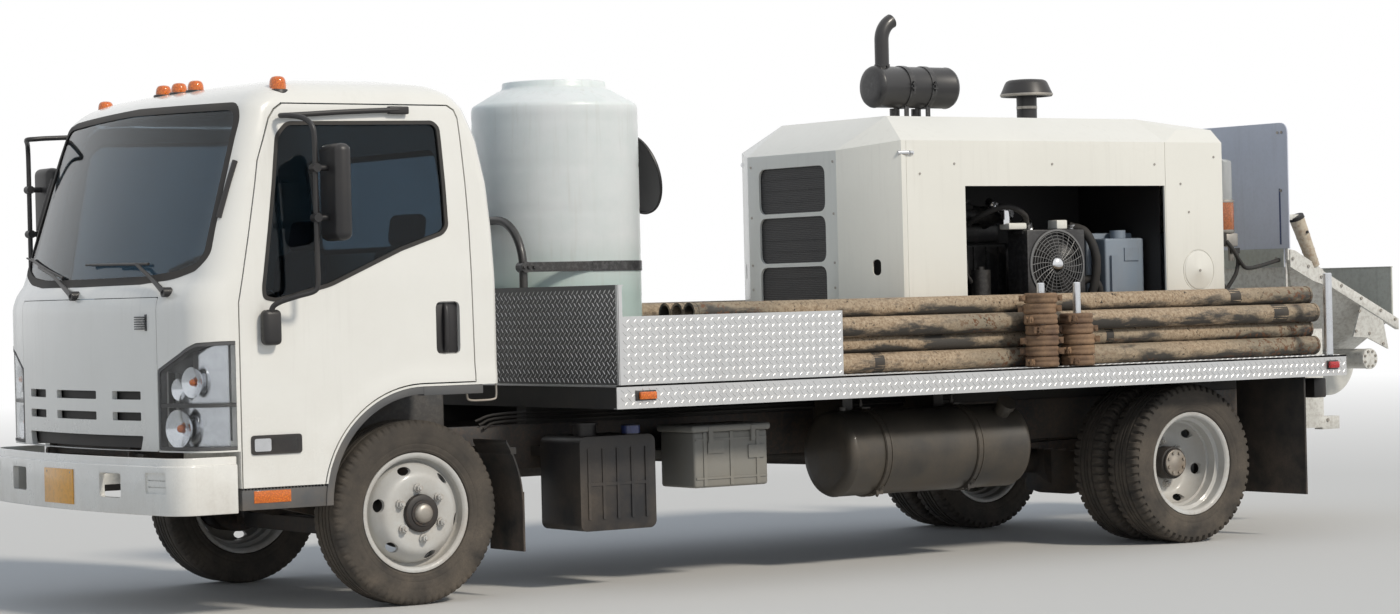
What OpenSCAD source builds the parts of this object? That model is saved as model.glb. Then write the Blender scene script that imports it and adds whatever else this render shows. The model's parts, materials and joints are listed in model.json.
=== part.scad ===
// Line pump truck: a cab-over lorry whose flat deck carries a water tank, a
// hooded piston pump with its hopper behind, and racks of delivery pipe.
// X runs forward, Y to the left and Z up. The origin is on the ground under
// the middle of the whole machine. Modules are written in chassis
// coordinates, with X measured from the front axle, and place() moves them.

/* [Chassis] */
// Front axle to rear axle
wheelbase = 4470; // [3800:10:5100]
// Front axle to the bumper's face
front_overhang = 1266; // [1240:2:1300]
// Rear axle to the end of the delivery outlet
rear_overhang = 2050; // [2040:5:2100]
// Width over the two frame rails
frame_w = 850; // [800:5:870]
// Top of the frame rails above the ground
frame_top = 745; // [735:5:750]
// Depth of a frame rail
frame_h = 205; // [180:5:210]

/* [Wheels] */
// Tyre diameter
tyre_d = 810; // [790:5:815]
// Tyre width
tyre_w = 225; // [200:5:235]
// Diameter of the rim where the bead sits
rim_d = 495; // [470:5:510]
// Distance between the front tyres' middles
front_track = 1665; // [1640:5:1680]
// Distance between the middles of the twin pairs
rear_track = 1650; // [1630:5:1670]
// Spacing of the two tyres of a twin pair
twin_spacing = 262; // [255:1:275]
// Radius of the front spindle
spindle_r = 30; // [26:1:34]
// Radius of the rear axle's end
stub_r = 45; // [40:1:50]
// Radius of the king pin
king_pin_r = 20; // [16:1:24]

/* [Cab] */
// Width of the cab at its waist
cab_w = 2040; // [2000:5:2060]
// Top of the roof above the ground
cab_top = 2300; // [2280:5:2340]
// Bottom of the doors and footwells
cab_low = 560; // [550:5:580]
// Front axle to the cab's front face
cab_face = 1178; // [1170:2:1184]
// Front axle to the cab's back wall
cab_back = 390; // [370:5:410]
// Thickness of the cab's walls and doors
cab_wall = 45; // [35:5:55]
// Gap around a door
door_gap = 6; // [5:1:10]
// Radius of the wheel arch
arch_r = 488; // [480:2:500]
// Underside of the cab behind the arch
cab_floor = 958; // [950:2:970]

/* [Deck] */
// Front axle to the deck's front edge
deck_front = 872; // [860:2:890]
// Length of the deck
deck_l = 4552; // [4500:10:4600]
// Width of the deck beside the hood, where the delivery lines lie
lane_w = 539; // [510:1:540]
// Top of the deck above the ground
deck_z = 932; // [925:1:950]
// Height of the deck's edge rail
rail_h = 106; // [90:2:110]
// Top of the front bulkhead above the deck
bulkhead_h = 448; // [350:2:500]
// Height of the low side panels
side_panel_h = 306; // [250:2:330]
// Length of the low side panels
side_panel_l = 1243; // [1000:1:1300]

/* [Water tank] */
// Diameter of the tank
tank_d = 804; // [700:2:820]
// Height of the tank's upright wall
tank_wall_h = 1316; // [1200:2:1400]
// Diameter of the neck ring
neck_d = 500; // [440:5:520]
// Height of the tank over all
tank_h = 1436; // [1400:2:1500]

/* [Pump] */
// Front axle to the front of the hood
hood_front = 2748; // [2740:2:2780]
// Front axle to the back of the hood
hood_back = 5080; // [5060:5:5100]
// Width of the hood
hood_w = 1360; // [1300:5:1370]
// Top of the hood above the ground
hood_top = 2200; // [2150:5:2250]
// Thickness of the hood's panels
hood_wall = 12; // [8:1:20]
// Width of the hopper
hopper_w = 1200; // [1160:10:1240]
// Thickness of the hopper's plates
hopper_wall = 12; // [8:1:16]

/* [Delivery lines] */
// Outer diameter of a delivery line
line_d = 96; // [90:1:99]
// Inner diameter of a delivery line
line_bore = 76; // [70:1:80]
// Diameter of a line's end collar
collar_d = 100; // [99.5:0.5:101]
// Length of one line
line_l = 3962; // [3600:10:3970]
// Lines side by side in a row
line_columns = 3; // [2:1:3]
// Rows of lines on top of each other
line_rows = 4; // [2:1:4]
// Diameter of a clamp coupling
coupling_d = 176; // [160:2:180]
// Height of a clamp coupling lying flat
coupling_h = 52; // [40:1:60]

/* [Hidden] */
$fn = 64;
// Clearance of a piece that only rests against another one
seat = 0.3;
// Radial clearance of a shaft in its bore
running = 0.05;
overall_l = front_overhang + wheelbase + rear_overhang;
front_axle_x = overall_l / 2 - front_overhang;
tyre_r = tyre_d / 2;
axle_z = tyre_r;
deck_w = hood_w + 2 * lane_w;
rail_y = frame_w / 2;
deck_back = deck_front + deck_l;
deck_y = deck_w / 2;
cab_y = cab_w / 2;
king_pin_y = front_track / 2 - 122;
outer_twin_y = rear_track / 2 + twin_spacing / 2;

module place() translate([front_axle_x, 0, 0]) children();
module both_sides() { children(); mirror([0, 1, 0]) children(); }
// A bar along Y, X or Z between two limits
module bar(x, y, z) translate([x[0], y[0], z[0]])
    cube([x[1] - x[0], y[1] - y[0], z[1] - z[0]]);
module pin_y(r, y0, y1) translate([0, y0, 0]) rotate([-90, 0, 0])
    cylinder(r = r, h = y1 - y0);
module pin_x(r, x0, x1) translate([x0, 0, 0]) rotate([0, 90, 0])
    cylinder(r = r, h = x1 - x0);
// Turns a profile of [radius, distance along Y] points about the Y axis
module turned_y(points) rotate([-90, 0, 0]) rotate_extrude()
    polygon(points);
// A side view drawn in X and Z, made solid between two Y values
module side_cut(y0, y1) translate([0, y1, 0]) rotate([90, 0, 0])
    linear_extrude(y1 - y0) children();
// A front view drawn in Y and Z, made solid between two X values
module front_cut(x0, x1) translate([x0, 0, 0]) rotate([90, 0, 90])
    linear_extrude(x1 - x0) children();
module rounded(w, h, r) {
    square([w - 2 * r, h], center = true);
    square([w, h - 2 * r], center = true);
    for (sx = [-1, 1], sy = [-1, 1])
        translate([sx * (w / 2 - r), sy * (h / 2 - r)]) circle(r);
}
// A straight rod from one point to another
module rod(a, b, r) {
    v = b - a;
    translate(a) rotate([0, acos(v[2] / norm(v)), atan2(v[1], v[0])])
        cylinder(r = r, h = norm(v));
}
// A round bend of a tube
module elbow(bend_r, tube_r, angle) rotate_extrude(angle = angle)
    translate([bend_r, 0]) circle(tube_r);

// Skin through rings that all have the same number of points
module skin(rings) {
    n = len(rings[0]);
    last = len(rings) - 1;
    polyhedron(
        points = [for (ring = rings, p = ring) p],
        faces = concat(
            [[for (i = [0 : n - 1]) i]],
            [for (k = [0 : last - 1], i = [0 : n - 1])
                [k * n + i, (k + 1) * n + i, (k + 1) * n + (i + 1) % n]],
            [for (k = [0 : last - 1], i = [0 : n - 1])
                [k * n + i, (k + 1) * n + (i + 1) % n, k * n + (i + 1) % n]],
            [[for (i = [n - 1 : -1 : 0]) last * n + i]]));
}

// Chassis

axle_clear = 6;
rail_flange = 70;
rail_web = 8;
frame_rear = deck_back - 20;
frame_nose = 1120;
cross_members = [1060, -560, -1900, -3300, -5300];
// Pivot of the tilting cab
tilt_x = 1085;
tilt_z = 690;
tilt_y = 500;
tilt_pin_r = 16;

module frame_rails() color("dimgray") {
    both_sides() difference() {
        bar([-frame_rear, frame_nose], [rail_y - rail_flange, rail_y],
            [frame_top - frame_h, frame_top]);
        bar([-frame_rear - 1, frame_nose + 1],
            [rail_y - rail_flange - 1, rail_y - rail_web],
            [frame_top - frame_h + rail_web, frame_top - rail_web]);
    }
    for (x = cross_members)
        bar([x - 30, x + 30], [-rail_y + rail_web + seat, rail_y - rail_web - seat],
            [frame_top - 60, frame_top - rail_web - seat]);
    // Brackets with the pins that the cab tilts on
    both_sides() translate([tilt_x, 0, tilt_z]) {
        bar([-45, 45], [rail_y + seat, rail_y + 14], [-45, 20]);
        pin_y(tilt_pin_r, rail_y + 13, tilt_y + 20);
    }
}

beam_h = 90;
eye_r = 44;
spring_y = 365;
beam_low = axle_z - 130;
// A dropped beam with an eye for the king pin at each end
module front_axle() color("dimgray") difference() {
    union() {
        bar([-38, 38], [-king_pin_y + eye_r, king_pin_y - eye_r], [beam_low, beam_low + 70]);
        both_sides() translate([0, king_pin_y, 0]) {
            translate([0, 0, axle_z - beam_h / 2]) cylinder(r = eye_r, h = beam_h);
            bar([-38, 38], [-90, -eye_r], [beam_low, axle_z + beam_h / 2]);
            bar([-38, 38], [-eye_r - 1, 0], [axle_z - beam_h / 2, axle_z + beam_h / 2]);
        }
    }
    both_sides() translate([0, king_pin_y, axle_z - beam_h])
        cylinder(r = king_pin_r + running, h = 2 * beam_h);
}

module rear_axle() color("dimgray") translate([-wheelbase, 0, axle_z]) {
    half = rear_track / 2 + hub_rear_in - 6;
    pin_y(58, -half, half);
    both_sides() pin_y(stub_r, 0, rear_track / 2 + 60);
    cylinder(r = 175, h = 330, center = true);
    translate([0, -110, 0]) pin_y(190, 0, 220);
    pin_x(70, 90, 260);
}

spring_leaf = 11;
spring_eye_r = 26;
// The main leaf rises to its eyes and shorter leaves lie under it
module leaf_pack(half_l, leaves, eye_z, seat_z) {
    rise = eye_z - seat_z - spring_leaf * leaves;
    side_cut(-35, 35) for (k = [0 : leaves - 1]) {
        l = half_l * (1 - 0.14 * (leaves - 1 - k));
        z = seat_z + k * spring_leaf;
        tip = z + rise * l / half_l;
        polygon([[-l, tip], [-60, z], [60, z], [l, tip], [l, tip + spring_leaf],
            [60, z + spring_leaf], [-60, z + spring_leaf], [-l, tip + spring_leaf]]);
    }
    for (s = [-1, 1]) translate([s * half_l, 0, eye_z]) pin_y(spring_eye_r, -35, 35);
}
front_spring_half = 610;
rear_spring_half = 640;
front_spring_seat = axle_z - 60 + seat;
rear_spring_seat = axle_z + 58 + seat;
spring_eye_z = frame_top - frame_h - spring_eye_r - seat;
module leaf_springs() color("black") both_sides() translate([0, spring_y, 0]) {
    leaf_pack(front_spring_half, 4, spring_eye_z, front_spring_seat);
    translate([-wheelbase, 0, 0])
        leaf_pack(rear_spring_half, 6, spring_eye_z, rear_spring_seat);
}

gearbox_z = 590;
shaft_front = 1350;
module power_unit() color("gray") {
    bar([-520, 420], [-300, 300], [590, 985]);
    bar([-shaft_front, -520 - seat], [-180, 180], [gearbox_z - 105, gearbox_z + 80]);
}

module drive_shaft() color("silver") {
    front = [-shaft_front - seat, 0, gearbox_z];
    rear = [-wheelbase + 260 + seat, 0, axle_z];
    translate(front) pin_x(60, -60, 0);
    rod(front - [40, 0, 0], rear + [40, 0, 0], 45);
    translate(rear) pin_x(60, 0, 60);
}

fuel_r = 208;
fuel_x = [-3470, -2340];
fuel_y = 790;
fuel_z = 545;
module fuel_tank() color("darkslategray") {
    translate([0, fuel_y, fuel_z]) {
        pin_x(fuel_r, fuel_x[0], fuel_x[1]);
        for (x = [0.3, 0.8]) translate([fuel_x[0] + (fuel_x[1] - fuel_x[0]) * x, 0, 0])
            pin_x(fuel_r + 7, -22, 22);
    }
    // Brackets that carry the tank on the frame rail
    for (x = [0.3, 0.8]) {
        cx = fuel_x[0] + (fuel_x[1] - fuel_x[0]) * x;
        bar([cx - 30, cx + 30], [rail_y + seat, fuel_y - 120], [frame_top - frame_h, frame_top - 20]);
    }
}

module battery_box() color("gray") {
    bar([-1900, -1480], [640, 925], [430, 690]);
    bar([-1915, -1465], [630, 935], [690, 722]);
    bar([-1880, -1500], [rail_y + seat, 640], [560, 600]);
}

module fluid_tank() color("black") {
    hull() for (x = [-1245, -905], z = [300, 660])
        translate([x, 560, z]) pin_y(35, 0, 340);
    translate([-1180, 850, 680]) cylinder(r = 42, h = 60);
    bar([-1230, -900], [rail_y + seat, 570], [600, 640]);
}

fender_t = 8;
fender_r = 505;
fender_mid = axle_z + 20;
flap_x = 5144;
module mudguards() color("black") both_sides() {
    // A bent guard behind the front wheel and the flap that hangs from it
    side_cut(700, 990) intersection() {
        translate([0, fender_mid]) difference() {
            circle(fender_r + fender_t, $fn = 180);
            circle(fender_r, $fn = 180);
        }
        translate([-700, 440]) square([270, 445]);
    }
    bar([-fender_r - 12, -fender_r - 2], [700, 990], [205, 470]);
    bar([-480, -452], [rail_y + seat, 990], [640, 670]);
    // Flap behind the rear wheels with its hanger
    bar([-flap_x - 6, -flap_x + 6], [690, 1190], [216, deck_z - rail_h + 10]);
    bar([-flap_x - 80, -flap_x + 30], [690, 1190],
        [deck_z - rail_h + 4, deck_z - floor_t - beam_t - 2 * seat]);
}

bumper_top = 697;
bumper_low = 455;
bumper_t = 24;
tow_y = 485;
tow_w = 184;
// Plan of the bumper, inset by t: bowed face, round corners, straight ends
function bumper_plan(t) = let (face = front_overhang - t, half = cab_y - 4 - t)
    concat(
        [for (a = [0 : 10]) let (y = -half * 0.8 + half * 1.6 * a / 10)
            [face - 86 * pow(y / half, 2), y]],
        [for (a = [1 : 5]) let (u = a / 5 * 90)
            [face - 55 - 105 * (1 - cos(u)), half * 0.8 + half * 0.2 * sin(u)]],
        [[898, half], [898, -half]],
        [for (a = [5 : -1 : 1]) let (u = a / 5 * 90)
            [face - 55 - 105 * (1 - cos(u)), -half * 0.8 - half * 0.2 * sin(u)]]);
module bumper() color("white") {
    difference() {
        translate([0, 0, bumper_low]) linear_extrude(bumper_top - bumper_low)
            polygon(bumper_plan(0));
        translate([0, 0, bumper_low + bumper_t]) linear_extrude(bumper_top)
            polygon(bumper_plan(bumper_t));
        translate([0, 0, bumper_low - 1]) linear_extrude(bumper_top)
            polygon(bumper_plan(110));
        // Openings for the tow hooks and the fog lamp places
        for (y = [-tow_y, tow_y]) translate([front_overhang - 60, y, 580])
            bar([-90, 120], [-tow_w / 2, tow_w / 2], [-55, 55]);
    }
    // Stays that hold the bumper on the frame rails
    both_sides() bar([frame_nose + seat, front_overhang - bumper_t - 8],
        [rail_y - rail_flange, tow_y - tow_w / 2 - 2], [bumper_top - 125, bumper_top - 75]);
}

// Deck

floor_t = 8;
edge_t = 8;
beam_t = 76;
module deck() color("silver") {
    bar([-deck_back, -deck_front], [-deck_y, deck_y], [deck_z - floor_t, deck_z]);
    under = deck_z - floor_t - seat;
    inner = deck_y - edge_t - seat;
    both_sides() bar([-deck_back, -deck_front], [deck_y - edge_t, deck_y], [deck_z - rail_h, under]);
    for (x = [-deck_back, -deck_front - edge_t])
        bar([x, x + edge_t], [-inner, inner], [deck_z - rail_h, under]);
    for (k = [0 : 10]) let (x = -deck_front - 200 - k * (deck_l - 400) / 10)
        bar([x - 25, x + 25], [-inner, inner], [under - beam_t, under]);
    both_sides() bar([-deck_back + edge_t + seat, -deck_front - edge_t - seat], [rail_y - 75, rail_y - 5],
        [frame_top + seat, under - beam_t - seat]);
}

// Tread plate: a bulkhead across the deck and a low panel on each side
plate_t = 6;
bulkhead_x = -deck_front - 18;
module tread_panels() color("gainsboro") {
    bar([bulkhead_x - plate_t, bulkhead_x], [-deck_y + 4, deck_y - 4],
        [deck_z + seat, deck_z + bulkhead_h]);
    // Folded top edge, open where the hoop's legs stand
    for (y = [[-deck_y + 4, -hoop_y - 28], [-hoop_y + 28, hoop_y - 28], [hoop_y + 28, deck_y - 4]])
        bar([bulkhead_x - 30, bulkhead_x - plate_t], y, [deck_z + bulkhead_h - 6, deck_z + bulkhead_h]);
    both_sides() {
        x = [bulkhead_x - plate_t - side_panel_l, bulkhead_x - plate_t];
        bar(x, [deck_y - 10, deck_y - 4], [deck_z + seat, deck_z + side_panel_h]);
        bar(x, [deck_y - 30, deck_y - 10], [deck_z + seat, deck_z + 6]);
        bar(x, [deck_y - 30, deck_y - 10], [deck_z + side_panel_h - 5, deck_z + side_panel_h]);
    }
}

stake_r = 20;
stake_top = 1345;
rear_stake_x = 5320;
coupling_x = [3423, 3655];
coupling_count = [7, 5];
coupling_y = deck_y - 92;
// Turn of each ring about its stake, one after another
coupling_turn = [20, 46, -14, -36];
module stakes() color("silver") both_sides() {
    for (x = coupling_x) translate([-x, coupling_y, deck_z + seat])
        cylinder(r = stake_r, h = stake_top - deck_z - seat);
    translate([-rear_stake_x, deck_y - 24, deck_z + seat]) cylinder(r = 23, h = 430);
}

// One delivery line with a raised collar on each end, lying along X
collar_l = 70;
module delivery_line() rotate([0, 90, 0]) rotate_extrude($fn = 32)
    polygon([[line_bore / 2, 0], [collar_d / 2, 0], [collar_d / 2, collar_l],
        [line_d / 2, collar_l], [line_d / 2, line_l - collar_l],
        [collar_d / 2, line_l - collar_l], [collar_d / 2, line_l],
        [line_bore / 2, line_l]]);
line_pitch = collar_d + seat;
line_rise = line_pitch * sin(60);
line_back = deck_back;
lines_y = deck_y - 184;
module delivery_lines() color("tan") both_sides()
    for (row = [0 : line_rows - 1], column = [0 : line_columns - 1])
        translate([-line_back,
            lines_y - collar_d / 2 - (column + (row % 2) / 2) * line_pitch,
            deck_z + seat + collar_d / 2 + row * line_rise]) delivery_line();

// Clamp couplings threaded on the stakes, one ring on the next
module coupling() {
    h = coupling_h - seat;
    rotate_extrude($fn = 40) polygon([[collar_d / 2 + 4, 0], [coupling_d / 2 - 12, 0],
        [coupling_d / 2 - 4, 8], [coupling_d / 2 - 4, h - 8], [coupling_d / 2 - 12, h],
        [collar_d / 2 + 4, h], [collar_d / 2 + 4, h - 12], [collar_d / 2 + 12, h - 12],
        [collar_d / 2 + 12, 12], [collar_d / 2 + 4, 12]]);
    for (a = [-8, 172]) rotate([0, 0, a]) {
        bar([coupling_d / 2 - 8, coupling_d / 2 + 16], [-17, -6], [10, h - 10]);
        bar([coupling_d / 2 - 8, coupling_d / 2 + 16], [6, 17], [10, h - 10]);
    }
}
module couplings() color("chocolate") both_sides()
    for (s = [0, 1], k = [0 : coupling_count[s] - 1])
        translate([-coupling_x[s], coupling_y, deck_z + seat + k * coupling_h])
            rotate([0, 0, coupling_turn[(k * 3 + s) % 4]]) coupling();

// Water tank

tank_r = tank_d / 2;
hoop_r = 20;
hoop_x = bulkhead_x - plate_t - 1 - hoop_r;
tank_x = hoop_x - hoop_r - 2 - tank_r;
neck_z = deck_z + seat + tank_h;
module water_tank() color("honeydew") translate([tank_x, 0, deck_z + seat])
    rotate_extrude($fn = 96) polygon([[0, 0], [tank_r - 20, 0], [tank_r, 20],
        [tank_r, tank_wall_h], [neck_d / 2 + 24, tank_h - 42],
        [neck_d / 2, tank_h - 34], [neck_d / 2, tank_h], [neck_d / 2 - 30, tank_h],
        [neck_d / 2 - 30, tank_h - 30], [0, tank_h - 30]]);

hoop_y = 372;
hoop_top = 1700;
hoop_bend = 230;
band_z = 1475;
module tank_hoop() color("black") {
    both_sides() {
        translate([hoop_x, hoop_y, deck_z + seat])
            cylinder(r = hoop_r, h = hoop_top - hoop_bend - deck_z - seat);
        translate([hoop_x, hoop_y - hoop_bend, hoop_top - hoop_bend])
            rotate([90, 0, 90]) elbow(hoop_bend, hoop_r, 90);
        translate([hoop_x - 8, hoop_y + 14, band_z - 12]) cube([30, 60, 24]);
    }
    translate([hoop_x, 0, hoop_top]) pin_y(hoop_r, -hoop_y + hoop_bend, hoop_y - hoop_bend);
    // Steel strap round the tank
    difference() {
        translate([tank_x, 0, band_z - 25]) cylinder(r = tank_r + seat + 5, h = 50, $fn = 96);
        translate([tank_x, 0, band_z - 26]) cylinder(r = tank_r + seat, h = 52, $fn = 96);
        bar([tank_x + 60, 0], [-hoop_y, hoop_y], [band_z - 30, band_z + 30]);
    }
    both_sides() bar([tank_x + 80, hoop_x], [hoop_y + 24, hoop_y + 30],
        [band_z - 25, band_z + 25]);
}

lid_r = 205;
// Spare lid, a shallow dish that hangs on the back of the tank
module tank_lid() color("black") translate([tank_x - tank_r - seat, 0, deck_z + 1190])
    rotate([0, 16, 0]) translate([-18, 0, -lid_r]) rotate([0, 90, 0]) rotate_extrude()
        polygon([[0, -22], [lid_r - 60, -22], [lid_r - 8, 0], [lid_r, 6], [lid_r, 18],
            [lid_r - 10, 18], [lid_r - 12, 4], [0, -8]]);

// Pump hood: front face narrower than the body, sloping up to a flat roof

hood_low = 1060;
hood_y = hood_w / 2;
hood_face_y = hood_y - 300;
roof_y = hood_y - 236;
face_top = 2029;
shoulder_z = 2066;
rear_roof = 2138;
rear_roof_y = hood_y - 80;
rear_box = 4680;
rear_slope = 150;
roof_front = 3021;
corner_x = 2926;
// Cross sections of the hood, inset by t
module hood_slice(x, half, side_top, roof_half, roof_z, t) front_cut(-x - 0.5, -x)
    polygon([[-half + t, hood_low - (t > 0 ? 10 : 0)], [half - t, hood_low - (t > 0 ? 10 : 0)],
        [half - t, side_top - t / 2], [roof_half - t / 2, roof_z - t], [-roof_half + t / 2, roof_z - t],
        [-half + t, side_top - t / 2]]);
module hood_form(t) {
    hull() {
        hood_slice(hood_front + t, hood_face_y, face_top - 1, hood_face_y, face_top, t);
        hood_slice(corner_x + t / 2, hood_y, shoulder_z - 1, hood_y, shoulder_z, t);
        hood_slice(roof_front, hood_y, shoulder_z, roof_y, hood_top, t);
        hood_slice(rear_box, hood_y, shoulder_z, roof_y, hood_top, t);
    }
    hull() {
        hood_slice(rear_box - 0.5, hood_y, shoulder_z, roof_y, hood_top, t);
        hood_slice(rear_box + rear_slope, hood_y, shoulder_z, rear_roof_y, rear_roof, t);
    }
    hull() {
        hood_slice(rear_box, hood_y, shoulder_z, rear_roof_y, rear_roof, t);
        hood_slice(hood_back - 0.5 - t, hood_y, shoulder_z, rear_roof_y, rear_roof, t);
    }
}
opening_x = [-4667, -3327];
opening_z = [1120, 1839];
grille_z = [1340, 1592, 1845];
grille_w = 2 * hood_face_y - 194;
grille_h = 232;
panel_edge = 30;
module hood() color("white") difference() {
    hood_form(0);
    hood_form(hood_wall);
    bar([opening_x[0], opening_x[1]], [-hood_w, hood_w], [opening_z[0], opening_z[1]]);
    for (z = grille_z) translate([0, 0, z]) front_cut(-hood_front - 20, -hood_front + 20)
        rounded(grille_w, grille_h, 45);
    both_sides() translate([-2850, hood_y - 120, 1441]) rotate([0, 0, 60]) rotate([90, 0, 0])
        translate([0, 0, -60]) linear_extrude(120) rounded(44, 118, 21);
    // Seams between the nose, the side panels, the roof and the back panel
    for (x = [-corner_x - panel_edge - seat, -hood_back + panel_edge])
        bar([x, x + seat], [-hood_w, hood_w], [0, hood_top + 1]);
    bar([-hood_back + panel_edge, -corner_x - panel_edge], [-hood_w, hood_w],
        [shoulder_z - panel_edge - seat, shoulder_z - panel_edge]);
}

grille_t = 6;
grille_slots = 9;
// Slotted plates behind the three openings in the hood's face
module hood_grilles() color("black")
    for (z = grille_z) translate([0, 0, z])
        front_cut(-hood_front - hood_wall - seat - grille_t, -hood_front - hood_wall - seat)
            difference() {
                rounded(grille_w + 30, grille_h + 16, 50);
                for (k = [1 : grille_slots]) translate([0, (k / (grille_slots + 1) - 0.5) * grille_h])
                    square([grille_w - 24, 12], center = true);
            }

skid_back = 5430;
skid_beam = 120;
function skid_plan(t) = [[-hood_front - t, hood_face_y - t / 2], [-corner_x - t / 2, hood_y - t],
    [-skid_back, hood_y - t], [-skid_back, -hood_y + t], [-corner_x - t / 2, -hood_y + t],
    [-hood_front - t, -hood_face_y + t / 2]];
module pump_skid() color("lightgray") translate([0, 0, deck_z + seat]) {
    inner = hood_y - skid_beam;
    linear_extrude(hood_low - deck_z - 2 * seat) difference() {
        polygon(skid_plan(0));
        translate([-1, 0]) polygon(skid_plan(skid_beam));
        for (y = [-inner - seat, inner]) translate([-skid_back - 1, y]) square([skid_back, seat]);
    }
    for (x = [-3230, -3900, -4600, -5300])
        bar([x - 50, x + 50], [-inner + seat, inner - seat], [0, hood_low - deck_z - 2 * seat]);
}

module pump_engine() color("dimgray") {
    bar([-3150, -3000], [-330, 330], [hood_low + 40, 1900]);
    bar([-3950, -3180], [-250, 250], [hood_low + 20, 1700]);
    bar([-3850, -3300], [-130, 130], [1700, 1850]);
    both_sides() bar([-3980, -3120], [200, 280], [hood_low + seat, hood_low + 60]);
    translate([0, 0, 1400]) pin_x(150, -4250, -3950);
    bar([-3180, -3150], [-60, 60], [1300, 1420]);
    bar([-4950, -4350], [-420, 420], [hood_low + seat, 1600]);
}

fan_x = -4020;
fan_y = hood_y - 90;
fan_z = 1438;
fan_r = 170;
cooler_half = 195;
module cooler() color("black") {
    difference() {
        bar([fan_x - cooler_half, fan_x + cooler_half], [fan_y - 190, fan_y - 30],
            [fan_z - 220, fan_z + 182]);
        translate([fan_x, 0, fan_z]) pin_y(fan_r + 8, fan_y - 95, fan_y);
    }
    translate([fan_x, 0, fan_z]) pin_y(14, fan_y - 100, fan_y - 40);
    bar([fan_x - 180, fan_x + 180], [fan_y - 190, fan_y - 60], [hood_low + seat, fan_z - 220]);
    // Wire guard over the fan, as rings and spokes
    translate([fan_x, 0, fan_z]) {
        for (r = [45, 95, 145]) turned_y([[r, fan_y - 26], [r + 4, fan_y - 26], [r + 4, fan_y - 22], [r, fan_y - 22]]);
        turned_y([[fan_r + 2, fan_y - 30], [fan_r + 12, fan_y - 30], [fan_r + 12, fan_y - 22], [fan_r + 2, fan_y - 22]]);
        for (a = [0 : 30 : 330]) rotate([0, a, 0])
            bar([20, fan_r + 4], [fan_y - 26, fan_y - 22], [-2, 2]);
    }
}
module cooler_fan() color("gray") translate([fan_x, 0, fan_z]) {
    turned_y([[14 + running, fan_y - 85], [40, fan_y - 85], [40, fan_y - 42], [14 + running, fan_y - 42]]);
    for (a = [0 : 60 : 300]) rotate([0, a, 0]) translate([35, fan_y - 64, 0]) rotate([28, 0, 0])
        bar([0, fan_r - 45], [-3, 3], [-32, 32]);
}

muffler_r = 108;
muffler_x = [-3700, -3180];
muffler_y = 110;
muffler_z = hood_top + 62 + muffler_r;
stack_x = -3262;
stack_r = 37;
module muffler() color("black") {
    translate([0, muffler_y, muffler_z]) pin_x(muffler_r, muffler_x[0], muffler_x[1]);
    for (x = [-3520, -3380]) translate([x, muffler_y, 0]) {
        translate([0, 0, muffler_z]) pin_x(muffler_r + 4, -18, 18);
        bar([-16, 16], [-60, 60], [hood_top + seat, muffler_z - muffler_r + 20]);
    }
    translate([stack_x, muffler_y, muffler_z]) cylinder(r = stack_r, h = 240);
    translate([stack_x - 110, muffler_y, muffler_z + 240]) rotate([90, 0, 0])
        elbow(110, stack_r, 68);
}

intake_x = -4240;
intake_y = 90;
module air_intake() color("black") translate([intake_x, intake_y, 0]) {
    translate([0, 0, hood_top + seat]) cylinder(r = 54, h = 150);
    translate([0, 0, hood_top + 135]) rotate_extrude() polygon([[0, 0], [136, 0], [140, 12],
        [112, 78], [95, 88], [0, 92]]);
}

module grease_unit() color("brown") {
    translate([-5190, 560, 1600]) cylinder(r = 62, h = 165);
    translate([-5190, 560, 1764]) cylinder(r = 54, h = 221);
    bar([-5260, -5120], [500, 620], [1500, 1600]);
    bar([-5150, -hood_back - seat], [540, 580], [1460, 1500 + 60]);
}

// Hopper: a funnel that narrows to a round trough with the agitator across it

hopper_front = 5610;
hopper_rear = 6430;
hopper_y = hopper_w / 2;
hopper_front_top = 1500;
hopper_rear_top = 1110;
rim_slope = (hopper_front_top - hopper_rear_top) / (hopper_rear - hopper_front);
trough_x = -6218;
trough_z = 885;
trough_r = 205;
trough_y = 300;
trough_mouth = 200;
agitator_r = 30;
blade_r = 150;
housing_r = 55;
housing_y = 620;
cylinder_y = 130;
outlet_bore = 62.5;
outlet_r = 75;
outlet_z = 820;
outlet_end = wheelbase + rear_overhang;
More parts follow.
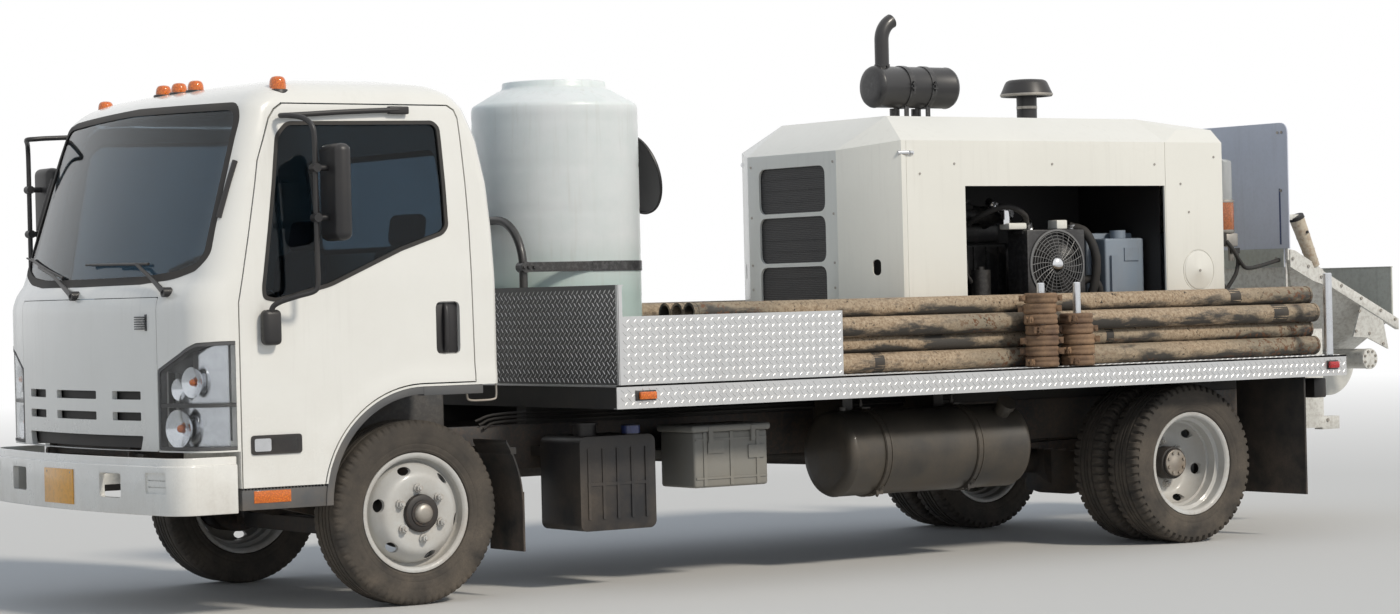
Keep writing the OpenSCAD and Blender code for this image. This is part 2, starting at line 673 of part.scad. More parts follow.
// Ring of the funnel at a height at its front and back edge
function funnel_ring(front, rear, half, z_front, z_rear) =
    [[front, half, z_front], [rear, half, z_rear], [rear, -half, z_rear], [front, -half, z_front]];
module funnel(t) {
    mouth = trough_mouth - t;
    top = funnel_ring(-hopper_front - t, -hopper_rear + t, hopper_y - t,
        hopper_front_top - t * rim_slope, hopper_rear_top + t * rim_slope);
    low = funnel_ring(trough_x + mouth, trough_x - mouth, trough_y - t, trough_z + 45, trough_z + 45);
    lift = t > 0 ? 50 : 0;
    skin(t > 0 ? [low, top, [for (p = top) p + [0, 0, lift]]] : [low, top]);
    translate([trough_x, 0, trough_z]) pin_y(trough_r - t, -trough_y + t, trough_y - t);
}
grate_hinge_x = -5700;
grate_hinge_z = 1440;
grate_pin_r = 12;
module hopper() color("whitesmoke") {
    difference() {
        union() {
            funnel(0);
            // Flange along each sloping top edge
            both_sides() side_cut(hopper_y - 10, hopper_y + 18)
                polygon([[-hopper_front, hopper_front_top - 60], [-hopper_front, hopper_front_top],
                    [-hopper_rear - 20, hopper_rear_top - 9], [-hopper_rear - 20, hopper_rear_top - 69]]);
            // Housings for the agitator's bearings
            both_sides() translate([trough_x, 0, trough_z]) {
                pin_y(housing_r, trough_y - 1, housing_y - 20);
                pin_y(housing_r + 2, housing_y - 21, housing_y);
            }
        }
        funnel(hopper_wall);
        translate([trough_x, 0, trough_z]) pin_y(agitator_r + running, -housing_y + 12, housing_y - 12);
        translate([grate_hinge_x, 0, grate_hinge_z]) pin_y(grate_pin_r + running, -hopper_w, hopper_w);
        translate([0, 0, outlet_z]) pin_x(outlet_r + seat, -hopper_rear - 50, trough_x);
    }
    both_sides() {
        // Bracket below the flange
        side_cut(hopper_y, hopper_y + 12) polygon([[-6168, 1190], [-6100, 1010], [-6209, 1002],
            [-6371, 936], [-6326, 1130]]);
        // Beam to the skid and the leg below it
        bar([-5873, -skid_back - seat], [520, 600], [hood_low - 90, hood_low]);
        bar([-5873, -5640], [588, 600], [521, hood_low - 89]);
        bar([-5990, -5860], [540, 600], [510, 580]);
    }
    bar([-hopper_front - hopper_wall, -hopper_front], [-hopper_y, hopper_y],
        [hood_low - 90, hopper_front_top]);
    // Struts from the side flanges up to the splash guard
    both_sides() {
        rod([-5828, hopper_y, 1390], [-5693, hopper_y, 1673], 22);
        bar([-5705, -hopper_front], [hopper_y - 12, hopper_y + 12], [1655, 1685]);
    }
    // Pumping cylinders from the pump under the hood
    for (y = [-cylinder_y, cylinder_y]) translate([0, y, 1180])
        pin_x(95, -hopper_front - 1, -hood_back - seat);
}

module agitator() color("gray") translate([trough_x, 0, trough_z]) {
    pin_y(agitator_r, -housing_y + 14, housing_y - 14);
    for (k = [-3 : 3]) translate([0, k * 88, 0]) rotate([0, 40 * k, 0])
        bar([-blade_r, blade_r], [-8, 8], [-14, 14]);
}

grate_slope = atan(rim_slope);
grate_l = 690;
grate_y = 535;
grate_bars = 15;
module hopper_grate() color("gray") translate([grate_hinge_x, 0, grate_hinge_z])
    rotate([0, -grate_slope, 0]) {
        for (k = [0 : grate_bars - 1]) let (y = (k / (grate_bars - 1) * 2 - 1) * (grate_y - 6))
            bar([-grate_l, -20], [y - 5, y + 5], [-12, 12]);
        for (x = [-grate_l, -grate_l / 2, -34]) bar([x, x + 14], [-grate_y + 6, grate_y - 6], [-12, 12]);
        pin_y(grate_pin_r, -hopper_y - 12, hopper_y + 12);
        for (y = [-400, 400]) bar([-30, 0], [y - 15, y + 15], [-10, 10]);
    }

guard_x = -hopper_front + seat;
guard_w = 1280;
guard_z = [1330, 2183];
module splash_guard() color("lightgray") {
    front_cut(guard_x, guard_x + 8) difference() {
        translate([0, (guard_z[0] + guard_z[1]) / 2])
            rounded(guard_w, guard_z[1] - guard_z[0], 60);
        translate([0, 1400]) square([3000, 200], center = true);
    }
    bar([guard_x, guard_x + 8], [-hopper_y, hopper_y], [1400, 1500]);
    // Upright sheet on the hopper's rear edge
    bar([-hopper_rear - 8, -hopper_rear - seat], [-hopper_y + 12, hopper_y - 12], [1090, 1385]);
}

// Delivery outlet at the back of the trough, with its flange and end collar
module outlet() color("silver") translate([0, 0, outlet_z]) difference() {
    union() {
        pin_x(outlet_r, -outlet_end, trough_x - 178);
        pin_x(outlet_r + 20, -6450, -6430);
        pin_x(outlet_r + 8, -outlet_end, -outlet_end + 22);
    }
    pin_x(outlet_bore, -outlet_end - 1, trough_x - 177);
}

module tail_lamps() color("red") both_sides() {
    bar([-5355, -5285], [deck_y + seat, deck_y + 22], [deck_z - 68, deck_z - 30]);
    bar([-deck_back - 25, -deck_back - seat], [760, 960], [deck_z - 90, deck_z - 20]);
    bar([-1075, -985], [deck_y + seat, deck_y + 22], [deck_z - 68, deck_z - 30]);
    // Lamp box that hangs below the deck's rear edge
    bar([-deck_back, -deck_back + 90], [837, 1070], [707, 811]);
    bar([-deck_back, -deck_back + edge_t], [900, 1000], [810, deck_z - rail_h - seat]);
}

// Cab

// One level of the cab: height, front, back, half width, bow of the front,
// corner radius at the front and at the back
cab_levels = [
    // z, front, back, half width, bow, front corner, rear corner
    [cab_low, cab_face, -cab_back, cab_y, 130, 150, 40],
    [1340, cab_face, -cab_back, cab_y, 130, 150, 40],
    [1400, cab_face - 22, -cab_back, cab_y, 130, 150, 42],
    [1440, cab_face - 60, -cab_back, cab_y, 128, 140, 44],
    [1640, cab_face - 126, -cab_back + 6, cab_y - 8, 122, 125, 50],
    [1840, cab_face - 192, -cab_back + 16, cab_y - 22, 116, 110, 60],
    [2040, cab_face - 258, -cab_back + 44, cab_y - 46, 110, 100, 75],
    [cab_top - 120, cab_face - 306, -cab_back + 88, cab_y - 70, 106, 100, 95],
    [cab_top - 60, cab_face - 380, -cab_back + 130, cab_y - 96, 100, 110, 120],
    [cab_top - 22, cab_face - 478, -cab_back + 190, cab_y - 160, 90, 130, 140],
    [cab_top, cab_face - 620, -cab_back + 300, cab_y - 300, 60, 150, 160]];
function cab_half(level, t) = let (f = level[1] - t, b = level[2] + t,
        w = level[3] - t, bow = level[4], rf = level[5], rb = level[6])
    concat(
        [for (k = [0 : 4]) let (y = (w - rf) * k / 4) [f - bow * pow(y / w, 2), y]],
        [for (k = [1 : 4]) let (u = 22.5 * k, x0 = f - bow * pow((w - rf) / w, 2))
            [x0 - rf * (1 - cos(u)), w - rf + rf * sin(u)]],
        [[(f + b) / 2, w]],
        [for (k = [0 : 3]) [b + rb - rb * sin(30 * k), w - rb + rb * cos(30 * k)]]);
function cab_ring(level, t) = let (half = cab_half(level, t), n = len(half),
        z = level[0])
    concat([for (p = half) [p[0], p[1], z]],
        [for (k = [n - 1 : -1 : 1]) [half[k][0], -half[k][1], z]]);
module cab_form(t) skin([for (k = [0 : len(cab_levels) - 1])
    let (level = cab_levels[k])
    cab_ring([level[0] + (k == 0 ? t : k > 7 ? -t * (k - 7) / 3 : 0), level[1],
        level[2], level[3], level[4], level[5], level[6]], t)]);

tunnel_y = 470;
tunnel_top = 1040;
nose_low = 716;
footwell_front = 886;
// What the cab leaves free below: wheel arches, engine tunnel, bumper
module cab_under(t) {
    side_cut(-cab_w, cab_w) {
        translate([0, cab_floor - arch_r]) circle(arch_r + t, $fn = 96);
        translate([-900, 0]) square([900, cab_floor + t]);
        translate([-100, 0]) square([100 + arch_r + t, cab_floor - arch_r + 1]);
        translate([footwell_front - t, 0]) square([900, nose_low + t]);
    }
    bar([-900, 2000], [-tunnel_y - t, tunnel_y + t], [0, nose_low + t]);
    bar([-900, frame_nose + 10], [-rail_y - 15 - t, rail_y + 15 + t], [0, frame_top + 18 + t]);
    bar([-900, 700 + t], [-tunnel_y - t, tunnel_y + t], [0, tunnel_top + t]);
}
module cab_solid(t) difference() { cab_form(t); cab_under(t); }

// Door outline in X and Z, drawn inward by g
arch_mid = cab_floor - arch_r;
function door_outline(g) = concat(
    [[880 - g, cab_low - 40 + 2 * g], [880 - g, 1340], [760 - g, 1940], [690 - g, 2120 - g],
        [620 - g, 2186 - g], [-190 + g, 2186 - g], [-236 + g, 2130 - g],
        [-250 + g, 1700], [-262 + g, cab_floor + 12 + g], [0, cab_floor + 12 + g]],
    [for (a = [80 : -10 : 10]) let (r = arch_r + 12 + g)
        [r * cos(a), arch_mid + r * sin(a)]],
    [[arch_r + 12 + g, cab_low - 40 + 2 * g]]);
function window_outline(g) = [[765 - g, 1352 + g], [770 - g, 1400], [668 - g, 2050], [610 - g, 2108 - g],
    [-110 + g, 2118 - g], [-140 + g, 2090 - g], [-148 + g, 1650 + g], [-120 + g, 1616 + g],
    [90 + g, 1548 + g], [440, 1400 + g], [700, 1338 + g]];
door_hinge_x = 884;
hinge_z = [[700, 780], [1180, 1260]];
hinge_pin_r = 6;
// The cab keeps its floor where the door's outline reaches below it
module door_prism(g) difference() {
    side_cut(700, 1200) polygon(door_outline(g));
    bar([400, 900], [699, cab_y - cab_wall + g], [cab_low - 60, cab_low + 80]);
}
module door() difference() {
    union() {
        intersection() {
            difference() { cab_form(0); cab_form(cab_wall); }
            difference() {
                door_prism(door_gap / 2);
                side_cut(700, 1200) polygon(window_outline(0));
            }
        }
        for (z = hinge_z) translate([door_hinge_x, cab_y, z[0] + 20 + seat])
            cylinder(r = 11, h = z[1] - z[0] - 40 - 2 * seat);
        for (z = hinge_z) bar([door_hinge_x - 18, door_hinge_x], [cab_y - 11, cab_y + 11],
            [z[0] + 20 + seat, z[1] - 20 - seat]);
    }
    for (z = hinge_z) translate([door_hinge_x, cab_y, z[0]])
        cylinder(r = hinge_pin_r + running, h = z[1] - z[0]);
    // Recess behind the handle
    bar([-190, -70], [cab_y - 22, cab_y + 10], [1095, 1325]);
}
// Side lamp on the door's front corner
module side_lamp() bar([600, 838], [cab_y + seat, cab_y + 12], [698, 780]);
module door_left() color("white") { door(); door_handle(); side_lamp(); }
module door_right() color("white") mirror([0, 1, 0]) { door(); door_handle(); side_lamp(); }
module door_handle() {
    bar([-160, -132], [cab_y - 12, cab_y + 6], [1085, 1335]);
}
module door_glass() intersection() {
    difference() { cab_form(16); cab_form(21); }
    side_cut(700, 1200) polygon(window_outline(seat));
}
module door_glass_left() color("lightblue", 0.4) door_glass();
module door_glass_right() color("lightblue", 0.4) mirror([0, 1, 0]) door_glass();

// Windscreen outline in Y and Z, drawn inward by g
function windscreen_outline(g) = let (half = [[0, 1425 + g], [520, 1428 + g], [760, 1446 + g],
        [900, 1482 + g], [952 - g, 1540 + g], [905 - g, 2120], [880 - g, 2172 - g],
        [820, 2196 - g], [0, 2214 - g]])
    concat([for (p = half) p], [for (k = [len(half) - 2 : -1 : 1]) [-half[k][0], half[k][1]]]);
module windscreen_prism(g) front_cut(620, 1300) polygon(windscreen_outline(g));
rear_window_w = 1250;
rear_window_z = [1560, 2010];
module cab_glass() color("lightblue", 0.4) {
    intersection() {
        difference() { cab_form(6); cab_form(12); }
        windscreen_prism(seat);
    }
    intersection() {
        difference() { cab_form(16); cab_form(21); }
        bar([-600, -200], [-rear_window_w / 2 + seat, rear_window_w / 2 - seat],
            [rear_window_z[0] + seat, rear_window_z[1] - seat]);
    }
}

panel_y = 712;
panel_top = 1372;
panel_t = 22;
module panel_prism(g) front_cut(900, 1400) translate([0, (nose_low + panel_top) / 2])
    square([2 * (panel_y - g), panel_top - nose_low - 2 * g], center = true);
function lamp_outline(g) = [[panel_y + 3 + g, 724 + g], [cab_y + 60, 724 + g],
    [cab_y + 60, 1185 - g], [960, 1175 - g], [panel_y + 3 + g, 1064 - g]];
module lamp_prism(g) intersection() {
    front_cut(960, 1400) polygon(lamp_outline(g));
}
module front_panel() color("white") intersection() {
    difference() { cab_form(0); cab_form(panel_t); }
    difference() {
        panel_prism(2);
        for (y = [-470, 0, 470], z = [955, 865]) front_cut(900, 1400)
            translate([y, z]) square([y == 0 ? 420 : 230, 36], center = true);
        front_cut(900, 1400) translate([0, 752]) square([1160, 62], center = true);
    }
}
module cab_shell() color("white") {
    difference() {
        cab_solid(0);
        cab_solid(cab_wall);
        both_sides() door_prism(-door_gap / 2);
        windscreen_prism(0);
        bar([-600, -200], [-rear_window_w / 2, rear_window_w / 2], rear_window_z);
        intersection() {
            difference() { cab_form(-5); cab_form(panel_t + seat); }
            panel_prism(-1);
        }
        both_sides() intersection() {
            difference() { cab_form(-5); cab_form(panel_t + seat); }
            lamp_prism(-1);
        }
        // Pockets for the door's hinge knuckles
        both_sides() for (z = hinge_z) translate([door_hinge_x, cab_y, z[0] + 20])
            cylinder(r = 16, h = z[1] - z[0] - 40);
    }
    both_sides() for (z = hinge_z) {
        translate([door_hinge_x, cab_y, z[0]]) cylinder(r = hinge_pin_r, h = z[1] - z[0]);
        for (k = [0, 1]) translate([0, 0, k == 0 ? z[0] : z[1] - 20])
            bar([door_hinge_x + 0.5, door_hinge_x + 30], [cab_y - 20, cab_y + 11], [0, 20]);
    }
    // Tilt hinge arms that reach down to the pins on the frame
    both_sides() difference() {
        bar([tilt_x - 35, tilt_x + 35], [tilt_y - 16, tilt_y + 16],
            [tilt_z - 34, nose_low + 20]);
        translate([tilt_x, 0, tilt_z]) pin_y(tilt_pin_r + running, tilt_y - 20, tilt_y + 20);
    }
}

roof_lamp_x = 640;
module cab_lamps() color("lightgray") {
    both_sides() intersection() {
        difference() { cab_form(0); cab_form(panel_t); }
        lamp_prism(2);
    }
    difference() {
        for (y = [-880, -165, 0, 165, 880])
            translate([roof_lamp_x - 40 * pow(y / 880, 2), y, cab_top - 60])
                cylinder(r1 = 48, r2 = 24, h = abs(y) > 500 ? 66 : 94);
        cab_form(-seat);
    }
}

trim_low = 466;
module arch_trim() color("dimgray") both_sides() {
    // Dark strip that follows the arch below the door
    side_cut(cab_y - 60, cab_y + 4) difference() {
        union() {
            intersection() {
                translate([0, arch_mid]) circle(arch_r - seat, $fn = 180);
                translate([0, arch_mid - 1]) square([arch_r, arch_r + 2]);
            }
            translate([arch_r - 35, trim_low]) square([35 - seat, arch_mid - trim_low]);
        }
        translate([0, arch_mid]) circle(arch_r - 34, $fn = 180);
    }
    side_cut(cab_y - 60, cab_y + 4) translate([-300, cab_floor - 40 - seat]) square([301, 40]);
    // Entry step ahead of the arch
    bar([arch_r - 34, 884], [cab_y - 90, cab_y - 2], [trim_low, cab_low - seat]);
}

seat_low = tunnel_top + cab_wall + seat;
module seats() color("gray") for (y = [-560, 420]) {
    hull() for (x = [-160, 250], z = [seat_low + 45, seat_low + 85])
        translate([x, y, z]) pin_y(45, -230, 230);
    hull() for (p = [[-205, seat_low + 165], [-275, 1700]])
        translate([p[0], y, p[1]]) pin_y(50, -230, 230);
}

wheel_tilt = 42;
wheel_at = [540, 430, 1370];
dash_x = 800;
module dashboard() color("dimgray") {
    intersection() {
        cab_form(cab_wall + seat);
        bar([dash_x, cab_face], [-880, 880], [1050, 1350]);
    }
    translate(wheel_at) rotate([0, -wheel_tilt, 0]) {
        rotate_extrude() translate([215, 0]) circle(14, $fn = 24);
        translate([0, 0, -40]) cylinder(r = 60, h = 55);
        for (a = [90, 210, 330]) rotate([0, 0, a]) bar([30, 215], [-18, 18], [-8, 8]);
        translate([0, 0, -(dash_x + 30 - wheel_at[0]) / sin(wheel_tilt)])
            cylinder(r = 28, h = (dash_x + 30 - wheel_at[0]) / sin(wheel_tilt));
    }
}

// Mirror: a head on a tube loop between a low bracket and the door's top.
// The right one stands further forward.
mirror_y = 1170;
mirror_z = [1590, 2004];
mirror_left_x = 583;
mirror_right_x = 872;
tube_r = 11;
module mirror_piece(x) {
    low = [745, cab_y + 45, 1345];
    knee = [x, mirror_y, 1385];
    top = [x, mirror_y, 2060];
    tip = [x + 90, mirror_y - 70, 2130];
    rest = [70, cab_y - 42, 2160];
    bar([700, 790], [cab_y + seat, cab_y + 62], [1155, 1310]);
    for (leg = [[[745, cab_y + 45, 1300], low], [low, knee], [knee, top], [top, tip], [tip, rest]])
        rod(leg[0], leg[1], tube_r);
    for (p = [low, knee, top, tip]) translate(p) sphere(tube_r + 4);
    bar([16, 120], [rest[1] - 20, rest[1] + 8], [2142, 2178]);
    translate([x - 58, mirror_y, mirror_z[0]]) linear_extrude(mirror_z[1] - mirror_z[0])
        rounded(90, 205, 38);
    for (z = [1690, 1900]) bar([x - 30, x + 4], [mirror_y - 14, mirror_y + 14], [z - 12, z + 12]);
}
module mirror_left() color("black") mirror_piece(mirror_left_x);
module mirror_right() color("black") mirror([0, 1, 0]) mirror_piece(mirror_right_x);

// Wheels

// Half a tyre's outline from the bead to the tread, [radius, half width]
tyre_half = [[rim_d / 2, 84], [264, 84], [266, 99], [300, tyre_w / 2 - 4],
    [330, tyre_w / 2], [tyre_r - 34, tyre_w / 2 - 4], [tyre_r - 9, tyre_w / 2 - 20],
    [tyre_r, tyre_w / 2 - 36]];
module tyre() turned_y(concat([for (p = tyre_half) [p[0], -p[1]]],
    [for (k = [len(tyre_half) - 1 : -1 : 0]) [tyre_half[k][0], tyre_half[k][1]]]));
rim_r = rim_d / 2 - seat;
disc_y = twin_spacing / 2;
hub_r = 83;
drum_r = 160;
nut_circle = 222.25;
nut_r = 17;
// Steel wheel: flanges and barrel with the well, and a dished disc on one side
module wheel_body() difference() {
    turned_y([[262, -96], [262, -84.3], [rim_r, -84.3], [rim_r, -44], [228, -34],
        [228, 32], [rim_r, 46], [rim_r, 84.3], [262, 84.3], [262, 96], [250, 96],
        [238, 88], [238, 50], [221, 36], [216, 62], [198, 98], [176, disc_y - 9],
        [150, disc_y], [hub_r - 2, disc_y], [hub_r - 2, disc_y - 13], [147, disc_y - 13],
        [168, disc_y - 21], [188, 90], [205, 56], [208, 22], [221, 22], [221, -28],
        [238, -38], [238, -88], [250, -96]]);
    for (a = [12 : 60 : 312]) rotate([0, a, 0]) translate([192, 150, 0])
        rotate([90, 0, 0]) linear_extrude(110) {
            square([34, 26], center = true);
            for (s = [-1, 1]) translate([0, s * 13]) circle(17);
        }
}
module wheel_nuts(y0, h) for (a = [12 : 60 : 312]) rotate([0, a + 12, 0])
    translate([nut_circle / 2, 0, 0]) pin_y(nut_r, y0, y0 + h);
module at_wheel(x, y) translate([x, y, axle_z]) children();

hub_in = -42;
module rim_front_piece() difference() {
    union() {
        wheel_body();
        wheel_nuts(disc_y - 1, 28);
        pin_y(drum_r, hub_in, disc_y - 13);
        pin_y(hub_r, hub_in, disc_y + 26);
        pin_y(50, disc_y + 26, disc_y + 50);
    }
    pin_y(spindle_r + running, hub_in - 1, 62);
}
hub_rear_in = -disc_y - 20;
module rim_rear_piece() difference() {
    union() {
        translate([0, disc_y, 0]) mirror([0, 1, 0]) wheel_body();
        translate([0, -disc_y, 0]) wheel_body();
        wheel_nuts(12, 30);
        pin_y(drum_r, hub_rear_in, -13);
        pin_y(hub_r, hub_rear_in, 92);
        pin_y(70, 92, 106);
    }
    pin_y(stub_r + running, hub_rear_in - 1, 70);
}
module tyre_front_left() color("dimgray") at_wheel(0, front_track / 2) tyre();
module tyre_front_right() color("dimgray") mirror([0, 1, 0]) tyre_front_left();
module tyres_rear_left() color("dimgray") at_wheel(-wheelbase, rear_track / 2)
    for (s = [-1, 1]) translate([0, s * twin_spacing / 2, 0]) tyre();
module tyres_rear_right() color("dimgray") mirror([0, 1, 0]) tyres_rear_left();
module rim_front_left() color("white") at_wheel(0, front_track / 2) rim_front_piece();
module rim_front_right() color("white") mirror([0, 1, 0]) rim_front_left();
module rims_rear_left() color("white") at_wheel(-wheelbase, rear_track / 2) rim_rear_piece();
module rims_rear_right() color("white") mirror([0, 1, 0]) rims_rear_left();

// Steering: knuckle with king pin, spindle and an arm to the tie rod

arm_x = -170;
arm_y = king_pin_y + 10;
arm_half = 12;
arm_end_r = 31;
open_pivot_r = 23.2;
arm_z = axle_z - 95;
module knuckle() {
    translate([0, king_pin_y, 0]) {
        translate([0, 0, axle_z - 85]) cylinder(r = king_pin_r, h = 170);
        for (z = [axle_z - beam_h / 2 - 40 - seat, axle_z + beam_h / 2 + seat])
            translate([0, 0, z]) cylinder(r = 38, h = 40);
    }
    bar([-30, 30], [king_pin_y + eye_r + 6, king_pin_y + eye_r + 26], [axle_z - 85, axle_z + 85]);
    for (z = [axle_z - beam_h / 2 - 40 - seat, axle_z + beam_h / 2 + seat])
        bar([-30, 30], [king_pin_y, king_pin_y + eye_r + 26], [z, z + 40]);
    translate([0, 0, axle_z]) pin_y(spindle_r, king_pin_y + eye_r + 20, front_track / 2 + 50);
    // Steering arm behind the axle
    difference() {
        union() {
            bar([arm_x, 0], [arm_y - arm_half, arm_y + arm_half], [arm_z - 25, arm_z - 5]);
            translate([arm_x, arm_y, arm_z - 25]) cylinder(r = arm_end_r, h = 20);
            bar([-20, 20], [arm_y - arm_half, arm_y + 60], [arm_z - 25, arm_z + 12]);
        }
        translate([arm_x, arm_y, arm_z - 60]) cylinder(r = 10 + running, h = 100);
    }
}
module knuckle_left() color("dimgray") knuckle();
module knuckle_right() color("dimgray") mirror([0, 1, 0]) difference() {
    knuckle();
    // Open pivot of the steering linkage, with room for the rod's sideways play
    translate([arm_x, arm_y, arm_z - 60]) cylinder(r = open_pivot_r, h = 100);
}
module tie_rod() color("gray") {
    translate([arm_x, 0, arm_z + 22]) pin_y(15, -arm_y + 20, arm_y - 20);
    for (s = [-1, 1]) translate([arm_x, s * arm_y, 0]) {
        translate([0, 0, arm_z - 5 + seat]) cylinder(r = 22, h = 44);
        translate([0, 0, arm_z - 40]) cylinder(r = 10, h = 60);
    }
}

place() frame_rails();
place() front_axle();
place() rear_axle();
place() leaf_springs();
place() power_unit();
place() drive_shaft();
place() fuel_tank();
place() battery_box();
place() fluid_tank();
place() mudguards();
place() bumper();
place() deck();
place() tread_panels();
place() stakes();
place() delivery_lines();
place() couplings();
place() water_tank();
place() tank_hoop();
place() tank_lid();
place() hood();
place() hood_grilles();
place() pump_skid();
place() pump_engine();
place() muffler();
place() air_intake();
place() grease_unit();
place() splash_guard();
place() hopper();
place() outlet();
place() tail_lamps();
place() agitator();
place() hopper_grate();
place() cooler();
place() cooler_fan();
place() cab_shell();
place() front_panel();
place() cab_glass();
place() cab_lamps();
place() arch_trim();
place() seats();
place() dashboard();
place() door_left();
place() door_right();
place() door_glass_left();
place() door_glass_right();
place() mirror_left();
place() mirror_right();
place() knuckle_left();
place() knuckle_right();
place() tie_rod();
place() tyre_front_left();
place() tyre_front_right();
place() tyres_rear_left();
place() tyres_rear_right();
place() rim_front_left();
place() rim_front_right();
place() rims_rear_left();
place() rims_rear_right();
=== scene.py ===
import json
import math
import random

import bmesh
import bpy
from mathutils import Matrix, Vector, noise

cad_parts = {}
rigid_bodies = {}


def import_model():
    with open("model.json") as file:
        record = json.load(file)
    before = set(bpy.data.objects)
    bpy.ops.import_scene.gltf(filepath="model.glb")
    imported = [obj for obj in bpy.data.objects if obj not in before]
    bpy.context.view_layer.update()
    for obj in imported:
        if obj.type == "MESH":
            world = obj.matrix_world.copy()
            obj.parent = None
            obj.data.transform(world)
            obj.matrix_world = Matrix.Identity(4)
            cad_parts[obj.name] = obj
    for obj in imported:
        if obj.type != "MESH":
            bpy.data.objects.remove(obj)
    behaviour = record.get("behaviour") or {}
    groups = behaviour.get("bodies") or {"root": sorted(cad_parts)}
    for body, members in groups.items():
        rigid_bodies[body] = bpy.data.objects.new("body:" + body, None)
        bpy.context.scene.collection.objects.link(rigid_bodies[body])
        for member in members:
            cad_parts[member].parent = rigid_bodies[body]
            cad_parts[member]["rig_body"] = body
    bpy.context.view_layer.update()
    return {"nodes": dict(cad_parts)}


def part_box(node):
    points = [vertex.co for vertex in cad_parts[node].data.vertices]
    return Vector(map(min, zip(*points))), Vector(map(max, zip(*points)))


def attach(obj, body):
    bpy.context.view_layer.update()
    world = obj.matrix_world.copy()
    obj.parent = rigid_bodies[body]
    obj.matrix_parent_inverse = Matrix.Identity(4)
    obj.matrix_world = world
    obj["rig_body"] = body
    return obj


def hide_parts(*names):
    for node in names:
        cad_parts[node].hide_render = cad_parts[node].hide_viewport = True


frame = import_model()
cadNodes = frame["nodes"]

# Places along the truck are written from the front axle, as in the part's source
frontAxle = (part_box("rim_front_left")[0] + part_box("rim_front_left")[1]) / 2
rearAxle = (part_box("rims_rear_left")[0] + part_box("rims_rear_left")[1]) / 2
axleX = frontAxle.x


bothSides = ((1, "left"), (-1, "right"))


def at(x, y, z):
    # Frame point from chassis millimetres
    return Vector((axleX + x / 1000, y / 1000, z / 1000))


# Camera: fitted to the photograph

cameraSet = {
    "place": (7098.1, 13485.9, 1331.2),  # chassis millimetres
    "yaw": -0.602,
    "pitch": -0.004,
    "roll": -0.024,
    "focalPixels": 3289.4,
    "imageWidth": 1400,
}


def makeCamera(s):
    data = bpy.data.cameras.new("photoCamera")
    data.sensor_width = 36
    data.lens = s["focalPixels"] / s["imageWidth"] * data.sensor_width
    data.clip_start, data.clip_end = 0.1, 500
    cam = bpy.data.objects.new("photoCamera", data)
    bpy.context.scene.collection.objects.link(cam)
    look = Vector((math.sin(s["yaw"]) * math.cos(s["pitch"]),
                   -math.cos(s["yaw"]) * math.cos(s["pitch"]), math.sin(s["pitch"])))
    right = look.cross(Vector((0, 0, 1))).normalized()
    up = right.cross(look)
    c, sn = math.cos(s["roll"]), math.sin(s["roll"])
    right, up = c * right + sn * up, -sn * right + c * up
    turn = Matrix((right, up, -look)).transposed().to_4x4()
    cam.matrix_world = Matrix.Translation(at(*s["place"])) @ turn
    bpy.context.scene.camera = cam
    return cam


makeCamera(cameraSet)
print("camera set")


# Mesh helpers

# The record's material slot that each finish stands for; a piece may name another, but newPiece does not keep
# the slot
finishSlots = {}
for slotName, finishes in (
        ("aluminium", ("tread plate aluminium", "tread plate in painted shade", "tread lugs with painted highlight")),
        ("amber_plastic", ("amber lamp lens",)),
        ("bare_steel", ("bare worn steel", "bright plated metal")),
        ("black_plastic", ("black moulded plastic", "shadowed black inside", "perforated grille sheet")),
        ("cab_white", ("cab white paint",)),
        ("engine_grey", ("engine black in painted bay shade",)),
        ("grey_plastic", ("grey moulded plastic", "weathered grey box plastic")),
        ("hood_white", ("hood white paint", "shaded oil tank paint", "pale splash sheet in painted sky shade",
                       "cement stained plate", "hopper white paint", "worn tan strut")),
        ("lamp_clear", ("clear lamp glass", "mirror glass", "hazy clear plastic")),
        ("line_rubber", ("muddy line steel", "painted shadow bands")),
        ("red_lens", ("red lamp lens",)),
        ("rubber_black", ("black rubber",)),
        ("rusty_steel", ("rusty coupling iron",)),
        ("satin_black", ("satin black paint", "grey guard wire")),
        ("seat_cloth", ("woven seat cloth",)),
        ("tank_black", ("fuel tank black paint",)),
        ("tank_plastic", ("milky tank plastic",)),
        ("tyre", ("dusty tyre rubber",)),
        ("wheel_white", ("wheel steel", "hub with rust")),
        ("window_glass", ("tinted window glass",))):
    finishSlots.update(dict.fromkeys(finishes, slotName))


def newPiece(name, bm, material=None, body="chassis", smooth=True, slotName=None):
    mesh = bpy.data.meshes.new(name)
    bm.normal_update()
    bm.to_mesh(mesh)
    bm.free()
    piece = bpy.data.objects.new(name, mesh)
    bpy.context.scene.collection.objects.link(piece)
    if smooth:
        smoothByAngle(mesh)
    if material:
        mesh.materials.append(material)
    if slotName is None and material:
        slotName = finishSlots.get(material.name)
    if body:
        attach(piece, body)
    return piece


def smoothByAngle(mesh, limit=35):
    bm = bmesh.new()
    bm.from_mesh(mesh)
    for f in bm.faces:
        f.smooth = True
    for e in bm.edges:
        e.smooth = len(e.link_faces) == 2 and e.calc_face_angle(0) < math.radians(limit)
    bm.to_mesh(mesh)
    bm.free()


def bakeModifiers(piece):
    # Turns the modifiers into the piece's own mesh
    graph = bpy.context.evaluated_depsgraph_get()
    made = bpy.data.meshes.new_from_object(piece.evaluated_get(graph))
    materials = list(piece.data.materials)
    piece.modifiers.clear()
    piece.data = made
    piece.data.materials.clear()
    for m in materials:
        piece.data.materials.append(m)
    return piece


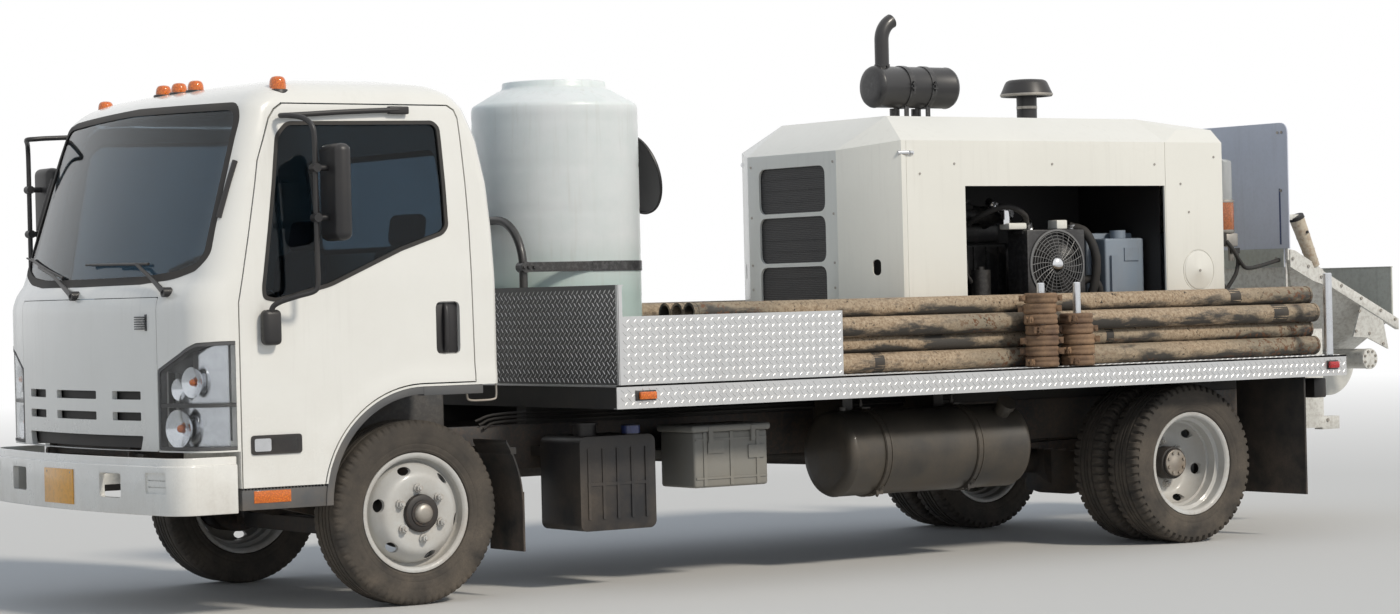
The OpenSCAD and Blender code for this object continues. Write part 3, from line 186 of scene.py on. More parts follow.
def bevelEdges(piece, width, segments=2, angle=30):
    mod = piece.modifiers.new("rounded edges", "BEVEL")
    mod.width = width
    mod.segments = segments
    mod.limit_method = "ANGLE"
    mod.angle_limit = math.radians(angle)
    mod.harden_normals = False
    bakeModifiers(piece)
    smoothByAngle(piece.data, 40)
    return piece


def dressNode(node, material, bevel=0.0, segments=2):
    # A copy of a frame node with welded points, rounded edges and smooth shading
    source = cadNodes[node]
    bm = bmesh.new()
    bm.from_mesh(source.data)
    bmesh.ops.remove_doubles(bm, verts=bm.verts, dist=0.00002)
    bmesh.ops.dissolve_degenerate(bm, edges=bm.edges, dist=0.00001)
    bmesh.ops.dissolve_limit(bm, angle_limit=math.radians(0.6), verts=bm.verts, edges=bm.edges)
    piece = newPiece(node + "_dressed", bm, material, source["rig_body"], slotName="")
    if bevel:
        bevelEdges(piece, bevel, segments)
    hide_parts(node)
    return piece


def lathe(profile, segments=64, axis="y"):
    # Turns (radius, distance along the axis) pairs into a closed surface
    bm = bmesh.new()
    rings = []
    for r, d in profile:
        ring = []
        for k in range(segments):
            a = 2 * math.pi * k / segments
            c, s = r * math.cos(a), r * math.sin(a)
            ring.append(bm.verts.new({"y": (c, d, s), "x": (d, c, s), "z": (c, s, d)}[axis]))
        rings.append(ring)
    closeLoops(bm, rings, True)
    bmesh.ops.recalc_face_normals(bm, faces=bm.faces)
    return bm


def turned(profile, segments, axis="y", centre=(0, 0, 0), flip=False):
    # A lathe from millimetres, moved to its place, and mirrored in Y first for the right side
    return placeAt(lathe([(r / 1000, d / 1000) for r, d in profile], segments, axis), centre, flip)


def placeAt(bm, centre, mirror=False):
    if mirror:
        bmesh.ops.scale(bm, vec=(1, -1, 1), verts=bm.verts)
        bmesh.ops.reverse_faces(bm, faces=bm.faces)
    bmesh.ops.translate(bm, vec=centre, verts=bm.verts)
    return bm


def joinMeshes(parts):
    bm = bmesh.new()
    for part in parts:
        temp = bpy.data.meshes.new("part")
        part.to_mesh(temp)
        part.free()
        bm.from_mesh(temp)
        bpy.data.meshes.remove(temp)
    return bm


def mirrored(bm):
    # The same mesh on both sides of the truck
    return joinMeshes([bm.copy(), placeAt(bm, (0, 0, 0), True)])


def hose(corners, radius, segments, steps=8, **looks):
    # A tube along smooth points through corners in chassis millimetres
    return sweep(curvePoints([at(*p) for p in corners], steps), radius, segments, **looks)


def onSide(side, corners):
    return [(x, y * side, z) for x, y, z in corners]


def closeLoops(bm, loops, closed=False):
    # Faces between neighbouring loops of the same length
    for one, two in zip(loops, loops[1:] + (loops[:1] if closed else [])):
        n = len(one)
        for j in range(n):
            bm.faces.new((one[j], one[(j + 1) % n], two[(j + 1) % n], two[j]))


def addBox(bm, low, high, turn=None, centre=None):
    made = bmesh.ops.create_cube(bm, size=1)["verts"]
    low, high = Vector(map(min, low, high)), Vector(map(max, low, high))
    size = high - low
    place = Matrix.Translation((low + high) / 2)
    if turn is not None:
        pivot = Vector(centre)
        place = Matrix.Translation(pivot) @ turn @ Matrix.Translation((low + high) / 2 - pivot)
    bmesh.ops.transform(bm, matrix=place @ Matrix.Diagonal((size.x, size.y, size.z, 1)), verts=made)
    return made


def addBoxes(bm, *rows):
    # Boxes from two opposite corners in chassis millimetres
    for row in rows:
        addBox(bm, at(*row[:3]), at(*row[3:]))


def addRod(bm, a, b, r, segments=16, r2=None):
    a, b = Vector(a), Vector(b)
    length = (b - a).length
    made = bmesh.ops.create_cone(bm, cap_ends=True, segments=segments, radius1=r,
                                 radius2=r if r2 is None else r2, depth=length)["verts"]
    turn = (b - a).to_track_quat("Z", "Y").to_matrix().to_4x4()
    bmesh.ops.transform(bm, matrix=Matrix.Translation((a + b) / 2) @ turn, verts=made)
    return made


def addRods(bm, *rows):
    # Rods from two ends in chassis millimetres, a radius in metres and a count of sides
    for row in rows:
        addRod(bm, at(*row[:3]), at(*row[3:6]), *row[6:])


def sweep(points, radius, segments=12, closed=False, cap=True, ripple=None):
    # A tube along smooth points; ripple(k, angle) adds to the radius
    bm = bmesh.new()
    pts = [Vector(p) for p in points]
    count = len(pts)
    rings = []
    side = None
    for k in range(count):
        ahead = pts[(k + 1) % count] if closed or k < count - 1 else pts[k]
        behind = pts[k - 1] if closed or k > 0 else pts[k]
        tangent = (ahead - behind).normalized()
        if side is None:
            side = tangent.orthogonal().normalized()
        side = (side - tangent * side.dot(tangent)).normalized()
        other = tangent.cross(side)
        ring = []
        for j in range(segments):
            a = 2 * math.pi * j / segments
            r = radius if not callable(radius) else radius(k)
            if ripple:
                r += ripple(k, a)
            ring.append(bm.verts.new(pts[k] + side * math.cos(a) * r + other * math.sin(a) * r))
        rings.append(ring)
    closeLoops(bm, rings, closed)
    if cap and not closed:
        bm.faces.new(rings[0][::-1])
        bm.faces.new(rings[-1])
    bmesh.ops.recalc_face_normals(bm, faces=bm.faces)
    return bm


def curvePoints(corners, steps=8):
    # Catmull-Rom points through the corners
    pts = [Vector(p) for p in corners]
    pts = [2 * pts[0] - pts[1]] + pts + [2 * pts[-1] - pts[-2]]
    out = []
    for k in range(1, len(pts) - 2):
        a, b, c, d = pts[k - 1:k + 3]
        for j in range(steps):
            t = j / steps
            out.append(0.5 * (2 * b + (c - a) * t + (2 * a - 5 * b + 4 * c - d) * t * t
                              + (3 * b - 3 * c + d - a) * t ** 3))
    out.append(pts[-2])
    return out


# Materials

def newGroup(name, inputs, outputs):
    group = bpy.data.node_groups.new(name, "ShaderNodeTree")
    for label, kind, value in inputs:
        socket = group.interface.new_socket(label, in_out="INPUT", socket_type=kind)
        socket.default_value = value
    for label, kind in outputs:
        group.interface.new_socket(label, in_out="OUTPUT", socket_type=kind)
    start = group.nodes.new("NodeGroupInput")
    end = group.nodes.new("NodeGroupOutput")
    return group, start, end


def join(tree, a, b):
    tree.links.new(a, b)


def mathNode(tree, kind, a, b=None, clamp=False):
    n = tree.nodes.new("ShaderNodeMath")
    n.operation = kind
    n.use_clamp = clamp
    for k, value in enumerate((a, b)):
        if value is None:
            continue
        if isinstance(value, (int, float)):
            n.inputs[k].default_value = value
        else:
            join(tree, value, n.inputs[k])
    return n.outputs[0]


def noiseNode(tree, vector, scale, detail=6, rough=0.55):
    n = tree.nodes.new("ShaderNodeTexNoise")
    n.inputs["Detail"].default_value = detail
    n.inputs["Roughness"].default_value = rough
    if isinstance(scale, (int, float)):
        n.inputs["Scale"].default_value = scale
    else:
        join(tree, scale, n.inputs["Scale"])
    join(tree, vector, n.inputs["Vector"])
    return n.outputs["Fac"]


def rampNode(tree, value, low, high, lowOut=0.0, highOut=1.0):
    n = tree.nodes.new("ShaderNodeMapRange")
    for label, v in (("From Min", low), ("From Max", high), ("To Min", lowOut), ("To Max", highOut)):
        if isinstance(v, (int, float)):
            n.inputs[label].default_value = v
        else:
            join(tree, v, n.inputs[label])
    join(tree, value, n.inputs["Value"])
    return n.outputs["Result"]


def mixColour(tree, factor, a, b, blend="MIX"):
    n = tree.nodes.new("ShaderNodeMix")
    n.data_type = "RGBA"
    n.blend_type = blend
    for socket, value in ((n.inputs["Factor"], factor), (n.inputs["A"], a), (n.inputs["B"], b)):
        if isinstance(value, (int, float)):
            socket.default_value = value
        elif isinstance(value, (tuple, list)):
            socket.default_value = tuple(value) + (1,)
        else:
            join(tree, value, socket)
    return n.outputs["Result"]


def objectCoords(tree):
    return tree.nodes.new("ShaderNodeTexCoord").outputs["Object"]


def makeDirtGroup():
    # Road dust that thickens towards the ground, with stains in patches
    g, start, end = newGroup("roadDust", [
        ("Height", "NodeSocketFloat", 0.7), ("Amount", "NodeSocketFloat", 0.5),
        ("Scale", "NodeSocketFloat", 5.0)],
        [("Dust", "NodeSocketFloat"), ("Grain", "NodeSocketFloat")])
    place = objectCoords(g)
    split = g.nodes.new("ShaderNodeSeparateXYZ")
    join(g, place, split.inputs[0])
    cloud = noiseNode(g, place, start.outputs["Scale"], 8, 0.62)
    fine = noiseNode(g, place, 90, 4, 0.6)
    low = rampNode(g, split.outputs["Z"], start.outputs["Height"], 0.15)
    blend = mathNode(g, "MULTIPLY", rampNode(g, cloud, 0.35, 0.68), mathNode(g, "ADD", low, 0.16))
    dust = mathNode(g, "MULTIPLY", blend, start.outputs["Amount"], clamp=True)
    dust = mathNode(g, "MULTIPLY", dust, rampNode(g, fine, 0.2, 0.7, 0.6, 1.0), clamp=True)
    join(g, dust, end.inputs["Dust"])
    join(g, fine, end.inputs["Grain"])
    return g


def makeStreakGroup():
    # Thin runs down an upright surface
    g, start, end = newGroup("rainStreaks", [
        ("Amount", "NodeSocketFloat", 0.3), ("Spacing", "NodeSocketFloat", 30.0)],
        [("Streaks", "NodeSocketFloat")])
    scale = g.nodes.new("ShaderNodeMapping")
    scale.inputs["Scale"].default_value = (1, 1, 0.06)
    join(g, objectCoords(g), scale.inputs["Vector"])
    n = noiseNode(g, scale.outputs[0], start.outputs["Spacing"], 5, 0.6)
    broad = noiseNode(g, objectCoords(g), 1.7, 3, 0.5)
    runs = mathNode(g, "MULTIPLY", rampNode(g, n, 0.52, 0.75), rampNode(g, broad, 0.4, 0.62))
    join(g, mathNode(g, "MULTIPLY", runs, start.outputs["Amount"], clamp=True), end.inputs["Streaks"])
    return g


def makeWearGroup():
    # Chips and rubbed paint on outer corners
    g, start, end = newGroup("edgeWear", [
        ("Amount", "NodeSocketFloat", 0.5), ("Scale", "NodeSocketFloat", 40.0)],
        [("Wear", "NodeSocketFloat")])
    geo = g.nodes.new("ShaderNodeNewGeometry")
    edge = rampNode(g, geo.outputs["Pointiness"], 0.515, 0.60)
    patch = rampNode(g, noiseNode(g, objectCoords(g), start.outputs["Scale"], 6, 0.65), 0.46, 0.62)
    wear = mathNode(g, "MULTIPLY", edge, patch)
    join(g, mathNode(g, "MULTIPLY", wear, start.outputs["Amount"], clamp=True), end.inputs["Wear"])
    return g


dirtGroup = makeDirtGroup()
streakGroup = makeStreakGroup()
wearGroup = makeWearGroup()


def useGroup(tree, group, **values):
    n = tree.nodes.new("ShaderNodeGroup")
    n.node_tree = group
    for label, value in values.items():
        n.inputs[label].default_value = value
    return n


def newMaterial(name, roughness=0.5, metallic=0.0, coat=0.0, specular=None):
    mat = bpy.data.materials.new(name)
    mat.use_nodes = True
    shader = mat.node_tree.nodes["Principled BSDF"]
    shader.inputs["Roughness"].default_value = roughness
    shader.inputs["Metallic"].default_value = metallic
    shader.inputs["Coat Weight"].default_value = coat
    shader.inputs["Coat Roughness"].default_value = 0.12
    if specular is not None:
        shader.inputs["Specular IOR Level"].default_value = specular
    return mat, mat.node_tree, shader


def addBump(tree, shader, height, strength=0.2, distance=0.002):
    n = tree.nodes.new("ShaderNodeBump")
    n.inputs["Strength"].default_value = strength
    n.inputs["Distance"].default_value = distance
    join(tree, height, n.inputs["Height"])
    join(tree, n.outputs["Normal"], shader.inputs["Normal"])
    return n


def paint(name, colour, rough=0.3, dust=0.35, dustHeight=0.9, dustColour=(0.33, 0.25, 0.17), wear=0.0,
          under=(0.1, 0.07, 0.05), streaks=0.0, coat=0.0, metallic=0.0, bump=0.04, variation=0.06):
    mat, tree, shader = newMaterial(name, rough, metallic, coat)
    place = objectCoords(tree)
    tone = noiseNode(tree, place, 2.2, 4)
    darker = tuple(c * (1 - variation) for c in colour)
    base = mixColour(tree, rampNode(tree, tone, 0.3, 0.7), darker, colour)
    runs = useGroup(tree, streakGroup, Amount=streaks, Spacing=26.0)
    base = mixColour(tree, runs.outputs["Streaks"], base, tuple(c * 0.5 for c in dustColour))
    worn = useGroup(tree, wearGroup, Amount=wear, Scale=45.0)
    base = mixColour(tree, worn.outputs["Wear"], base, under)
    dirt = useGroup(tree, dirtGroup, Height=dustHeight, Amount=dust, Scale=4.0)
    base = mixColour(tree, dirt.outputs["Dust"], base, dustColour)
    join(tree, base, shader.inputs["Base Color"])
    join(tree, rampNode(tree, dirt.outputs["Dust"], 0, 0.7, rough, 0.85), shader.inputs["Roughness"])
    fine = noiseNode(tree, place, 220, 3)
    addBump(tree, shader, mathNode(tree, "ADD", mathNode(tree, "MULTIPLY", fine, 0.5), dirt.outputs["Dust"]),
            bump, 0.0015)
    return mat


cabPaint = paint("cab white paint", (0.80, 0.79, 0.745), 0.22, dustHeight=0.95, wear=0.08, streaks=0.1,
                 coat=0.6, bump=0.015, variation=0.02)
hoodPaint = paint("hood white paint", (0.80, 0.785, 0.72), 0.33, dust=0.16, dustHeight=1.35, wear=0.02,
                  streaks=0.08, coat=0.3, bump=0.02, variation=0.03)
frameBlack = paint("chassis black paint", (0.022, 0.022, 0.023), 0.5, dust=0.8, dustHeight=0.95,
                   dustColour=(0.16, 0.12, 0.085), wear=0.3, under=(0.16, 0.08, 0.04), streaks=0.1)
satinBlack = paint("satin black paint", (0.018, 0.018, 0.02), 0.38, dustHeight=1.6,
                   dustColour=(0.2, 0.16, 0.12), wear=0.25, under=(0.2, 0.2, 0.2), streaks=0.05, coat=0.2)
tankBlack = paint("fuel tank black paint", (0.036, 0.032, 0.027), 0.36, dust=0.65, dustHeight=1.1,
                  dustColour=(0.14, 0.11, 0.075), wear=0.2, streaks=0.15, coat=0.15)
engineGrey = paint("cast engine grey", (0.07, 0.07, 0.072), 0.6, dust=0.7, dustHeight=1.9,
                   dustColour=(0.13, 0.10, 0.075), wear=0.4, under=(0.25, 0.24, 0.22), streaks=0.2, bump=0.3)
bareSteel = paint("bare worn steel", (0.36, 0.34, 0.31), 0.45, dust=0.6, dustHeight=1.4,
                  dustColour=(0.28, 0.20, 0.13), wear=0.3, under=(0.5, 0.48, 0.45), streaks=0.2, metallic=0.8)
brightPlate = paint("tread plate aluminium", (0.66, 0.665, 0.67), 0.32, dustHeight=1.0,
                    dustColour=(0.35, 0.29, 0.22), wear=0.1, under=(0.8, 0.8, 0.8), streaks=0.15,
                    metallic=0.75, bump=0.05)
# Tread plate aluminium painted dark: painted shade on the bulkhead, which faces away from the light
shadedPlate = paint("tread plate in painted shade", (0.13, 0.13, 0.13), 0.4, dust=0.3, dustHeight=1.5,
                    dustColour=(0.10, 0.085, 0.07), streaks=0.2, metallic=0.6, bump=0.05)
# Lugs painted far lighter than the dark bulkhead sheet: a painted highlight on the lug ridges
lugPaintedHighlight = paint("tread lugs with painted highlight", (0.80, 0.80, 0.80), 0.3, dust=0.15, dustHeight=1.2, metallic=0.5,
                  bump=0.02, variation=0.2)
# Near black for the members and pipes under the deck: painted shade under the deck, on pipes that are black
# as well
underDeckShadeBlack = paint("black and painted shade under the deck", (0.012, 0.012, 0.012), 0.75, dust=0.15, dustHeight=1.0)
boxGrey = paint("weathered grey box plastic", (0.24, 0.235, 0.215), 0.55, dust=0.5, dustHeight=1.2,
                dustColour=(0.27, 0.235, 0.18), wear=0.1, streaks=0.1, bump=0.12)
greyPlastic = paint("grey moulded plastic", (0.085, 0.088, 0.092), 0.6, dust=0.5, wear=0.05, streaks=0.05,
                    bump=0.12)
blackPlastic = paint("black moulded plastic", (0.016, 0.016, 0.018), 0.42, dust=0.25, streaks=0.03, bump=0.1)
rubberBlack = paint("black rubber", (0.022, 0.022, 0.022), 0.75, dust=0.7, dustHeight=1.0,
                    dustColour=(0.2, 0.15, 0.11), bump=0.15)
seatCloth = paint("woven seat cloth", (0.12, 0.12, 0.13), 0.9, dust=0.1, bump=0.4)

dressing = {
    # node: material, rounded edge in metres, segments
    "frame_rails": (frameBlack, 0.003, 2), "front_axle": (frameBlack, 0.004, 2),
    "rear_axle": (frameBlack, 0.004, 2), "leaf_springs": (frameBlack, 0.0015, 1),
    "power_unit": (engineGrey, 0.02, 3), "drive_shaft": (frameBlack, 0.004, 2),
    "fluid_tank": (blackPlastic, 0.006, 2), "mudguards": (rubberBlack, 0.002, 1),
    "tank_lid": (blackPlastic, 0.002, 2), "pump_skid": (hoodPaint, 0.004, 2),
    "outlet": (bareSteel, 0.002, 2), "agitator": (bareSteel, 0.002, 2),
    "hopper_grate": (bareSteel, 0.001, 1), "dashboard": (greyPlastic, 0.01, 3),
    "knuckle_left": (frameBlack, 0.003, 2), "knuckle_right": (frameBlack, 0.003, 2),
    "tie_rod": (frameBlack, 0.002, 2),
}
for node, (material, bevel, segments) in dressing.items():
    dressNode(node, material, bevel, segments)


def thinShaft(piece, x, z, reach, radius):
    # Keeps a dressed shaft clear of the bore that it turns in
    for v in piece.data.vertices:
        arm = Vector((v.co.x - at(x, 0, z).x, v.co.z - z / 1000))
        if 0.01 < arm.length < reach:
            arm *= radius / arm.length
            v.co.x, v.co.z = at(x, 0, z).x + arm.x, z / 1000 + arm.y


agitatorAxis = (-6218, 885)  # along and up, in chassis millimetres
thinShaft(bpy.data.objects["agitator_dressed"], *agitatorAxis, 0.0312, 0.0288)
print("frame nodes dressed")


# Cab: one smooth form, cut into shell, doors, panels and glass

cabSet = {
    "wall": 45,
    "doorGap": 6,
    "frontPanel": 22,
    "archRadius": 488,
    "archCentre": 470,
    "flareWidth": 105,
    "flareDepth": 9,
    "levelStep": 22,
}
# height, front, back, half width, bow of the front, front corner radius, rear corner radius
cabLevels = [
    (560, 1178, -390, 1020, 130, 150, 40),
    (1340, 1178, -390, 1020, 130, 150, 40),
    (1400, 1156, -390, 1020, 130, 150, 42),
    (1440, 1118, -390, 1020, 128, 140, 44),
    (1640, 1052, -384, 1012, 122, 125, 50),
    (1840, 986, -374, 998, 116, 110, 60),
    (2040, 920, -346, 974, 110, 100, 75),
    (2180, 872, -302, 950, 106, 100, 95),
    (2240, 798, -260, 924, 100, 110, 120),
    (2278, 700, -200, 860, 90, 130, 140),
    (2300, 558, -90, 720, 60, 150, 160),
]


def cabLevel(z):
    # Softened table lookup, so that the belt and roof edges are round
    spread = min(26, max(0, 2300 - z) * 0.4, max(0, z - 560))
    total = [0.0] * 6
    weights = 0.0
    for k in range(-3, 4):
        zk = z + spread * k / 3
        w = math.exp(-(k / 2) ** 2)
        for a, b in zip(cabLevels, cabLevels[1:]):
            if zk <= b[0] or b is cabLevels[-1]:
                t = min(1, max(0, (zk - a[0]) / (b[0] - a[0])))
                for j in range(6):
                    total[j] += w * (a[j + 1] + (b[j + 1] - a[j + 1]) * t)
                break
        weights += w
    return [v / weights for v in total]


def archFlare(x, z, s):
    # Pressed lip that follows the wheel arch across the door
    r = math.hypot(x, z - s["archCentre"]) if z > s["archCentre"] else abs(x)
    if x < -60:
        r = z - s["archCentre"]
    t = (r - s["archRadius"] - 8) / s["flareWidth"]
    if t < 0 or t > 1:
        return s["flareDepth"] if -0.2 < t < 0 else 0
    return s["flareDepth"] * (1 - t * t * (3 - 2 * t)) if t > 0.45 else s["flareDepth"] * 0.92


def cabRing(z, t, s):
    f, b, w, bow, rf, rb = cabLevel(z)
    f, b, w = f - t, b + t, w - t
    half = []
    for k in range(15):
        y = (w - rf) * k / 14
        half.append((f - bow * (y / w) ** 2, y))
    x0 = f - bow * ((w - rf) / w) ** 2
    for k in range(1, 11):
        u = math.radians(9 * k)
        half.append((x0 - rf * (1 - math.cos(u)), w - rf + rf * math.sin(u)))
    xFront, xBack = x0 - rf, b + rb
    steps = 50
    for k in range(1, steps):
        half.append((xFront + (xBack - xFront) * k / steps, w))
    for k in range(9):
        u = math.radians(11.25 * k)
        half.append((b + rb - rb * math.sin(u), w - rb + rb * math.cos(u)))
    for k in range(1, 6):
        half.append((b, (w - rb) * (1 - k / 6)))
    half.append((b, 0))
    out = []
    for x, y in half:
        flare = archFlare(x, z, s) * min(1, max(0, (y - 900) / 80)) if t < 5 else 0
        out.append((x, y + flare * 0.6, z))
    return out + [(x, -y, z) for x, y, z in out[-2:0:-1]]


def cabForm(t, s):
    low, high = 560 + t, 2300 - t
    heights = [low]
    while heights[-1] < 2180:
        heights.append(min(2180, heights[-1] + s["levelStep"]))
    for k in range(1, 13):
        heights.append(2180 + (high - 2180) * (1 - (1 - k / 12) ** 1.5))
    bm = bmesh.new()
    rings = []
    for z in heights:
        zTable = z if z < 2180 else 2180 + (z - 2180) * 120 / (high - 2180)
        rings.append([bm.verts.new(at(x, y, z)) for x, y, _ in cabRing(zTable, t, s)])
    n = len(rings[0])
    closeLoops(bm, rings)
    bm.faces.new(rings[0][::-1])
    # Roof: rows across between the two sides of the last ring
    top = rings[-1]
    half = n // 2
    for k in range(half):
        a, b, c, d = top[k], top[k + 1], top[(n - k - 1) % n], top[(n - k) % n]
        corners = []
        for v in (a, b, c, d):
            if v not in corners:
                corners.append(v)
        if len(corners) > 2:
            bm.faces.new(corners)
    bmesh.ops.recalc_face_normals(bm, faces=bm.faces)
    return bm


def rawSolid(bm, name="tool"):
    mesh = bpy.data.meshes.new(name)
    bm.normal_update()
    bm.to_mesh(mesh)
    bm.free()
    piece = bpy.data.objects.new(name, mesh)
    bpy.context.scene.collection.objects.link(piece)
    return piece


def combine(piece, tool, kind="DIFFERENCE", keepTool=False):
    mod = piece.modifiers.new("cut", "BOOLEAN")
    mod.operation = kind
    mod.object = tool
    mod.solver = "MANIFOLD"
    bakeModifiers(piece)
    if not keepTool:
        bpy.data.objects.remove(tool)
    return piece


def prism(points, low, high, axis="y"):
    # Closed outline in chassis millimetres, pushed through along one axis
    bm = bmesh.new()
    def corner(p, d):
        return at(p[0], d, p[1]) if axis == "y" else at(d, p[0], p[1]) if axis == "x" else at(p[0], p[1], d)
    one = [bm.verts.new(corner(p, low)) for p in points]
    two = [bm.verts.new(corner(p, high)) for p in points]
    bm.faces.new(one)
    bm.faces.new(two[::-1])
    closeLoops(bm, [one, two])
    bmesh.ops.recalc_face_normals(bm, faces=bm.faces)
    return bm


def prismSolid(points, low, high, axis="y"):
    return rawSolid(prism(points, low, high, axis))


def boxSolid(low, high):
    bm = bmesh.new()
    addBox(bm, at(*low), at(*high))
    return rawSolid(bm)


def roundOutline(points, radius, steps=6):
    # Rounds the corners of a closed outline
    out = []
    n = len(points)
    for k in range(n):
        p, a, b = Vector(points[k]), Vector(points[k - 1]), Vector(points[(k + 1) % n])
        u, v = (a - p), (b - p)
        d = min(radius, u.length * 0.45, v.length * 0.45)
        u, v = u.normalized() * d, v.normalized() * d
        if u.normalized().dot(v.normalized()) < -0.995:
            out.append(tuple(p))
            continue
        for j in range(steps + 1):
            t = j / steps
            out.append(tuple((p + u) * (1 - t) ** 2 + p * 2 * t * (1 - t) + (p + v) * t * t))
    return out


def shrinkOutline(points, g):
    # Moves each side of a closed outline inwards by g
    n = len(points)
    area = sum(points[k][0] * points[(k + 1) % n][1] - points[(k + 1) % n][0] * points[k][1]
               for k in range(n))
    turn = 1 if area > 0 else -1
    out = []
    for k in range(n):
        p, a, b = Vector(points[k]), Vector(points[k - 1]), Vector(points[(k + 1) % n])
        e1, e2 = (p - a).normalized(), (b - p).normalized()
        n1, n2 = Vector((-e1.y, e1.x)) * turn, Vector((-e2.y, e2.x)) * turn
        m = (n1 + n2)
        m = m / max(0.35, m.dot(n1))
        out.append(tuple(p + m * g))
    return out


def rectangle(a, b, low, high):
    return [(a, low), (b, low), (b, high), (a, high)]


def archPoints(r, start, end, s, step=4):
    count = max(2, int(abs(end - start) / step))
    return [(r * math.cos(math.radians(start + (end - start) * k / count)),
             s["archCentre"] + r * math.sin(math.radians(start + (end - start) * k / count)))
            for k in range(count + 1)]


def doorOutline(g, s):
    r = s["archRadius"] + 12 + g
    return ([(880 - g, 520 + 2 * g), (880 - g, 1340), (760 - g, 1940), (690 - g, 2120 - g),
             (660 - g, 2160 - g), (620 - g, 2186 - g), (-190 + g, 2186 - g), (-222 + g, 2166 - g),
             (-236 + g, 2130 - g), (-250 + g, 1700), (-262 + g, 970 + g), (0, 970 + g)]
            + archPoints(r, 88, 2, s) + [(r, 520 + 2 * g)])


windowPoints = [(765, 1352), (770, 1400), (668, 2050), (610, 2108), (-110, 2118), (-140, 2090),
                (-148, 1650), (-120, 1616), (90, 1548), (440, 1400), (700, 1338)]
windscreenHalf = [(0, 1425), (520, 1428), (760, 1446), (900, 1482), (952, 1540), (905, 2120), (880, 2172),
                  (820, 2196), (0, 2214)]
windscreenPoints = windscreenHalf + [(-y, z) for y, z in windscreenHalf[-2:0:-1]]


def underTools(t, s):
    arch = archPoints(s["archRadius"] + t, 90, 0, s)
    tools = [prismSolid([(-900, 0), (-900, 958 + t)] + arch + [(s["archRadius"] + t, 0)], -2100, 2100)]
    tools.append(prismSolid([(886 - t, 0), (886 - t, 716 + t), (1800, 716 + t), (1800, 0)], -2100, 2100))
    tools.append(boxSolid((-900, -470 - t, 0), (2000, 470 + t, 716 + t)))
    tools.append(boxSolid((-900, -440 - t, 0), (1130, 440 + t, 763 + t)))
    tools.append(boxSolid((-900, -470 - t, 0), (700 + t, 470 + t, 1040 + t)))
    return tools


def skinBetween(outer, inner, tool, s):
    # The part of a layer of the cab's form that lies inside a tool
    layer = rawSolid(cabForm(outer, s))
    combine(layer, rawSolid(cabForm(inner, s)))
    return combine(layer, tool, "INTERSECT")


def finishPiece(piece, name, material, body, angle=35):
    piece.name = name
    piece.data.name = name
    piece.data.materials.clear()
    piece.data.materials.append(material)
    smoothByAngle(piece.data, angle)
    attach(piece, body)
    return piece


def sideReach(side):
    # From inside the cab to outside its wall, in Y
    return (700, 1200) if side > 0 else (-1200, -700)


def doorTool(g, side, s):
    # The door's outline pushed through the side, less the floor that the shell keeps
    tool = prismSolid(doorOutline(g, s), *sideReach(side))
    return combine(tool, boxSolid((400, 690 * side, 500), (900, (975 + g) * side, 640)))


def makeGlass(name, tint, rough=0.03):
    mat, tree, shader = newMaterial(name, rough, 0.0, 0.0)
    shader.inputs["Transmission Weight"].default_value = 1.0
    shader.inputs["IOR"].default_value = 1.3
    place = objectCoords(tree)
    haze = rampNode(tree, noiseNode(tree, place, 3.0, 6), 0.35, 0.8)
    join(tree, mixColour(tree, haze, tint, tuple(c * 0.9 for c in tint)), shader.inputs["Base Color"])
    join(tree, rampNode(tree, haze, 0, 1, rough, rough + 0.05), shader.inputs["Roughness"])
    return mat


windowGlass = makeGlass("tinted window glass", (0.15, 0.205, 0.25))
lampGlass = makeGlass("clear lamp glass", (0.92, 0.94, 0.96), 0.04)


def makeLens(name, colour):
    mat, tree, shader = newMaterial(name, 0.12, 0.0, 0.6)
    place = objectCoords(tree)
    cells = tree.nodes.new("ShaderNodeTexVoronoi")
    cells.inputs["Scale"].default_value = 140
    join(tree, place, cells.inputs["Vector"])
    tone = rampNode(tree, cells.outputs["Distance"], 0.0, 0.6)
    join(tree, mixColour(tree, tone, tuple(min(1, c * 1.15) for c in colour), tuple(c * 0.6 for c in colour)),
         shader.inputs["Base Color"])
    shader.inputs["Subsurface Weight"].default_value = 0.15
    addBump(tree, shader, cells.outputs["Distance"], 0.3, 0.002)
    return mat


amberLens = makeLens("amber lamp lens", (0.95, 0.20, 0.01))
redLens = makeLens("red lamp lens", (0.62, 0.015, 0.02))


def makeChrome(name, colour=(0.75, 0.76, 0.78), rough=0.12):
    mat, tree, shader = newMaterial(name, rough, 1.0, 0.0)
    tone = noiseNode(tree, objectCoords(tree), 30, 4)
    join(tree, mixColour(tree, tone, tuple(c * 0.85 for c in colour), colour), shader.inputs["Base Color"])
    join(tree, rampNode(tree, tone, 0.2, 0.8, rough, rough + 0.12), shader.inputs["Roughness"])
    return mat


chrome = makeChrome("bright plated metal")
mirrorGlass = makeChrome("mirror glass", (0.8, 0.82, 0.84), 0.03)
gapBlack = paint("shadowed black inside", (0.008, 0.008, 0.009), 0.6, dust=0.1)


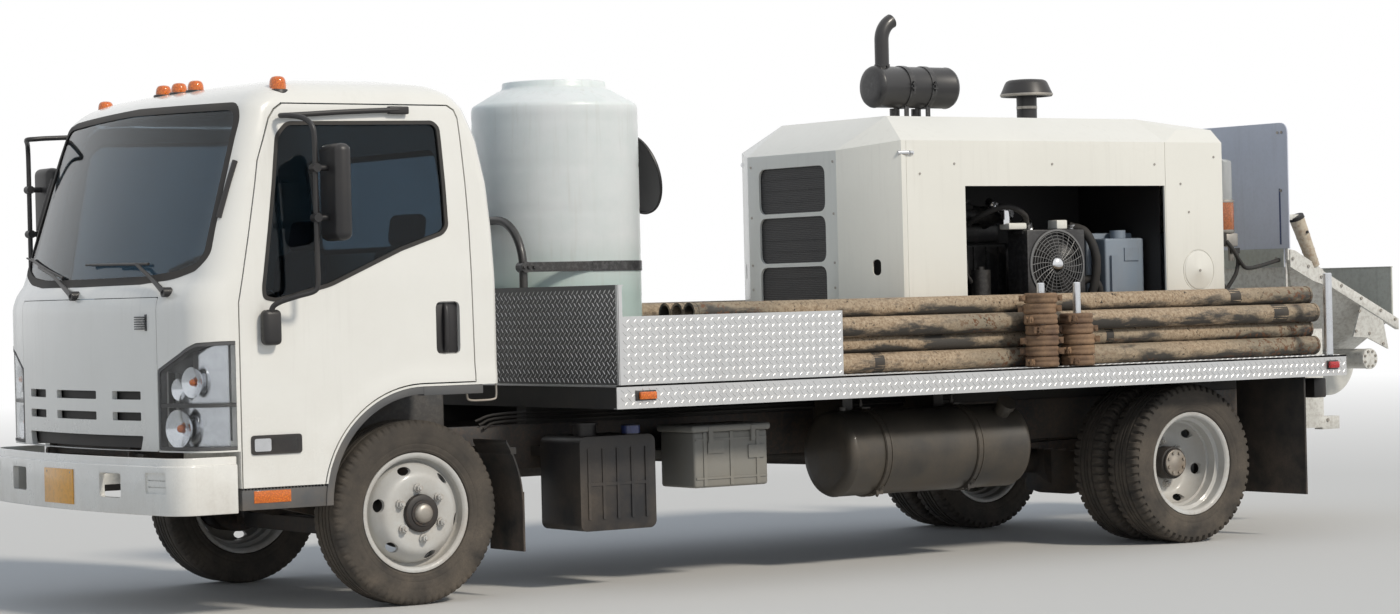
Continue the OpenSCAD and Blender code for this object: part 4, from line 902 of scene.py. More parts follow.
def makeCab(s):
    under0 = underTools(0, s)
    shell = rawSolid(cabForm(0, s))
    for tool in under0:
        combine(shell, tool)
    inner = rawSolid(cabForm(s["wall"], s))
    for tool in underTools(s["wall"], s):
        combine(inner, tool)
    combine(shell, inner)
    for side in (1, -1):
        combine(shell, doorTool(-s["doorGap"] / 2, side, s))
    combine(shell, prismSolid(roundOutline(windscreenPoints, 60), 620, 1300, "x"))
    combine(shell, prismSolid(roundOutline(rectangle(-625, 625, 1560, 2010), 60), -600, -200, "x"))
    panel = rectangle(-713, 713, 715, 1373)
    combine(shell, prismSolid(panel, 1010, 1400, "x"))
    for side in (1, -1):
        lamp = [(714 * side, 723), (1080 * side, 723), (1080 * side, 1186), (960 * side, 1176),
                (714 * side, 1065)]
        combine(shell, prismSolid(lamp, 900, 1400, "x"))
    finishPiece(shell, "cab_shell_smooth", cabPaint, "cab")
    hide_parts("cab_shell")

    # Doors with their window openings, handle recesses and seals
    for side, word in bothSides:
        y = sideReach(side)
        door = skinBetween(0, s["wall"], doorTool(s["doorGap"] / 2, side, s), s)
        combine(door, prismSolid(roundOutline(windowPoints, 26), *y))
        recess = roundOutline(rectangle(-190, -70, 1095, 1325), 30)
        combine(door, prismSolid(recess, 998 * side, 1100 * side))
        finishPiece(door, "door_" + word + "_smooth", cabPaint, "door_" + word[0])
        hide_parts("door_" + word)
        tool = prismSolid(roundOutline(windowPoints, 26), *y)
        combine(tool, prismSolid(roundOutline(shrinkOutline(windowPoints, 17), 22), *y))
        seal = skinBetween(-2, 24, tool, s)
        finishPiece(seal, "window_seal_" + word, rubberBlack, "door_" + word[0])
        glass = skinBetween(9, 13, prismSolid(roundOutline(shrinkOutline(windowPoints, 14), 20), *y), s)
        finishPiece(glass, "window_" + word, windowGlass, "door_" + word[0])
        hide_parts("door_glass_" + word)

    # Windscreen with its black border
    tool = prismSolid(roundOutline(windscreenPoints, 60), 620, 1300, "x")
    combine(tool, prismSolid(roundOutline(shrinkOutline(windscreenPoints, 34), 46), 600, 1320, "x"))
    border = skinBetween(-1, 14, tool, s)
    finishPiece(border, "windscreen_border", rubberBlack, "cab")
    screen = skinBetween(4, 9, prismSolid(roundOutline(shrinkOutline(windscreenPoints, 30), 44), 620, 1300,
                                          "x"), s)
    back = skinBetween(10, 15, prismSolid(rectangle(-610, 610, 1575, 1995), -600, -200, "x"), s)
    combine(screen, back, "UNION")
    finishPiece(screen, "cab_windows", windowGlass, "cab")
    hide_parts("cab_glass")
    tool = prismSolid(roundOutline(rectangle(-625, 625, 1560, 2010), 60), -600, -200, "x")
    combine(tool, prismSolid(roundOutline(rectangle(-600, 600, 1585, 1985), 45), -620, -180, "x"))
    finishPiece(skinBetween(-2, 24, tool, s), "rear_window_seal", rubberBlack, "cab")

    # Front panel with its grille slots and a black sheet of painted shade behind them
    panel = skinBetween(0, s["frontPanel"], prismSolid(roundOutline(rectangle(-710, 710, 718, 1370), 14),
                                                       900, 1400, "x"), s)
    for y in (-470, 0, 470):
        half = 210 if y == 0 else 115
        for z in (955, 865):
            slot = roundOutline(rectangle(y - half, y + half, z - 18, z + 18), 7)
            combine(panel, prismSolid(slot, 900, 1400, "x"))
    combine(panel, prismSolid(roundOutline([(-580, 721), (580, 721), (600, 783), (-600, 783)], 12), 900,
                              1400, "x"))
    finishPiece(panel, "front_panel_smooth", cabPaint, "cab")
    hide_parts("front_panel")
    shadeBacking = skinBetween(30, 38, prismSolid(rectangle(-700, 700, 730, 1050), 900, 1400, "x"), s)
    finishPiece(shadeBacking, "grille_painted_shade", gapBlack, "cab")
    return shell


makeCab(cabSet)
print("cab made")


# Lamps

def faceX(y, z):
    # The bowed front of the cab, without its rounded corners
    front, _, half, bow = cabLevel(z)[:4]
    return front - bow * (y / half) ** 2


def makeLamps(s):
    for side, word in bothSides:
        outline = [(717 * side, 726), (1080 * side, 726), (1080 * side, 1183), (960 * side, 1173),
                   (717 * side, 1062)]
        lens = skinBetween(1, 5, prismSolid(roundOutline(outline, 18), 900, 1400, "x"), s)
        finishPiece(lens, "headlamp_lens_" + word, lampGlass, "cab")
        tool = prismSolid(roundOutline(outline, 18), 900, 1400, "x")
        combine(tool, prismSolid(roundOutline(shrinkOutline(outline, 12), 12), 880, 1420, "x"))
        bezel = skinBetween(-1, 30, tool, s)
        finishPiece(bezel, "headlamp_bezel_" + word, greyPlastic, "cab")
        bar = skinBetween(2, 40, prismSolid([(700 * side, 905), (1070 * side, 905), (1070 * side, 921),
                                             (700 * side, 921)], 900, 1400, "x"), s)
        finishPiece(bar, "headlamp_bar_" + word, greyPlastic, "cab")
        case = skinBetween(62, 70, prismSolid(outline, 850, 1400, "x"), s)
        finishPiece(case, "headlamp_case_" + word, chrome, "cab")
        dishes = []
        for y, z, r, depth in ((815, 815, 78, 46), (900, 1010, 62, 36), (800, 980, 44, 26)):
            dish = turned([(r * math.sin(math.radians(a)), depth * (1 - math.cos(math.radians(a))))
                           for a in range(4, 91, 8)] + [(r + 3, depth), (3, -3)], 32, "x")
            bmesh.ops.rotate(dish, matrix=Matrix.Rotation(math.radians(14 * side), 3, "Z"), verts=dish.verts)
            dishes.append(placeAt(dish, at(faceX(y, z) - 62, y * side, z)))
        newPiece("headlamp_bowls_" + word, joinMeshes(dishes), chrome, "cab", slotName="lamp_clear")
        bm = bmesh.new()
        for y, z, r in ((815, 815, 17), (900, 1010, 15)):
            ball = bmesh.ops.create_uvsphere(bm, u_segments=16, v_segments=10, radius=r / 1000)["verts"]
            bmesh.ops.translate(bm, vec=at(faceX(y, z) - 36, y * side, z), verts=ball)
        newPiece("headlamp_bulbs_" + word, bm, amberLens, "cab")
    # Amber lamps on the roof, each a dome on a dark base
    tops, feet = [], []
    for y in (-880, -165, 0, 165, 880):
        top, low = (2306, 2240) if abs(y) > 500 else (2334, 2282)
        place = at(640 - 40 * (y / 880) ** 2, y, 0)
        tops.append(turned([(0.1, top), (14, top - 1), (24, top - 4), (30, top - 10), (34, top - 20),
                            (36, top - 34), (36, low), (0.1, low)], 28, "z", place))
        feet.append(turned([(0.1, low + 8), (43, low + 8), (46, low + 4), (47, low - 26), (0.1, low - 26)],
                           28, "z", place))
    domes = newPiece("roof_lamp_domes", joinMeshes(tops), amberLens, "cab")
    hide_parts("cab_lamps")
    newPiece("roof_lamp_bases", joinMeshes(feet), blackPlastic, "cab")
    # Side repeater in the door's lower corner, lens and end cap in one bezel
    for side, word in bothSides:
        for name, x0, x1, z0, z1, r, outer, inner, material, slotName in (
                ("side_lamp_bezel_", 600, 838, 698, 780, 16, -6, 12, blackPlastic, "black_plastic"),
                ("side_lamp_lens_", 622, 742, 712, 766, 10, -11, 0, lampGlass, "lamp_clear"),
                ("side_lamp_end_", 748, 826, 712, 766, 10, -11, 0, chrome, "lamp_clear")):
            outline = roundOutline(rectangle(x0, x1, z0, z1), r)
            part = skinBetween(outer, inner, prismSolid(outline, 960 * side, 1060 * side), s)
            finishPiece(part, name + word, material, "door_" + word[0])


makeLamps(cabSet)


# Cab fittings: wipers, door handles, corner post strips and a louvre

fittingSet = {"wiperPin": 0.021, "bladeRod": 0.0065, "handleRod": 0.0125}


def surfaceX(y, z, out=0):
    f, _, w, bow, rf, _ = cabLevel(z)
    y = abs(y)
    x = f - bow * (min(y, w - rf) / w) ** 2
    if y > w - rf:
        x -= rf - math.sqrt(max(0, rf ** 2 - (y - (w - rf)) ** 2))
    return x + out


def makeFittings(s):
    # pivot, elbow and blade's tip as distance across and height
    for k, (pivot, elbow, tip) in enumerate((((776, 1392), (492, 1516), (36, 1522)),
                                             ((3, 1387), (-322, 1480), (-875, 1567)))):
        bm = bmesh.new()
        over = lambda p, out: at(surfaceX(p[0], p[1], out), p[0], p[1])
        between = lambda p, q, t: (p[0] + (q[0] - p[0]) * t, p[1] + (q[1] - p[1]) * t)
        addRod(bm, over(pivot, -8), over(pivot, 30), s["wiperPin"], 20)
        knee = between(pivot, elbow, 0.45)
        arm = [over(pivot, 24), over(knee, 32), over(elbow, 34), over(between(elbow, tip, 0.5), 30)]
        for a, b, r in zip(arm, arm[1:], (0.0125, 0.009, 0.007)):
            addRod(bm, a, b, r, 12, r * 0.8)
        start = between(elbow, tip, -0.12)
        ends = [over(between(start, tip, j / 10), 9) for j in range(11)]
        for a, b in zip(ends, ends[1:]):
            addRod(bm, a, b, s["bladeRod"], 8)
        for j in (2, 8):
            addRod(bm, ends[j], over(between(start, tip, (j + 5) / 10 - 0.25), 24), 0.0045, 8)
        newPiece("wiper_%d" % (k + 1), bm, blackPlastic, "cab")
    for side, word in bothSides:
        bm = bmesh.new()
        addBox(bm, at(-186, 1004 * side, 1100), at(-74, 1000 * side, 1320))
        dish = newPiece("handle_recess_" + word, bm, blackPlastic, "door_" + word[0])
        bevelEdges(dish, 0.0015, 2)
        grip = onSide(side, ((-126, 1002, 1108), (-124, 1016, 1130), (-122, 1021, 1170), (-122, 1022, 1250),
                             (-124, 1016, 1292), (-126, 1002, 1312)))
        newPiece("handle_" + word, hose(grip, s["handleRod"], 14, 6), blackPlastic, "door_" + word[0])
        # Dark vent strip on the corner post
        bm = bmesh.new()
        posts = [at(surfaceX(936, z, 1) - 4, 948 * side, z) for z in range(1700, 1960, 40)]
        for a, b in zip(posts, posts[1:]):
            addRod(bm, a, b, 0.012, 10)
        newPiece("post_strip_" + word, bm, blackPlastic, "cab")
    # Small louvre on the front panel
    bm = bmesh.new()
    for k in range(6):
        z = 1236 + k * 10
        addBox(bm, at(surfaceX(590, z) - 4, 545, z), at(surfaceX(590, z) + 6, 640, z + 5))
    addBox(bm, at(surfaceX(640, 1260) - 6, 540, 1230), at(surfaceX(640, 1260) + 2, 645, 1300))
    newPiece("panel_louvre", bm, greyPlastic, "cab")


makeFittings(fittingSet)
print("lamps and fittings made")


# Wheels

wheelSet = {
    "tyreRadius": 405,
    "tyreHalfWidth": 112.5,
    "rimRadius": 247.2,
    "treadBlocks": 58,
    "grooveDepth": 9,
    "shoulderDepth": 13,
    "segments": 96,
    "steerTreadBlocks": 72,
    "twinOffset": 131.2,
    "frontTrack": 832.5,
    "rearTrack": 825,
}


def makeTyreMesh(s, drive):
    r, w = s["tyreRadius"], s["tyreHalfWidth"]
    profile = [(248, 84), (264, 86), (268, 99), (276, 103), (280, 102.4), (284, 104), (298, 108),
               (302, 107.2), (306, 109.2), (318, w - 1.6), (330, w - 0.6), (336, w - 1.6), (341, w - 0.4),
               (352, w - 0.8), (358, w - 1.8), (364, w - 1.6), (374, w - 4.2), (382, w - 5)]
    half = profile + [(r - 15, w - 8), (r - 8, w - 13)]
    grooves = [78, 50, 44, 16, 10] if not drive else [70, 46, 38, 14, 6]
    crown = [(r - 2, 92), (r, grooves[0]), (r - 0.2, grooves[1] + 3), (r - s["grooveDepth"], grooves[1]),
             (r - s["grooveDepth"], grooves[2]), (r, grooves[2] - 3), (r, grooves[3] + 3),
             (r - s["grooveDepth"], grooves[3]), (r - s["grooveDepth"], grooves[4]), (r, grooves[4] - 3)]
    side = half + crown
    closed = [(a / 1000, b / 1000) for a, b in side] + [(a / 1000, -b / 1000) for a, b in side[::-1]]
    blocks = s["treadBlocks"] if drive else s["steerTreadBlocks"]
    steps = blocks * 6
    bm = bmesh.new()
    rings = []
    for a, d in closed:
        ring = []
        for k in range(steps):
            phase = k % 6
            turn = 2 * math.pi * k / steps
            radius = a
            reach = abs(d) * 1000
            # Lugs: two of six steps are cut down at the shoulder
            if a * 1000 > r - 24 and reach > (58 if drive else 84) and phase in (0, 1):
                cut = s["shoulderDepth"] if drive else 5
                radius = a - cut / 1000 * (1.0 if reach > 76 else 0.75)
                if reach > w - 14:
                    d = math.copysign(abs(d) - (0.004 if drive else 0.0015), d)
            turn += 0.004 * math.sin(3.0 * reach / 112) * (1 if d > 0 else -1)
            ring.append(bm.verts.new((radius * math.cos(turn), d, radius * math.sin(turn))))
            d = math.copysign(reach / 1000, d)
        rings.append(ring)
    closeLoops(bm, rings, True)
    bmesh.ops.recalc_face_normals(bm, faces=bm.faces)
    return bm


def makeTyreRubber():
    mat, tree, shader = newMaterial("dusty tyre rubber", 0.82, 0.0, 0.0, 0.25)
    place = objectCoords(tree)
    patch = noiseNode(tree, place, 7, 8, 0.6)
    fine = noiseNode(tree, place, 160, 4, 0.6)
    base = mixColour(tree, rampNode(tree, patch, 0.35, 0.7), (0.040, 0.037, 0.034), (0.092, 0.080, 0.067))
    dirt = useGroup(tree, dirtGroup, Height=0.85, Amount=0.7, Scale=6.0)
    base = mixColour(tree, dirt.outputs["Dust"], base, (0.185, 0.152, 0.118))
    base = mixColour(tree, rampNode(tree, fine, 0.3, 0.7, 0.0, 0.35), base, (0.05, 0.043, 0.038))
    join(tree, base, shader.inputs["Base Color"])
    join(tree, rampNode(tree, patch, 0.3, 0.7, 0.72, 0.92), shader.inputs["Roughness"])
    addBump(tree, shader, fine, 0.25, 0.001)
    return mat


tyreRubber = makeTyreRubber()


def makeTyres(s):
    for side, word in bothSides:
        body = "wheel_f" + word[0]
        centre = Vector((frontAxle.x, s["frontTrack"] / 1000 * side, s["tyreRadius"] / 1000))
        tyre = newPiece("tyre_front_" + word + "_treaded", placeAt(makeTyreMesh(s, False), centre, side < 0),
                        tyreRubber, body)
        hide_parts("tyre_front_" + word)
        pair = [placeAt(makeTyreMesh(s, True), Vector((rearAxle.x, (0.825 + d) * side, 0.405)), side < 0)
                for d in (-0.131, 0.131)]
        tyre = newPiece("tyres_rear_" + word + "_treaded", joinMeshes(pair), tyreRubber, "wheel_r" + word[0])
        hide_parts("tyres_rear_" + word)


makeTyres(wheelSet)


rimSteel = paint("wheel steel", (0.55, 0.55, 0.53), 0.36, dust=0.45, wear=0.35, under=(0.22, 0.13, 0.07),
                 coat=0.25, bump=0.05)
rustyHub = paint("hub with rust", (0.020, 0.019, 0.019), 0.5, dust=0.5, dustHeight=1.2,
                 dustColour=(0.06, 0.042, 0.03), wear=0.3, under=(0.20, 0.10, 0.05), bump=0.2)


def ovalSolid(radius, angle, half, stretch, y0, y1, steps=20):
    # An oval cutter along Y at a polar place on the wheel's disc
    bm = bmesh.new()
    one, two = [], []
    for k in range(steps):
        a = 2 * math.pi * k / steps
        u, v = half * math.cos(a), half * stretch * math.sin(a)
        ca, sa = math.cos(angle), math.sin(angle)
        x, z = (radius + u) * ca - v * sa, (radius + u) * sa + v * ca
        one.append(bm.verts.new((x / 1000, y0 / 1000, z / 1000)))
        two.append(bm.verts.new((x / 1000, y1 / 1000, z / 1000)))
    bm.faces.new(one)
    bm.faces.new(two[::-1])
    closeLoops(bm, [one, two])
    bmesh.ops.recalc_face_normals(bm, faces=bm.faces)
    return rawSolid(bm)


def makeDisc(s, holes=6):
    # One steel wheel, disc towards +Y: rolled lips, drop centre and dished disc with holes
    profile = [(262, -95), (263.5, -90), (262, -84.5), (s["rimRadius"], -84.5), (s["rimRadius"], -46),
               (244, -40), (229, -34), (228, 30), (231, 36), (244, 42), (s["rimRadius"], 46),
               (s["rimRadius"], 84.5), (262, 84.5), (263.5, 90), (262, 95.5), (257, 96.5), (250, 96),
               (243, 92), (238.5, 86), (238, 54), (235, 48), (223, 40), (219.5, 50), (217, 62), (212, 74),
               (204, 88), (196, 100), (186, 112), (178, 121), (168, 127), (158, 130.2), (150, 131),
               (84, 131), (81, 129), (81, 120), (84, 118), (146, 118), (156, 117), (166, 112), (176, 102),
               (187, 90), (196, 76), (203, 60), (207, 40), (208, 22), (221, 22), (221, -28), (238, -38),
               (238, -84), (243, -91), (250, -95)]
    piece = rawSolid(turned(profile, s["segments"]))
    for k in range(holes):
        combine(piece, ovalSolid(193, math.radians(12 + 60 * k), 17, 1.75, 55, 150))
    return piece


def meshOf(piece):
    bm = bmesh.new()
    bm.from_mesh(piece.data)
    bpy.data.objects.remove(piece)
    return bm


def hexRing(count, circle, y0, y1, radius, start=24, sides=6, cap=None):
    bm = bmesh.new()
    for k in range(count):
        a = math.radians(start + 360 / count * k)
        x, z = circle * math.cos(a), circle * math.sin(a)
        addRod(bm, (x / 1000, y0 / 1000, z / 1000), (x / 1000, y1 / 1000, z / 1000), radius / 1000, sides)
        if cap:
            addRod(bm, (x / 1000, y1 / 1000, z / 1000), (x / 1000, (y1 + cap[1]) / 1000, z / 1000),
                   cap[0] / 1000, 12, cap[0] * 0.8 / 1000)
    return bm


def wheelNuts(face):
    # Round seats with capped nuts on them, from the disc's face outwards
    return joinMeshes([hexRing(6, 111, face, face + 12, 21, sides=12),
                       hexRing(6, 111, face + 12, face + 30, 15, cap=(9, 6))])


def makeWheels(s):
    for side, word in bothSides:
        flip = side < 0
        centre = Vector((frontAxle.x, s["frontTrack"] / 1000 * side, s["tyreRadius"] / 1000))
        body = "wheel_f" + word[0]
        rim = newPiece("rim_front_" + word + "_smooth", placeAt(meshOf(makeDisc(s)), centre, flip), rimSteel,
                       body)
        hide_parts("rim_front_" + word)
        newPiece("wheel_nuts_front_" + word, placeAt(wheelNuts(130), centre, flip), rimSteel, body)
        hub = turned([(30.05, -41), (158, -41), (160, -38), (160, 117.5), (86, 117.8), (83, 120), (83, 138),
                      (79, 150), (72, 154), (58, 155), (56, 160), (30, 161), (30.05, 60)], 64, "y", centre,
                     flip)
        newPiece("hub_front_" + word, hub, rustyHub, body)
        cap = turned([(0.1, 180), (20, 180), (34, 177), (41, 170), (44, 160), (48, 159), (49, 155),
                      (0.1, 155)], 48, "y", centre, flip)
        newPiece("hub_cap_front_" + word, cap, bareSteel, body)

        body = "wheel_r" + word[0]
        discs = [placeAt(meshOf(makeDisc(s)), (0, s["twinOffset"] / 1000, 0), True),
                 placeAt(meshOf(makeDisc(s)), (0, -s["twinOffset"] / 1000, 0))]
        centre = Vector((rearAxle.x, s["rearTrack"] / 1000 * side, s["tyreRadius"] / 1000))
        rim = newPiece("rims_rear_" + word + "_smooth", placeAt(joinMeshes(discs), centre, flip), rimSteel,
                       body)
        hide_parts("rims_rear_" + word)
        newPiece("wheel_nuts_rear_" + word, placeAt(wheelNuts(12), centre, flip), rimSteel, body)
        hub = turned([(45.05, -150), (158, -150), (160, -147), (160, -13.5), (86, -13.2), (83, -10),
                      (83, 86), (81, 90), (73, 92), (72, 104), (70, 106), (20, 106), (20, 71), (45.05, 70)],
                     64, "y", centre, flip)
        newPiece("hub_rear_" + word, hub, rustyHub, body)
        flange = joinMeshes([turned([(0.1, 111), (26, 111), (30, 109), (64, 109), (67, 106.5), (67, 106),
                                     (0.1, 106)], 48), hexRing(8, 53, 108.5, 117, 8)])
        newPiece("axle_flange_rear_" + word, placeAt(flange, centre, flip), bareSteel, body)


makeWheels(wheelSet)
print("wheels made")


# Mirrors: a rounded head on a bent tube, held by a low bracket and one at the door's top

mirrorSet = {"tube": 0.0115, "headLow": 1592, "headHigh": 2002}


def roundedBlock(low, high, width, segments=4, turn=None, centre=None):
    bm = bmesh.new()
    addBox(bm, at(*low), at(*high), turn, at(*centre) if centre else None)
    piece = rawSolid(bm)
    mod = piece.modifiers.new("rounded", "BEVEL")
    mod.width = width
    mod.segments = segments
    mod.limit_method = "NONE"
    return bakeModifiers(piece)


def blocksEachSide(rows, width, segments):
    # Rounded blocks on the left and the right, from rows of two opposite corners
    return [roundedBlock((a, b * side, c), (d, e * side, f), width, segments)
            for side in (1, -1) for a, b, c, d, e, f in rows]


def joinPieces(pieces):
    return joinMeshes([meshOf(p) for p in pieces])


def makeMirrors(s):
    # Heads, arms and glass; x is the upright tube's place along the truck
    for side, word, x in ((1, "left", 583), (-1, "right", 872)):
        y = lambda v: v * side
        path = curvePoints([at(752, y(1062), 1240), at(750, y(1070), 1310), at(726, y(1094), 1338),
                            at((x + 740) / 2, y(1135), 1362), at(x + 10, y(1164), 1384),
                            at(x, y(1170), 1430), at(x, y(1170), 1500), at(x, y(1170), 1700),
                            at(x, y(1170), 1900), at(x, y(1170), 2020), at(x + 5, y(1160), 2078),
                            at(x + 24, y(1120), 2112), at(x + 54, y(1060), 2126), at(x + 70, y(1006), 2129),
                            at(x + 44, y(984), 2131), at(x - 40, y(980), 2136),
                            at((x + 70) / 2, y(978), 2150), at(110, y(976), 2160), at(70, y(976), 2161)], 6)
        tube = sweep(path, s["tube"], 14)
        parts = [tube]
        for z in (1690, 1900):
            bm = bmesh.new()
            addRods(bm, (x, y(1148), z, x, y(1192), z, 0.019, 16),
                        (x - 66, y(1170), z, x, y(1170), z, 0.013, 12))
            parts.append(bm)
        parts.append(meshOf(roundedBlock((704, y(1021), 1158), (788, y(1080), 1308), 0.022)))
        parts.append(meshOf(roundedBlock((18, y(958), 2143), (118, y(986), 2177), 0.007)))
        back, front, near, far = x - 132, x - 58, y(1077), y(1263)
        head = roundedBlock((back, near, s["headLow"]), (front, far, s["headHigh"]), 0.033, 6)
        combine(head, roundedBlock((back - 20, y(1094), s["headLow"] + 17),
                                   (back + 6, y(1246), s["headHigh"] - 17), 0.008, 2))
        parts.append(meshOf(head))
        piece = newPiece("mirror_%s_smooth" % word, joinMeshes(parts), blackPlastic, "door_" + word[0])
        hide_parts("mirror_" + word)
        glass = meshOf(roundedBlock((back + 4, y(1096), s["headLow"] + 19),
                                    (back + 8, y(1244), s["headHigh"] - 19), 0.001, 1))
        newPiece("mirror_glass_" + word, glass, mirrorGlass, "door_" + word[0])


makeMirrors(mirrorSet)


# Bumper with its tow openings, fog lamp blanks and a blank plate

bumperSet = {"low": 457, "high": 697, "inset": 4, "lipDepth": 26, "plateColour": (0.80, 0.38, 0.035)}


def bumperPlan(t, s):
    face, half = 1266 - s["inset"] - t, 1016 - t
    points = []
    for k in range(33):
        y = -half * 0.84 + half * 1.68 * k / 32
        points.append((face - 86 * (y / half) ** 2, y))
    x0 = face - 86 * 0.84 ** 2
    side = [(x0 - 105 * (1 - math.cos(math.radians(9 * k))),
             half * (0.84 + 0.16 * math.sin(math.radians(9 * k)))) for k in range(1, 11)]
    return points + side + [(900, half), (900, -half)] + [(x, -y) for x, y in side[::-1]]


def makeBumper(s):
    low, high = s["low"], s["high"]
    outer = prismSolid(bumperPlan(0, s), low, high, "z")
    combine(outer, prismSolid(bumperPlan(24, s), low + s["lipDepth"], high + 20, "z"))
    combine(outer, prismSolid(bumperPlan(95, s), low - 20, low + 40, "z"))
    # Stepped lip along the top
    step = prismSolid(bumperPlan(-20, s), high - 34, high + 20, "z")
    combine(step, prismSolid(bumperPlan(9, s), high - 60, high + 40, "z"))
    combine(outer, step)
    mod = outer.modifiers.new("soft", "BEVEL")
    mod.width, mod.segments, mod.limit_method, mod.angle_limit = 0.004, 3, "ANGLE", math.radians(35)
    bakeModifiers(outer)
    for y in (-485, 485):
        combine(outer, roundedBlock((1100, y - 92, 524), (1300, y + 92, 628), 0.012, 3))
    for y in (-850, 850):
        tool = roundedBlock((1100, y - 76, 548), (1300, y + 76, 636), 0.008, 2)
        shape = prismSolid(bumperPlan(7, s), low, high + 1, "z")
        combine(tool, shape)
        combine(outer, tool)
        for k in range(2):
            tool = roundedBlock((1100, y - 66, 574 + 28 * k), (1300, y + 66, 578 + 28 * k), 0.001, 1)
            combine(tool, prismSolid(bumperPlan(13, s), low, high, "z"))
            combine(outer, tool)
    stays = []
    for side in (1, -1):
        stays.append(roundedBlock((1121, 356 * side, 573), (1232, 390 * side, 621), 0.003, 2))
    piece = newPiece("bumper_smooth", joinPieces([outer] + stays), cabPaint)
    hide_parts("bumper")
    plate = roundedBlock((1260.4, -155, 482), (1265.6, 150, 634), 0.0012, 2)
    enamel = paint("ochre plate enamel", s["plateColour"], 0.35, dust=0.3, wear=0.3, streaks=0.1, coat=0.4)
    newPiece("blank_plate", meshOf(plate), enamel, slotName="amber_plastic")
    bolts = bmesh.new()
    for y in (-125, 120):
        addRod(bolts, at(1263, y, 620), at(1265.9, y, 620), 0.006, 6)
    newPiece("plate_bolts", bolts, bareSteel)


makeBumper(bumperSet)


# Arch trim and the toothed entry step with its reflector

def makeArchTrim(s):
    outer, inner = s["archRadius"] - 0.3, 454
    arch = archPoints(outer, 90, 0, s, 3) + [(outer, 466), (inner, 466)] + archPoints(inner, 0, 90, s, 3)
    for side, word in bothSides:
        parts = [prismSolid(arch, 960 * side, 1023 * side)]
        parts.append(boxSolid((-299, 961 * side, 918), (0.5, 1023 * side, 957.5)))
        parts.append(boxSolid((455, 932 * side, 466), (883, 1016 * side, 551)))
        for k in range(27):
            x = 458 + k * 15.8
            parts.append(boxSolid((x, 940 * side, 550), (x + 8, 1015 * side, 559.5)))
        piece = newPiece("arch_trim_smooth_" + word, joinPieces(parts), greyPlastic, "cab")
        bevelEdges(piece, 0.003, 2)
        if side > 0:
            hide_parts("arch_trim")
        lamp = roundedBlock((654, 1014 * side, 494), (828, 1018.5 * side, 546), 0.002, 2)
        newPiece("step_reflector_" + word, meshOf(lamp), amberLens, "cab")


makeArchTrim(cabSet)
print("mirrors, bumper and step made")


# Tread plate with real raised lugs

treadSet = {"pitch": 38, "lugLength": 30, "lugWidth": 7.4, "lugHeight": 1.9, "ridge": 0.72, "margin": 12}
deckSet = {"back": -5424, "front": -872, "half": 1217, "top": 932, "sheet": 8, "skirt": 106, "beams": 11,
           "beamStep": 415.2}


def addLug(bm, centre, along, across, out, s):
    # A raised lozenge with a short ridge
    l, w, h = s["lugLength"] / 2000, s["lugWidth"] / 2000, s["lugHeight"] / 1000
    corners = ((-1, 0), (0, -1), (1, 0), (0, 1))
    a, b, c, d = [bm.verts.new(centre + along * p * l + across * q * w) for p, q in corners]
    e, f = [bm.verts.new(centre + out * h + along * p * l * s["ridge"]) for p in (-1, 1)]
    for face in ((a, b, e), (b, f, e), (b, c, f), (c, d, f), (d, e, f), (d, a, e)):
        bm.faces.new(face)


def addTread(bm, origin, u, v, width, height, out, s):
    # Lugs in two leaning sets over a rectangle
    pitch = s["pitch"]
    for k in range(int(width / pitch * 2)):
        for j in range(int(height / pitch * 2)):
            if (k + j) % 2:
                continue
            a, b = (k + 1) * pitch / 2, (j + 1) * pitch / 2
            if a > width - s["margin"] or b > height - s["margin"]:
                continue
            sign = 1 if k % 2 else -1
            along = (u + v * sign).normalized()
            across = (u * -sign + v).normalized()
            addLug(bm, origin + (u * a + v * b) / 1000, along, across, out, s)


